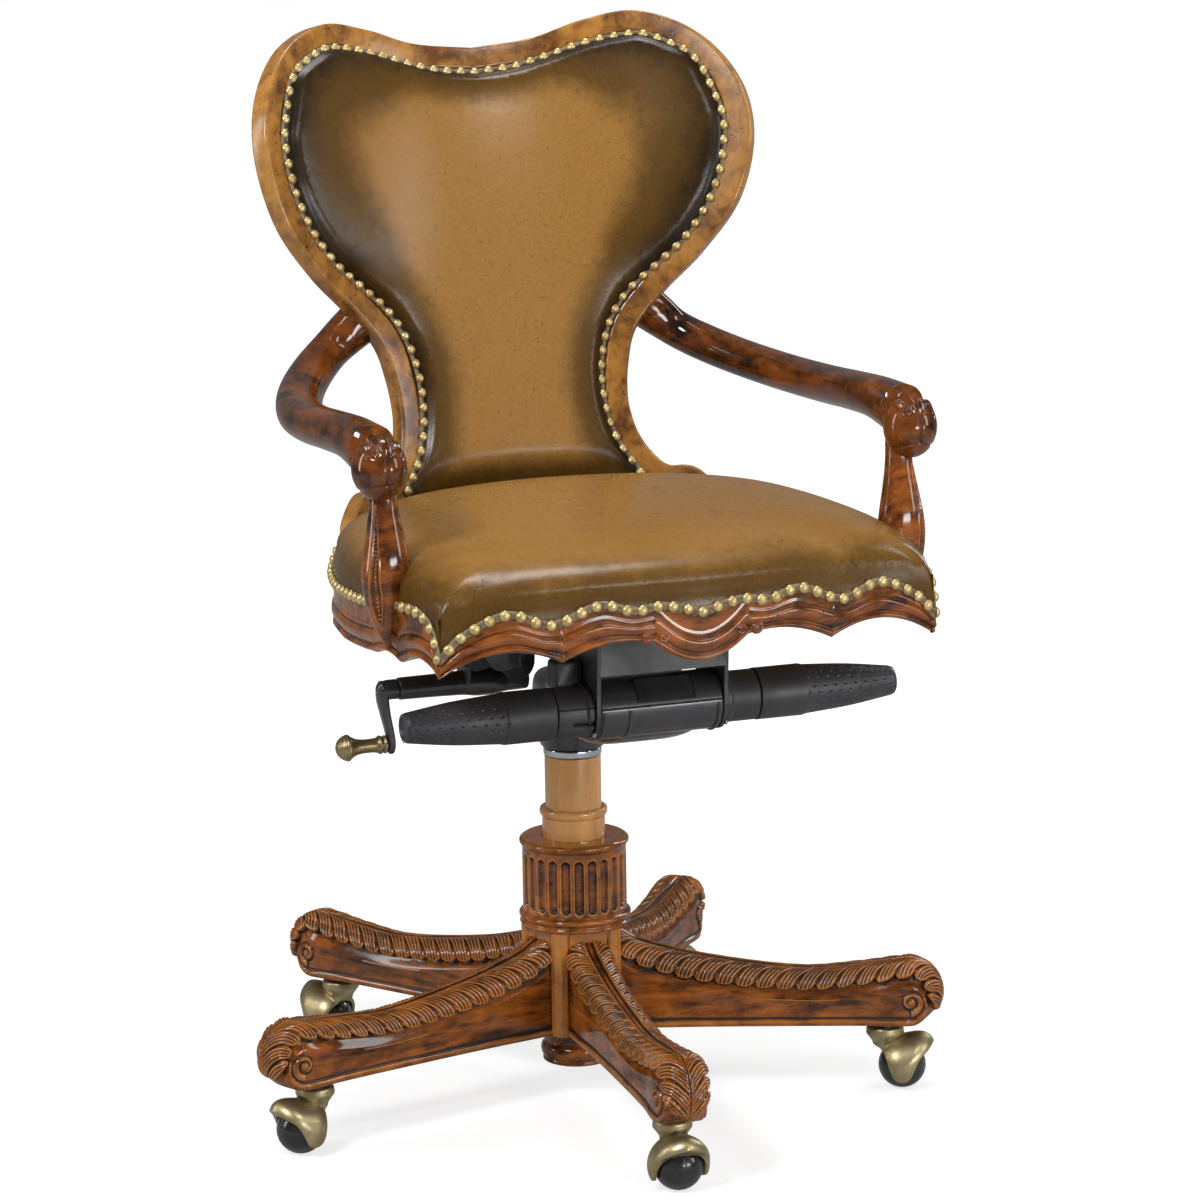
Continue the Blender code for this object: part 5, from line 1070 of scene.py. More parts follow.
def edge_stations(which, count):
    """Points along the front edge or a side edge of the seat: places on the floor plan, outward directions, heights
    of the nail line and of the rail's lower edge."""
    if which == "front":
        x = np.linspace(-SEAT_CORNER_X, SEAT_CORNER_X, count)
        y = front_plan(x)
        slope = 2 * SEAT_FRONT_BOW * x / SEAT_CORNER_X**2
        outward = unit(np.stack([slope, -np.ones(count), np.zeros(count)], axis=-1))
        nail = key_value(FRONT_NAIL_KEYS, np.abs(x))
        bottom = scallops(FRONT_CUSPS, FRONT_ARCHES, np.abs(x))
    else:
        y = np.linspace(SEAT_CORNER_Y, SIDE_END_Y, count)
        slope = (side_plan(y + 0.001) - side_plan(y - 0.001)) / 0.002
        outward = unit(np.stack([np.full(count, which), -slope, np.zeros(count)], axis=-1))
        x = which * side_plan(y)
        nail = key_value(SIDE_NAIL_KEYS, y)
        bottom = scallops(SIDE_CUSPS, SIDE_ARCHES, y)
    place = np.stack([x, y, np.zeros(count)], axis=-1)
    return place, outward, nail, bottom


RAIL_MOULDING = [
    (0.0, -0.0035), (0.0012, -0.0008), (0.0030, 0.0014), (0.0048, 0.0012), (0.0062, -0.0002), (0.0072, -0.0012),
    (0.0084, -0.0012), (0.0100, 0.0004), (0.0140, 0.0022), (0.0185, 0.0026), (0.0215, 0.0014), (0.0230, -0.0006),
    (0.0240, -0.0006), (0.0256, 0.0004), (0.0300, 0.0),
]


def rail_sheet(which, count):
    """A rail: its moulded face follows the scalloped lower edge."""
    place, outward, nail, bottom = edge_stations(which, count)
    slope = np.clip(np.gradient(bottom, distances(place)), -1.2, 1.2)
    tall = nail - 0.0045 - bottom
    share = np.linspace(0, 1, 64)
    over = share[None, :] * tall[:, None]
    depth = over / np.sqrt(1 + slope[:, None] ** 2)
    squeeze = np.minimum(1.0, tall[:, None] / 0.036)
    proud = key_value(RAIL_MOULDING, depth / squeeze)
    face = place[:, None] + outward[:, None] * proud[..., None]
    face[..., 2] = bottom[:, None] + over
    ends = SEAT_CORNER_X - np.abs(place[:, 0]) if which == "front" else place[:, 1] - SEAT_CORNER_Y
    room = np.clip(ends + 0.0012, 0.0, RAIL_THICKNESS)
    back = []
    for inside, height in ((0.0012, nail - 0.0040), (0.0046, nail - 0.0040), (0.0046, np.full(count, DECK_TOP)),
                           (RAIL_THICKNESS, np.full(count, DECK_TOP)), (RAIL_THICKNESS, bottom + 0.002)):
        ring = place - outward * np.minimum(inside, room)[:, None]
        ring[:, 2] = np.minimum(height, np.full(count, DECK_TOP))
        back.append(ring)
    ring = place - outward * np.minimum(0.0040, room)[:, None]
    ring[:, 2] = bottom
    back.append(ring)
    return grid(np.concatenate([face, np.stack(back, axis=1)], axis=1), closed=True)


def make_rails():
    scrolls = [
        small_scroll(side * x, 0.5672, turn) for side in (-1, 1) for x, turn in ((0.0403, side), (0.0573, -side))
    ]
    for name, which, count, extra, weld in (
        ("front", "front", 700, scrolls, 1e-7), ("left", -1, 560, [], 1e-6), ("right", 1, 560, [], 1e-6),
    ):
        add_piece("carved_%s_rail" % name, [rail_sheet(which, count), *extra], "seat", FRAME_WALNUT,
                  [name + "_rail"], (0.0011, 8), 70, weld)


def small_scroll(x, z, turn):
    """A button with a coiled groove on the rail's face."""
    rings = []
    base = np.array((x, float(front_plan(x)), z))
    outward = np.array((2 * SEAT_FRONT_BOW * x / SEAT_CORNER_X**2, -1, 0))
    outward /= np.linalg.norm(outward)
    across = np.array((-outward[1], outward[0], 0.0))
    angles = ring_of_angles(60)
    for share in np.linspace(1.0, 0.02, 26):
        r = SMALL_SCROLL_RADIUS * share
        coil = np.mod(turn * angles / math.tau + share * 2.2, 1.0)
        lift = 0.0030 * (1 - share**4) + 0.0006 * np.cos(math.tau * coil) * (1 - share * 0.2)
        ring = across * np.cos(angles)[:, None] + np.array((0, 0, 1.0)) * np.sin(angles)[:, None]
        rings.append(base + ring * r + outward * (lift + 0.0004)[:, None])
    first = rings[0] - outward * 0.004
    return grid(np.array([first, *rings]), closed=True)


# Padded leather


def filled(outline, spacing):
    """Evenly spaced places inside a closed outline, joined with it into triangles."""
    low, high = outline.min(axis=0), outline.max(axis=0)
    rows = np.arange(low[1], high[1], spacing * math.sqrt(0.75))
    ahead = np.roll(outline, -1, axis=0)
    inside = []
    for number, height in enumerate(rows):
        crossing = (outline[:, 1] > height) != (ahead[:, 1] > height)
        first, second = outline[crossing], ahead[crossing]
        step = second - first
        ends = np.sort(first[:, 0] + (height - first[:, 1]) * step[:, 0] / step[:, 1])
        line = np.arange(low[0] + spacing * 0.5 * (number % 2), high[0], spacing)
        for start, end in zip(ends[::2], ends[1::2]):
            for x in line[(line > start) & (line < end)]:
                inside.append((x, height))
    inside = np.array(inside)
    far, _ = nearest(inside, outline)
    places = np.vstack([outline, inside[far > spacing * 0.62]])
    count = len(outline)
    loop = [(i, (i + 1) % count) for i in range(count)]
    made = delaunay_2d_cdt([Vector(place) for place in places], loop, [], 1, 1e-7)
    number = np.array([given[0] for given in made[3]])
    return places, number[np.array(made[2])]


def nearest(places, line):
    """How far places are from a line of points, and which point is the nearest. Flat points lie at height 0."""
    places, line = (np.pad(points, ((0, 0), (0, 3 - points.shape[1]))) for points in (places, line))
    tree = KDTree(len(line))
    for i, point in enumerate(line):
        tree.insert(point, i)
    tree.balance()
    found = [tree.find(place) for place in places]
    return np.array([one[2] for one in found]), np.array([one[1] for one in found])


def relaxed(edges, values, fixed, rounds, source=0.0):
    """Values between fixed ones, evened out along the edges of a mesh."""
    first, second = edges[:, 0], edges[:, 1]
    count = len(values)
    degree = np.maximum(np.bincount(first, minlength=count) + np.bincount(second, minlength=count), 1)
    values = values.copy()
    for _ in range(rounds):
        total = np.bincount(first, values[second], count) + np.bincount(second, values[first], count)
        values = np.where(fixed, values, total / degree + source)
    return values


def padded_sheet(rim, rim_height):
    """A sheet over a closed rim: places, faces, distance from the rim, fullness from 0 to 1, height of the rim and
    directions to the rim."""
    rings = [drawn_in(rim, inset) for inset in PAD_INSETS]
    count = len(rim)
    plan, faces = filled(rings[-1], PAD_SPACING)
    start = count * (len(rings) - 1)
    places = np.vstack([*rings[:-1], plan])
    strips = []
    for row in range(len(rings) - 1):
        here = row * count + np.arange(count)
        ahead = row * count + (np.arange(count) + 1) % count
        strips.append(np.stack([here, ahead, ahead + count, here + count], axis=-1))
    quads = np.vstack(strips)
    faces = faces + start
    edges = np.vstack([faces[:, (0, 1)], faces[:, (1, 2)], faces[:, (2, 0)], quads[:, (0, 1)], quads[:, (1, 2)]])
    whole_rim = np.vstack([rim, rim[:1]])
    fine_rim = evenly_along(whole_rim, count * 3)
    run = distances(whole_rim)
    fine_height = np.interp(np.linspace(0, 1, count * 3), run / run[-1], np.append(rim_height, rim_height[0]))
    far, which = nearest(places, fine_rim)
    far[:count] = 0.0
    reach = far.max()
    fixed = np.arange(len(places)) < start
    full = relaxed(edges, 1 - (1 - far / reach) ** 2, fixed, 260, PAD_SPACING**2 / (2 * reach**2))
    height = fine_height[which]
    height[:count] = rim_height
    height = relaxed(edges, height, np.arange(len(places)) < count, 420)
    away = fine_rim[which] - places
    away = np.where(far[:, None] > 1e-5, away / np.maximum(far, 1e-9)[:, None], 0.0)
    return places, (quads, faces), far, full / full.max(), height, away


def drawn_in(line, amount):
    """A closed anticlockwise outline moved inwards, with soft corners."""
    d = np.roll(line, -1, axis=0) - np.roll(line, 1, axis=0)
    inward = unit(np.stack([-d[:, 1], d[:, 0]], axis=-1))
    for _ in range(12):
        inward = inward * 0.5 + (np.roll(inward, 1, axis=0) + np.roll(inward, -1, axis=0)) * 0.25
    return line + unit(inward) * amount


PAD_INSETS = (0.0, 0.0004, 0.0010, 0.0018, 0.0028, 0.0040, 0.0055, 0.0072)
PAD_SPACING = 0.0042


def rounded_rise(distance, reach):
    """A quarter circle's rise, from 0 at the edge to 1 at this reach."""
    return np.sqrt(1 - (1 - np.clip(distance / reach, 0, 1)) ** 2)


def cushion_rim(count_front, count_side):
    """The seat's outline as four edges, each with its place, outward direction and nail height."""
    front = edge_stations("front", count_front)
    right = edge_stations(1, count_side)
    left = edge_stations(-1, count_side)
    rear_x = np.linspace(-REAR_HALF_WIDTH, REAR_HALF_WIDTH, count_front)
    rear_y = back_front(rear_x, DECK_TOP) - 0.0125
    rear_place = np.stack([rear_x, rear_y, np.zeros(count_front)], axis=-1)
    for side in (left, right):
        side[0][-1, :2] = (side[0][-1, 0], rear_y[0])
        blend = smooth_step(0.02, SIDE_END_Y, side[0][:, 1])
        side[0][:, 1] += (rear_y[0] - SIDE_END_Y) * blend
    rear_out = np.tile((0.0, 1.0, 0.0), (count_front, 1))
    rear = (rear_place, rear_out, np.full(count_front, 0.603), None)
    return front, right, rear, left


def make_cushion():
    front, right, rear, left = cushion_rim(161, 131)
    parts = ((front, False), (right, False), (rear, True), (left, True))

    def closed_line(inset=0.0, drop=0.0):
        lines = []
        for edge, backwards in parts:
            line = edge[0] - edge[1] * inset
            line[:, 2] = edge[2] - drop
            lines.append((line[::-1] if backwards else line)[:-1])
        return np.vstack(lines)

    for first, i, second, j in ((front, 0, left, 0), (front, -1, right, 0), (rear, 0, left, -1), (rear, -1, right, -1)):
        both = first[1][i] + second[1][j]
        first[1][i] = second[1][j] = both * 2 / (both @ both)
    rim = closed_line()
    plan, (quads, faces), far, full, height, away = padded_sheet(rim[:, :2], rim[:, 2])
    rear_share = smooth_step(-0.02, 0.07, plan[:, 1])
    roll = 0.042 + 0.016 * (1 - rear_share)
    rise = 0.40 * rounded_rise(far, roll) + 0.42 * (1 - (1 - full) ** 2) + 0.18 * (1 - (1 - full) ** 6)
    top = height + (CUSHION_CROWN - height) * rise
    bulge = CUSHION_BULGE * np.sin(np.pi * np.clip(far / roll, 0, 1)) ** 0.9 * (1 - rear_share)
    for side in (-1, 1):
        corner_x, corner_y = plan[:, 0] - side * SEAT_CORNER_X, plan[:, 1] - SEAT_CORNER_Y
        out = np.hypot(corner_x, corner_y)
        angle = np.arctan2(-side * corner_x, corner_y)
        folds = np.sin(angle * 9.0 + 0.6 * side) * np.exp(-((out / 0.062) ** 2)) * smooth_step(0.004, 0.02, out)
        top = top + 0.0016 * folds
    x, y = plan[:, 0], plan[:, 1]
    across = x * 290 + 2.2 * np.sin(y * 31 + x * 9) + 1.1 * np.sin(y * 67 + 2)
    wrinkle = (0.5 + 0.5 * np.sin(across)) ** 3 * (0.5 + 0.5 * np.sin(x * 41 + y * 23))
    zone = smooth_step(0.015, 0.06, far) * smooth_step(0.06, -0.10, y)
    top = top - 0.00045 * wrinkle * zone
    sheet = np.column_stack([plan + away * bulge[:, None], top])
    skirt = [closed_line(0.0, 0.0035), closed_line(0.0006, 0.0062), closed_line(0.0042, 0.0062)]
    under = skirt[-1].copy()
    under[:, 2] = DECK_TOP + 0.0004
    middle = np.array((0, -0.1, DECK_TOP + 0.0004))
    base = [under * (1 - s) + middle * s for s in (0.999, 0.6, 0.2)] + [under]
    walls = ([under, *skirt[::-1], rim], base)
    mesh = leather_mesh("seat_leather", sheet, (quads, faces), walls)
    mark(mesh, "near_edge", 0.70 * edge_nearness(vertex_places(mesh), rim, 0.085))
    piece = place_piece("seat_leather", mesh, "seat", SEAT_LEATHER, ["seat_cushion"])


def edge_nearness(places, rim, reach):
    """1 at the rim, fading to 0 at this distance from it."""
    far, _ = nearest(places, rim)
    return np.clip(1 - far / reach, 0, 1) ** 1.3


def leather_mesh(name, sheet, faces, walls):
    """A padded sheet with the closed walls that stand under its rim."""
    blocks = [(sheet, part) for part in faces] + [grid(np.array(wall), closed=True) for wall in walls]
    return new_mesh(name, blocks, weld=3e-5)


# Nails and braid


def nail_shape():
    """A domed nail head, standing on the XY plane."""
    angles = ring_of_angles(18)
    rings = [level_ring(NAIL_RADIUS * 0.97, -0.0006, angles)]
    for t in np.linspace(0, math.pi / 2, 7):
        rings.append(level_ring(max(NAIL_RADIUS * math.cos(t), 0.0002), NAIL_HEIGHT * math.sin(t), angles))
    return grid(np.array(rings), closed=True)


def nails_along(places, normals, seed):
    """Nail heads on a line, each a little different."""
    random = np.random.default_rng(seed)
    points, quads = nail_shape()
    blocks = []
    for place, normal in zip(places, normals):
        tilt = normal + random.normal(0, 0.035, 3)
        tilt = Vector(tilt / np.linalg.norm(tilt))
        turn = np.array(tilt.to_track_quat("Z", "Y").to_matrix())
        size = 1 + random.normal(0, 0.025)
        blocks.append((points * size @ turn.T + place, quads))
    return blocks


def braid_along(line, normals):
    """A narrow ribbed strip that lies on a surface."""
    count = max(int(line_length(line) / BRAID_STEP), 8)
    path, up = evenly_with(line, normals, count)
    across, half = np.linspace(-1, 1, 9), BRAID_WIDTH / 2
    section = np.vstack([
        np.stack([across * half, BRAID_THICKNESS * (1 - across**6)], axis=-1), [(half, -0.0012), (-half, -0.0012)]
    ])
    rings = np.tile(section, (count, 1, 1))
    rings[:, 1:8, 1] += 0.00022 * np.cos(np.arange(count) * BRAID_STEP / BRAID_RIB * math.tau)[:, None]
    return swept(path, rings, up)


def seat_nail_line():
    """The seat's nail line from the rear left, along the front, to the rear right, with its outward directions."""
    places, outwards = [], []
    for which, count, order in ((-1, 220, -1), ("front", 420, 1), (1, 220, 1)):
        line, outward, nail, _ = edge_stations(which, count)
        line[:, 2] = nail
        places.append(line[::order])
        outwards.append(outward[::order])
    return np.vstack(places), np.vstack(outwards)


def add_nail_rows(name, braids, nails):
    """The braid and the nail heads that go with it, as a piece each."""
    add_piece(name + "_braid", braids, "seat", NAIL_BRAID, hollows=(0.0004, 3))
    add_piece(name + "_nails", nails, "seat", NAIL_BRASS, hollows=(0.0010, 3), weld=1e-7)


def make_seat_nails():
    """The row round the seat, with no nails where the arm posts stand."""
    places, outwards = seat_nail_line()
    keep = places[:, 1] < SEAT_NAILS_END
    places, outwards = places[keep], outwards[keep]
    spots, normals = evenly_with(places, outwards, int(line_length(places) / NAIL_PITCH))
    clear = (np.abs(spots[:, 1] - POST_Y) > 0.020) | (np.abs(spots[:, 0]) < 0.24)
    nails = nails_along(spots[clear] + normals[clear] * 0.0020, normals[clear], 5)
    add_nail_rows("seat", [braid_along(places + outwards * 0.0010, outwards)], nails)


# Back frame, pad and nails


def whole_line(half):
    """A half outline with its mirror image, from the lower left over the top to the lower right."""
    half = np.asarray(half, float)
    left = half[::-1] * np.array((-1, 1))
    return np.vstack([left[:-1], half])


def inwards(line):
    """Directions towards the inside of an outline that runs from the lower left over the top."""
    ahead = np.gradient(line, axis=0)
    return unit(np.stack([ahead[:, 1], -ahead[:, 0]], axis=-1))


def add_back_wood(name, blocks, material, node=None, rounds=6):
    """A wooden piece of the back, on the seat's body."""
    stands_for = [node] if node else ()
    add_piece(name, blocks, "seat", material, stands_for, hollows=(0.0012, rounds))


def make_back_frame():
    """The bent frame, the flat ears at its feet, and the bar between them."""
    outer = smooth_line(whole_line(smooth_line(BACK_OUTLINE, 200)), 520)
    inward = inwards(outer)
    section = rounded_profile(
        [(0.010, 0.0), (0.0, 0.0), (0.0, BACK_THICKNESS), (0.0245, BACK_THICKNESS), (0.0245, 0.004), (0.0215, 0.0),
         (0.010, 0.0)], 0.0034, 7)[:-1]
    rings = []
    for inset, depth in section:
        x, z = (outer + inward * inset).T
        rings.append(on_back(x, np.maximum(z, FRAME_BOTTOM), depth))
    add_back_wood("veneered_back_frame", [grid(np.stack(rings, axis=1), closed=True)], VENEER_WALNUT, "back_frame")
    feet = []
    low = FRAME_BOTTOM + 0.0001
    for side in (-1, 1):
        foot = side * np.linspace(0.1120, 0.1900, 40)
        top = np.interp(np.abs(foot), *np.transpose(FOOT_FILL))
        height = low + (top[:, None] - low) * np.linspace(0, 1, 30)
        feet.append(back_plate(foot, height, 0.0004, BACK_THICKNESS - 0.0006))
    add_back_wood("back_feet", feet, VENEER_WALNUT)
    x, height = np.linspace(-0.150, 0.150, 80), np.linspace(low, 0.640, 14)[None, :]
    bar = back_plate(x, height, 0.003, BACK_THICKNESS - 0.001)
    add_back_wood("back_lower_bar", [bar], FRAME_WALNUT, rounds=4)


def back_plate(x, height, front_depth, rear_depth):
    """A plate between two depths of the back, with a row of heights for each place across."""
    front = on_back(x[:, None], height, front_depth)
    rear = on_back(x[:, None], height[:, ::-1], rear_depth)
    return grid(np.concatenate([front, rear], axis=1), closed=True)


def back_nail_line(count):
    return smooth_line(whole_line(smooth_line(BACK_NAIL_LINE, 260)), count)


def back_pad_line(outset, base_z):
    """The closed outline of the back's leather, anticlockwise seen from the front."""
    line = back_nail_line(420)
    edge = line - inwards(line) * outset
    edge[0, 1] = edge[-1, 1] = base_z
    bottom_x = np.linspace(edge[-1, 0], edge[0, 0], 66)[1:-1]
    outline = np.vstack([edge, np.column_stack([bottom_x, np.full(len(bottom_x), base_z)])])
    return outline[::-1]


def back_walls(line, foot_depth, edge):
    """The wall under a leather's rim: from the middle of its far side out to its edge."""
    middle = np.array((0.0, 0.86))
    return [on_back(*(middle + (line - middle) * share).T, foot_depth) for share in (0.02, 0.5, 0.98)] + edge


def make_back_pad():
    """The padded back: full in the middle, drawn in along the nails."""
    foot = 0.612
    outline, rim = back_pad_line(0.0050, foot), back_pad_line(0.0, foot)
    plan, faces, far, full, _, _ = padded_sheet(rim, np.zeros(len(rim)))
    low = smooth_step(0.70, 0.64, plan[:, 1])
    rise = 0.0050 * rounded_rise(far, 0.012) + 0.0080 * rounded_rise(far, 0.050)
    rise = rise * (1 - low * smooth_step(0.05, 0.0, plan[:, 1] - foot)) + 0.0050 * (1 - (1 - full) ** 2) + 0.0060 * full
    edge = [on_back(*outline.T, 0.0065), on_back(*outline.T, 0.0004), on_back(*rim.T, -0.0008)]
    mesh = leather_mesh("back_leather", on_back(*plan.T, -0.0008 - rise), faces, [back_walls(outline, 0.0085, edge)])
    places = vertex_places(mesh)
    reach = 0.060 + 0.080 * smooth_step(0.07, 0.16, np.abs(places[:, 0])) * smooth_step(0.80, 0.90, places[:, 2])
    mark(mesh, "near_edge", edge_nearness(places, on_back(*rim.T, 0.0), reach))
    piece = place_piece("back_leather", mesh, "seat", BACK_LEATHER, ["back_pad"])


def make_back_cover():
    """The leather on the rear of the back."""
    rim = back_pad_line(0.0035, 0.616)
    plan, faces, far, full, _, _ = padded_sheet(rim, np.zeros(len(rim)))
    depth = BACK_THICKNESS - 0.0008
    rise = 0.0022 * rounded_rise(far, 0.010) + 0.0034 * full
    edge = [on_back(*rim.T, 0.0105), on_back(*rim.T, depth)]
    mesh = leather_mesh("back_rear_leather", on_back(*plan.T, depth + rise), faces, [back_walls(rim, 0.0105, edge)])
    mark(mesh, "near_edge", edge_nearness(vertex_places(mesh), on_back(*rim.T, BACK_THICKNESS), 0.075))
    piece = place_piece("back_rear_leather", mesh, "seat", BACK_LEATHER, ["back_cover"])


def make_back_nails():
    """The rows round the front and the rear of the back."""
    line = back_nail_line(600)
    line = line[line[:, 1] > BACK_NAILS_END]
    nails, braids = [], []
    for depth, direction, seed in ((-0.0006, -1, 7), (BACK_THICKNESS + 0.0006, 1, 8)):
        places = on_back(*line.T, depth)
        normals = back_normal(line[:, 0]) * direction
        braids.append(braid_along(places, normals))
        spots, spot_normals = evenly_with(places, normals, int(line_length(places) / NAIL_PITCH))
        nails += nails_along(spots + spot_normals * 0.0011, spot_normals, seed)
    add_nail_rows("back", braids, nails)


# Arms and posts. An arm's key: share of its length, x, y, z, half its width, half its height. A post's key: height,
# y, half its width, half its depth.

ARM_KEYS = [
    (0.0, 0.1500, 0.1950, 0.8110, 0.0180, 0.0250), (0.1, 0.1745, 0.1960, 0.7915, 0.0190, 0.0225),
    (0.2, 0.1975, 0.1899, 0.7736, 0.0210, 0.0195), (0.3, 0.2218, 0.1638, 0.7597, 0.0225, 0.0190),
    (0.4, 0.2454, 0.1231, 0.7488, 0.0235, 0.0187), (0.5, 0.2647, 0.0729, 0.7418, 0.0240, 0.0187),
    (0.6, 0.2772, 0.0179, 0.7389, 0.0240, 0.0190), (0.7, 0.2817, -0.0384, 0.7398, 0.0235, 0.0195),
    (0.8, 0.2813, -0.0964, 0.7430, 0.0230, 0.0200), (0.9, 0.2799, -0.1578, 0.7450, 0.0225, 0.0215),
    (1.0, 0.2800, -0.2150, 0.7410, 0.0235, 0.0260),
]
KNUCKLE_PLACE = (0.2795, -0.2350, 0.7275)
KNUCKLE_SIZE = (0.0270, 0.0280, 0.0320)
POST_X, POST_Y, POST_TOP = 0.2725, -0.230, 0.712
POST_KEYS = [
    (0.552, -0.231, 0.0045, 0.0045), (0.560, -0.230, 0.0085, 0.0080), (0.572, -0.230, 0.0140, 0.0130),
    (0.590, -0.229, 0.0205, 0.0185), (0.618, -0.228, 0.0245, 0.0210), (0.640, -0.228, 0.0225, 0.0200),
    (0.665, -0.226, 0.0180, 0.0170), (0.690, -0.223, 0.0140, 0.0140), (0.720, -0.221, 0.0130, 0.0130),
]
POST_DROP_KEYS = [(0.572, 0.0), (0.582, 0.0035), (0.600, 0.0062), (0.625, 0.0050), (0.655, 0.0026), (0.690, 0.0)]


def arm_sheet(side):
    """The arm from the back frame to its wrist."""
    keys = through_keys(ARM_KEYS, np.linspace(0, 1, 240))
    rings = [round_section(half_wide, half_tall, 64, 2.3) for half_wide, half_tall in keys[:, 3:5]]
    return swept(keys[:, :3] * np.array((side, 1, 1)), rings)


def knuckle_sheet(side):
    """A carved ball over the post, with two beaded flutes on its top."""
    nu, nv = 150, 220
    polar = np.linspace(0.001, math.pi - 0.001, nu)[:, None]
    round_angle = ring_of_angles(nv)[None, :]
    x = np.sin(polar) * np.cos(round_angle)
    y = np.sin(polar) * np.sin(round_angle)
    z = np.cos(polar) * np.ones_like(round_angle)
    lift = np.zeros_like(x)
    for lobe in (-0.42, 0.42):
        across = x - lobe * (1.0 + 0.15 * y)
        along = np.arctan2(-y, z)
        inside = smooth_step(1.15, 0.85, along) * smooth_step(-0.75, -0.35, along) * (z > -0.3)
        lift += -0.0034 * soft_bump(across, 0.18) * inside
        beads = 0.5 + 0.5 * np.cos(along * 26)
        lift += 0.0024 * soft_bump(across, 0.085) * inside * beads
        lift += 0.0018 * soft_bump(np.abs(across) - 0.24, 0.07) * inside
    lift += -0.0020 * soft_bump(x, 0.10) * smooth_step(-0.55, 0.2, -y) * smooth_step(0.9, 0.3, np.abs(z - 0.1))
    crease = -0.0012 * soft_bump(z + 0.55 + 0.12 * np.cos(2 * round_angle), 0.10)
    size = np.array(KNUCKLE_SIZE)
    points = np.stack([x, y, z], axis=-1) * (size + (lift + crease)[..., None]) + np.array(KNUCKLE_PLACE)
    return grid(points * np.array((side, 1, 1)), closed=True)


def post_sheet(side):
    """The post: a slim neck that swells to a bulb, with a beaded drop cut in its outer side."""
    heights = np.linspace(POST_KEYS[0][0], POST_TOP, 300)
    keys = through_keys(POST_KEYS, heights)
    angles = ring_of_angles(160)
    outer = -2.35 if side < 0 else -0.80
    turn = np.mod(angles - outer + math.pi, math.tau) - math.pi
    drop_half = key_value(POST_DROP_KEYS, heights)
    radius = (keys[:, 1] + keys[:, 2])[:, None] / 2
    across = turn[None, :] * radius
    inside = smooth_step(0.570, 0.576, heights)[:, None] * smooth_step(0.694, 0.686, heights)[:, None]
    edge = np.abs(np.abs(across) - drop_half[:, None])
    lift = 0.0012 * soft_bump(edge, 0.0022) * inside
    hollow = smooth_step(0.0, 0.0022, drop_half[:, None] - np.abs(across))
    lift = lift - 0.0026 * hollow * inside
    beads = 0.5 + 0.5 * np.cos(heights / 0.0042 * math.tau)
    lift = lift + 0.0018 * soft_bump(across, 0.0020) * hollow * beads[:, None] * inside
    x = side * POST_X + (keys[:, 1][:, None] + lift) * np.cos(angles)
    y = keys[:, 0][:, None] + (keys[:, 2][:, None] + lift) * np.sin(angles)
    z = np.repeat(heights[:, None], len(angles), axis=1)
    return grid(np.stack([x, y, z], axis=-1), closed=True)


def make_arms():
    for name, side in SIDES:
        add_piece("carved_arm_" + name, [arm_sheet(side), knuckle_sheet(side)], "seat", ARM_WALNUT,
                  ["arm_" + name], (0.0012, 7))
        add_piece("carved_post_" + name, [post_sheet(side)], "seat", FRAME_WALNUT,
                  ["arm_post_" + name], (0.0010, 6))


# Column

COVER_RADIUS = 0.0295


def make_column():
    """The two wooden sleeves and the chrome collar."""
    cover, collar = COVER_RADIUS, 0.0305
    for name, node, body, material, slot_name, profile, radius, steps in (
        ("honey_lower_sleeve", "lower_sleeve", "base", HONEY_WOOD, "honey_column_wood",
         [(0.0302, 0.251), (0.0330, 0.251), (0.0330, 0.2985), (0.0328, 0.3005), (0.0350, 0.3020), (0.0358, 0.3060),
          (0.0350, 0.3090), (0.0330, 0.3102), (0.0302, 0.3102)], 0.0014, 6),
        ("honey_upper_sleeve", "upper_sleeve", "lift", HONEY_WOOD, "honey_column_wood",
         [(0.0260, 0.2205), (cover, 0.2205), (cover, 0.3655), (0.0260, 0.3655)], 0.0008, 4),
        ("chrome_collar", "column_collar", "lift", BRIGHT_CHROME, "bright_chrome",
         [(0.0150, 0.3662), (collar, 0.3662), (collar, 0.3742), (0.0150, 0.3742)], 0.0016, 7),
    ):
        sheet = turned_sheet(rounded_profile(profile, radius, steps), 144)
        add_piece(name, [sheet], body, material, [node], (0.0008, 3))


# Tilt mechanism, grips and crank

TILT_Y, TILT_Z = -0.2313, 0.4677
DRUM_BODY_RADIUS, DRUM_HALF_LENGTH = 0.0302, 0.0650
SPLIT_ANGLE, PANEL_ANGLE, PANEL_MIDDLE = 2.953, 2.356, 0.0045
COLLAR_START, COLLAR_LENGTH, COLLAR_RADIUS = 0.0700, 0.038, 0.0256
GRIP_START, GRIP_LENGTH = 0.1085, 0.152
CRANK_Z, CRANK_SLEEVE_RADIUS, CRANK_SLEEVE_END = 0.4525, 0.0116, -0.190
KNOB_HEIGHT, KNOB_START, KNOB_RADIUS = 0.3955, -0.2035, 0.0140


def shifted(block, offset):
    points, quads = block
    return points + np.array(offset), quads


def facing(block, side):
    """The same sheet, or its mirror image for the left of the picture."""
    points, quads = block
    return points * np.array((side, 1.0, 1.0)), quads


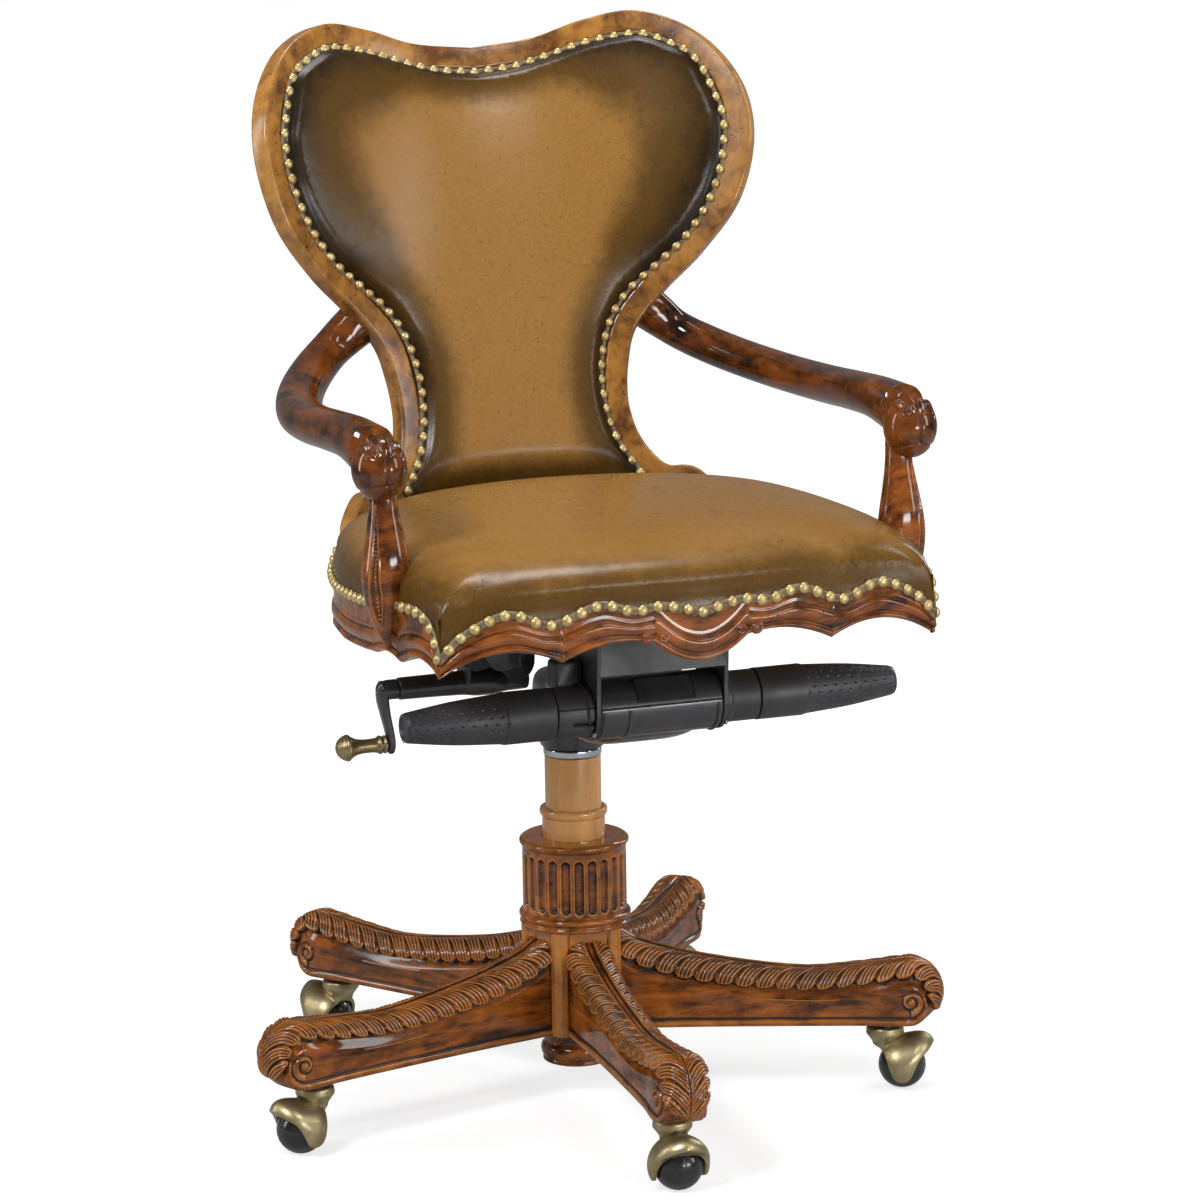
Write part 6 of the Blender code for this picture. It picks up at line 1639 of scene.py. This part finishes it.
def drum_wave(angle, along):
    """The housing's split line and the bare flat panel on its front."""
    wave = -0.0012 * soft_bump((angle - SPLIT_ANGLE) * DRUM_BODY_RADIUS, 0.0009)
    across = (angle - PANEL_ANGLE) * DRUM_BODY_RADIUS
    inside = smooth_step(0.0296, 0.0286, np.abs(along - PANEL_MIDDLE)) * smooth_step(0.0126, 0.0117, np.abs(across))
    flat = 0.0299 / np.cos(np.clip(angle - PANEL_ANGLE, -0.6, 0.6)) - DRUM_BODY_RADIUS
    border = soft_bump(np.abs(along - PANEL_MIDDLE) - 0.0302, 0.0009) * (np.abs(across) < 0.0130)
    border = np.maximum(border, soft_bump(np.abs(across) - 0.0132, 0.0009) * (np.abs(along - PANEL_MIDDLE) < 0.0304))
    return wave + inside * flat - 0.0011 * border


def make_housing():
    half = DRUM_HALF_LENGTH
    ends = rounded_profile([(0.0005, -half), (DRUM_BODY_RADIUS, -half), (DRUM_BODY_RADIUS, -half + 0.012)], 0.0022, 6)
    middle = np.column_stack([np.full(180, DRUM_BODY_RADIUS), np.linspace(-half + 0.012, half - 0.012, 180)])
    profile = np.vstack([ends, middle[1:-1], ends[::-1] * np.array((1, -1))])
    drum = shifted(turned_sheet(profile, 320, axis="X", wave=drum_wave), (0, TILT_Y, TILT_Z))
    keys = through_keys(
        [(0.0, -0.2270, 0.4425, 0.4925, 0.0620), (0.14, -0.2010, 0.4250, 0.4940, 0.0600),
         (0.33, -0.1610, 0.4150, 0.4870, 0.0560), (0.60, -0.1010, 0.4100, 0.4750, 0.0500),
         (0.84, -0.0335, 0.3900, 0.4625, 0.0405), (0.93, 0.0134, 0.3840, 0.4585, 0.0385),
         (1.0, 0.0365, 0.3920, 0.4525, 0.0255)], np.linspace(0, 1, 70))
    path = np.stack([np.zeros(70), keys[:, 0], (keys[:, 1] + keys[:, 2]) / 2], axis=-1)
    rings = [round_section(wide, (top - low) / 2, 72, 4.5) for _, low, top, wide in keys]
    wedge = swept(path, rings)
    socket = turned_sheet(rounded_profile(
        [(0.0150, 0.3752), (0.0325, 0.3752), (0.0340, 0.3780), (0.0395, 0.3980), (0.0400, 0.4200), (0.0300, 0.4320)],
        0.003, 6), 120)
    around = np.linspace(3.05, 5.0, 40)
    up = np.stack([np.zeros(40), np.cos(around), np.sin(around)], axis=-1)
    ribs = []
    for x in (-0.0615, -0.034, 0.060):
        ribs.append(swept(up * 0.0305 + (x, TILT_Y, TILT_Z), round_section(0.0013, 0.0016, 12, 3), up))
    add_piece("black_housing", [drum, wedge, socket, *ribs], "mechanism", BLACK_STEEL,
              ["mechanism_housing"], sharp=60)
    head = shifted(turned_sheet(
        [(0.0030, 0.0690), (0.0030, 0.0702), (0.0024, 0.0713), (0.0008, 0.0717), (0.0003, 0.0712)], 24, axis="X"),
        (0, -0.2535, 0.4475))
    add_piece("flange_screws", [facing(head, 1), facing(head, -1)], "seat", BARE_STEEL)


def collar_wave(angle, along):
    """A slot with a deep middle, low on the front of the left collar."""
    across = (angle - 3.42) * COLLAR_RADIUS
    slot = smooth_step(0.0028, 0.0022, np.abs(across)) * smooth_step(0.0132, 0.0126, np.abs(along - 0.0790))
    line = soft_bump(across - 0.0055, 0.0007) + soft_bump(across + 0.0150, 0.0007)
    return -0.0035 * slot - 0.0008 * np.clip(line, 0, 1)


def grip_wave(angle, along):
    """Rows of small dents on the outer half of a grip."""
    rows = angle * 20 / math.tau
    row = np.round(rows)
    across = (rows - row) * 0.0068
    place = (along - 0.160) / 0.0115 + 0.5 * np.mod(row, 2)
    ahead = (place - np.round(place)) * 0.0115
    inside = (along > 0.158) * (along < 0.2545)
    return -0.0011 * soft_bump(np.hypot(ahead / 2.2, across), 0.0013) * inside


def make_collar(name, side):
    """A moulded collar. The left one has a slot, and a box behind it."""
    start, end = COLLAR_START, COLLAR_START + COLLAR_LENGTH - 0.0002
    profile = rounded_profile(
        [(0.0090, start), (0.0275, start), (0.0275, start + 0.0060), (COLLAR_RADIUS, start + 0.0075),
         (COLLAR_RADIUS, start + 0.0200), (COLLAR_RADIUS, start + 0.0370), (0.0240, end), (0.0090, end)], 0.0012, 8)
    if side > 0:
        blocks = [turned_sheet(profile, 120, axis="X")]
    else:
        fine = np.linspace(start + 0.0085, start + 0.036, 70)
        profile = profile[(profile[:, 1] < fine[0]) | (profile[:, 1] > fine[-1])]
        cut = np.searchsorted(profile[:, 1], fine[0])
        profile = np.insert(profile, cut, np.column_stack([np.full(70, COLLAR_RADIUS), fine]), axis=0)
        blocks = [turned_sheet(profile, 300, axis="X", wave=collar_wave)]
        box = rounded_profile([(0.0, 0.0), (0.0, 0.0275), (0.0275, 0.0275), (0.0275, 0.0)], 0.005, 6)
        middle = (0.01375, 0.01375)
        rings = []
        for y, shrink in ((0.0075, 0.0015), (0.0090, 0.0), (0.0320, 0.0), (0.0335, 0.0015)):
            ring = (box - middle) * (1 - shrink / 0.014) + middle
            rings.append(np.column_stack([ring[:, 0] + start + 0.0005, np.full(len(ring), y), ring[:, 1] + 0.021]))
        blocks.append(grid(np.array(rings), closed=True))
    blocks = [shifted(facing(block, side), (0, TILT_Y, TILT_Z)) for block in blocks]
    add_piece("moulded_collar_" + name, blocks, "mechanism", BLACK_PLASTIC,
              ["grip_collar_" + name], sharp=45)


def make_grip(name, side):
    """A tapered twist grip with dents on its outer half and a dished end."""
    start, end = GRIP_START, GRIP_START + GRIP_LENGTH
    dish = end - 0.0022
    taper = np.linspace(start + 0.052, end - 0.0035, 190)
    radius = key_value([(start + 0.052, 0.0252), (0.2110, 0.0214), (end, 0.0147)], taper)
    profile = np.vstack([
        rounded_profile([(0.0090, start), (0.0262, start), (0.0262, start + 0.050), (0.0256, taper[0])], 0.0012, 5),
        np.column_stack([radius, taper]),
        rounded_profile([(0.0148, end - 0.003), (0.0140, end), (0.0108, end), (0.0100, dish), (0.0078, dish),
                         (0.0070, end - 0.0034), (0.0060, dish), (0.0003, dish)], 0.0008, 4),
    ])
    block = shifted(facing(turned_sheet(profile, 260, axis="X", wave=grip_wave), side), (0, TILT_Y, TILT_Z))
    add_piece("dimpled_grip_" + name, [block], "grip_%s_turn" % name, BLACK_PLASTIC,
              ["grip_" + name], sharp=50)


def make_grips():
    for name, side in SIDES:
        make_collar(name, side)
        make_grip(name, side)


def make_crank_bracket():
    """The web that carries the crank's sleeve under the seat."""
    outline = smooth_line(
        [(-0.127, 0.5840), (-0.120, 0.5100), (-0.104, 0.4830), (-0.090, 0.4670), (-0.0742, 0.4672),
         (-0.0632, 0.4680), (-0.0600, 0.4590), (-0.0550, 0.4600), (-0.0500, 0.4680), (-0.0485, 0.4800),
         (-0.0480, 0.5300), (-0.0485, 0.5840), (-0.077, 0.5842)], 260, closed=True)
    middle = outline.mean(axis=0)
    rings = []
    for inset, y in ((0.0012, -0.0255), (0.0, -0.0245), (0.0, -0.0205), (0.0012, -0.0195)):
        ring = outline + unit(middle - outline) * inset
        rings.append(np.column_stack([ring[:, 0], np.full(len(ring), y), ring[:, 1]]))
    web = grid(np.array(rings), closed=True)
    add_piece("crank_bracket", [web], "seat", BLACK_STEEL, sharp=50)


def on_crank(profile, steps, height=CRANK_Z):
    """A sheet turned about a line across the chair at this height."""
    return shifted(turned_sheet(profile, steps, axis="X"), (0, 0, height))


def make_crank():
    """The painted sleeve and the bent crank in it, with the knob's pin."""
    sleeve = rounded_profile(
        [(0.0078, CRANK_SLEEVE_END), (0.0108, CRANK_SLEEVE_END), (CRANK_SLEEVE_RADIUS, CRANK_SLEEVE_END + 0.0016),
         (0.0120, -0.150), (0.0128, -0.120), (0.0150, -0.106), (0.0152, -0.088), (0.0128, -0.074), (0.0122, -0.050),
         (0.0078, -0.050)], 0.004, 7)
    add_piece("painted_crank_sleeve", [on_crank(sleeve, 96)], "seat", BLACK_STEEL,
              ["crank_sleeve"])
    shaft = rounded_profile(
        [(0.0003, -0.070), (0.0068, -0.070), (0.0068, CRANK_SLEEVE_END - 0.0005), (0.0104, CRANK_SLEEVE_END - 0.0005),
         (0.0104, -0.2010), (0.0092, -0.2080), (0.0060, -0.2122), (0.0003, -0.2135)], 0.0022, 6)
    keys = through_keys(
        [(0.0, CRANK_Z + 0.0083, -0.2035, 0.0030, 0.0045), (0.07, CRANK_Z + 0.0050, -0.2052, 0.0062, 0.0078),
         (0.22, CRANK_Z - 0.0075, -0.2065, 0.0064, 0.0086), (0.45, CRANK_Z - 0.0255, -0.2038, 0.0052, 0.0080),
         (0.80, KNOB_HEIGHT + 0.0080, -0.1990, 0.0044, 0.0078),
         (0.92, KNOB_HEIGHT - 0.0025, -0.1985, 0.0044, 0.0074),
         (0.98, KNOB_HEIGHT - 0.0090, -0.1992, 0.0034, 0.0050),
         (1.0, KNOB_HEIGHT - 0.0107, -0.1995, 0.0012, 0.0018)], np.linspace(0, 1, 90))
    path = np.stack([keys[:, 1], np.zeros(90), keys[:, 0]], axis=-1)
    rings = [round_section(wide, thick, 40, 2.6) for _, _, thick, wide in keys]
    arm = swept(path, rings, (-1.0, 0.0, 0.0))
    pin = [(0.0003, -0.2360), (0.0030, -0.2355), (0.0030, -0.2000), (0.0003, -0.2000)]
    add_piece("bent_crank", [on_crank(shaft, 72), arm, on_crank(pin, 24, KNOB_HEIGHT)], "crank", BLACK_STEEL,
              ["crank_arm"])


def make_knob():
    """The turned brass knob, free on the crank's pin."""
    neck = smooth_line([(0.0036, 0.0), (0.0080, 0.0002), (0.0096, 0.0018), (0.0086, 0.0036), (0.0080, 0.0044),
                        (0.0094, 0.0060), (0.0097, 0.0078), (0.0084, 0.0098), (0.0076, 0.0125), (0.0072, 0.0190),
                        (0.0074, 0.0260), (0.0088, 0.0330), (0.0118, 0.0385), (0.0138, 0.0410)], 120)
    turn = np.linspace(0, 1, 90)
    cap_radius = (KNOB_RADIUS - 0.0003) * np.cos(turn * math.pi / 2) ** 0.8 + 0.0003
    grooves = 0.00055 * (0.5 - 0.5 * np.cos(turn * math.tau * 6))
    cap_place = 0.0415 + 0.0125 * np.sin(turn * math.pi / 2) ** 1.35 - grooves
    profile = np.vstack([neck, np.column_stack([cap_radius, cap_place])])
    profile[:, 1] = KNOB_START - profile[:, 1]
    knob = on_crank(profile, 110, KNOB_HEIGHT)
    add_piece("turned_brass_knob", [knob], "knob", KNOB_BRASS, ["crank_knob"], (0.0007, 4))


def make_rear_rail():
    """The rear rail, curved with the back frame above it and moulded along its lower edge."""
    count = 160
    x = np.linspace(-0.1945, 0.1945, count)
    rear_y = back_front(x, DECK_TOP) + BACK_THICKNESS - 0.0002
    outward = unit(np.stack([2 * BACK_CURVE * x, np.ones(count), np.zeros(count)], axis=-1))
    bottom = 0.5302
    heights = np.linspace(0, 0.0668, 60)
    proud = key_value(RAIL_MOULDING, heights) * 0.8 - 0.0024
    face = np.stack([x, rear_y, np.zeros(count)], axis=-1)[:, None] + outward[:, None] * proud[None, :, None]
    face[..., 2] = bottom + heights
    front = np.stack([x, back_front(x, DECK_TOP) - 0.0103, np.zeros(count)], axis=-1)
    inside = [front + (0, 0, DECK_TOP), front + (0, 0, bottom)]
    sheet = grid(np.concatenate([face, np.stack(inside, axis=1)], axis=1), closed=True)
    add_piece("moulded_back_rail", [sheet], "seat", FRAME_WALNUT, ["back_rail"], (0.0011, 6), 60)


def finish_hidden_parts():
    """Edges and finishes for the plain pieces that stay as they are."""
    for name, material, width in (
        ("seat_plate", BLACK_PLASTIC, 0.0007), ("seat_deck", PLYWOOD, 0.0008), ("gas_cylinder", BARE_STEEL, 0.0008),
        ("piston_rod", BARE_STEEL, 0.0005), ("tilt_axle", BARE_STEEL, 0.0005), ("tension_bush", BUSH_RUBBER, 0.0006),
    ):
        node = NODES[name]
        node.data.materials.clear()
        node.data.materials.append(material)
        edge = node.modifiers.new("Rounded edges", "BEVEL")
        edge.width = width
        edge.segments = 3
        edge.limit_method = "ANGLE"
        edge.angle_limit = math.radians(35)
        edge.harden_normals = True


# Casters

CASTER_REACH = 0.325
CASTER_TRAIL = 0.018
BALL_RADIUS, BALL_HALF_LENGTH = 0.025, 0.0225
HOOD_TOP = 0.0685
HOOD_RIM = [
    (-0.040, 0.0490), (-0.012, 0.0472), (-0.002, 0.0400), (0.0055, 0.0200), (0.0100, 0.0135), (0.0165, 0.0112),
    (0.0225, 0.0130), (0.0270, 0.0185), (0.0352, 0.0355), (0.0430, 0.0425), (0.0560, 0.0520), (0.0780, 0.0600),
]


def make_hood_mesh():
    """A cast hood: a flared visor over the ball, a neck, a flat collar and a rounded ear on each side."""
    outside = BALL_RADIUS + 0.0062
    shape = bmesh.new()
    bmesh.ops.create_uvsphere(shape, u_segments=96, v_segments=64, radius=outside)
    for vertex in shape.verts:
        lift = math.atan2(vertex.co.z, vertex.co.x)
        ahead = math.exp(-(((lift - math.radians(47)) / math.radians(28)) ** 2))
        ahead *= max(1 - abs(vertex.co.y) / outside, 0.0) ** 0.9
        vertex.co *= 1 + 0.0125 / outside * ahead
        vertex.co += Vector((CASTER_TRAIL, 0, BALL_RADIUS))
    dome = mesh_object("hood_dome", shape)
    collar = mesh_object("hood_collar", sheet_shape([turned_sheet(
        [(0.0005, HOOD_TOP), (0.0175, HOOD_TOP), (0.0195, HOOD_TOP - 0.002), (0.0203, HOOD_TOP - 0.0085),
         (0.0170, HOOD_TOP - 0.0130), (0.0135, HOOD_TOP - 0.0180), (0.0125, HOOD_TOP - 0.026),
         (0.0005, HOOD_TOP - 0.030)], 72)]))
    outline = np.vstack([smooth_line(HOOD_RIM, 90), [(0.078, -0.05), (-0.04, -0.05)]])
    cutter = mesh_object("hood_rim", plate_shape(outline, 0.06))
    ball = bmesh.new()
    bmesh.ops.create_uvsphere(ball, u_segments=96, v_segments=64, radius=BALL_RADIUS + 0.0021)
    for vertex in ball.verts:
        vertex.co += Vector((CASTER_TRAIL, 0, BALL_RADIUS))
    hollow = mesh_object("hood_hollow", ball)
    for other, operation in ((collar, "UNION"), (cutter, "DIFFERENCE"), (hollow, "DIFFERENCE")):
        apply_modifier(dome, "BOOLEAN", object=other, operation=operation, solver="EXACT")
        bpy.data.objects.remove(other, do_unlink=True)
    apply_modifier(dome, "REMESH", mode="VOXEL", voxel_size=0.0007)
    mesh = dome.data
    bpy.data.objects.remove(dome, do_unlink=True)
    places = neighbour_mean(mesh, vertex_places(mesh), 6)
    mesh.vertices.foreach_set("co", np.asarray(places, np.float32).ravel())
    mesh.update()
    mesh.shade_smooth()
    mark_hollows(mesh, 0.0007, 10)
    mesh.name = "brass_hood"
    return mesh


def sheet_shape(blocks):
    mesh = new_mesh("shape", blocks)
    shape = bmesh.new()
    shape.from_mesh(mesh)
    bpy.data.meshes.remove(mesh)
    return shape


def plate_shape(outline, half):
    near = np.stack([outline[:, 0], np.full(len(outline), -half), outline[:, 1]], axis=-1)
    far = near * np.array((1, -1, 1))
    return sheet_shape([grid(np.array([near, far]), closed=True)])


def mesh_object(name, shape):
    mesh = bpy.data.meshes.new(name)
    shape.to_mesh(mesh)
    shape.free()
    made = bpy.data.objects.new(name, mesh)
    bpy.context.scene.collection.objects.link(made)
    return made


def apply_modifier(made, kind, **settings):
    """Adds a modifier and keeps its result as the object's mesh."""
    modifier = made.modifiers.new(kind, kind)
    for label, value in settings.items():
        setattr(modifier, label, value)
    bpy.context.view_layer.update()
    result = bpy.data.meshes.new_from_object(made.evaluated_get(bpy.context.evaluated_depsgraph_get()))
    made.modifiers.clear()
    old = made.data
    made.data = result
    bpy.data.meshes.remove(old)


def make_ball_mesh():
    """A turned ball with a fine seam round its middle and a flat boss at each side."""
    end = BALL_HALF_LENGTH
    along = np.linspace(-end, end, 121)[1:-1]
    radius = np.sqrt(BALL_RADIUS**2 - along**2) - 0.0004 * np.exp(-((along / 0.0006) ** 2))
    profile = [(0.0003, -end), (0.0095, -end), *zip(radius, along), (0.0095, end), (0.0003, end)]
    mesh = new_mesh("caster_ball", [turned_sheet(profile, 96, axis="Y")])
    mark_hollows(mesh, 0.0006, 2)
    return mesh


def make_casters():
    hood, ball = make_hood_mesh(), make_ball_mesh()
    axle = new_mesh("caster_axle", [turned_sheet(rounded_profile(
        [(0.0003, -0.0290), (0.0028, -0.0290), (0.0030, -0.0280), (0.0030, 0.0280), (0.0028, 0.0290), (0.0003, 0.0290)],
        0.0006, 4), 32, axis="Y")])
    stem = new_mesh("caster_stem", [turned_sheet(rounded_profile(
        [(0.0003, 0.0590), (0.0055, 0.0590), (0.0055, 0.0688), (0.0133, 0.0688), (0.0133, 0.0713), (0.0055, 0.0713),
         (0.0055, 0.1100), (0.0003, 0.1100)], 0.0005, 3), 64)])
    for mesh in (axle, stem):
        mark_hollows(mesh, 0.0006, 2)
    for number in range(1, LEG_COUNT + 1):
        angle = leg_angle(number)
        out = np.array((math.cos(angle), math.sin(angle), 0))
        place = COLUMN_PLACE + CASTER_REACH * out
        hub = place + CASTER_TRAIL * out + (0, 0, BALL_RADIUS)
        for kind, mesh, body, where, material, slot_name in (
            ("stem", stem, "caster_%d", place, BARE_STEEL, "bare_steel"),
            ("hood", hood, "caster_%d", place, ANTIQUE_BRASS, "antique_brass"),
            ("axle", axle, "caster_%d", hub, BARE_STEEL, "bare_steel"),
            ("ball", ball, "wheel_%d", hub, BALL_RUBBER, "black_ball_rubber"),
        ):
            name = "caster_%s_%d" % (kind, number)
            place_piece("turned_" + name, mesh, body % number, material, [name], where, angle)


make_camera()
make_studio()
make_legs()
make_hub()
make_core()
make_foot()
make_rails()
make_cushion()
make_seat_nails()
make_back_frame()
make_back_pad()
make_back_cover()
make_back_nails()
make_arms()
make_column()
make_housing()
make_grips()
make_crank_bracket()
make_crank()
make_knob()
make_rear_rail()
make_casters()
finish_hidden_parts()
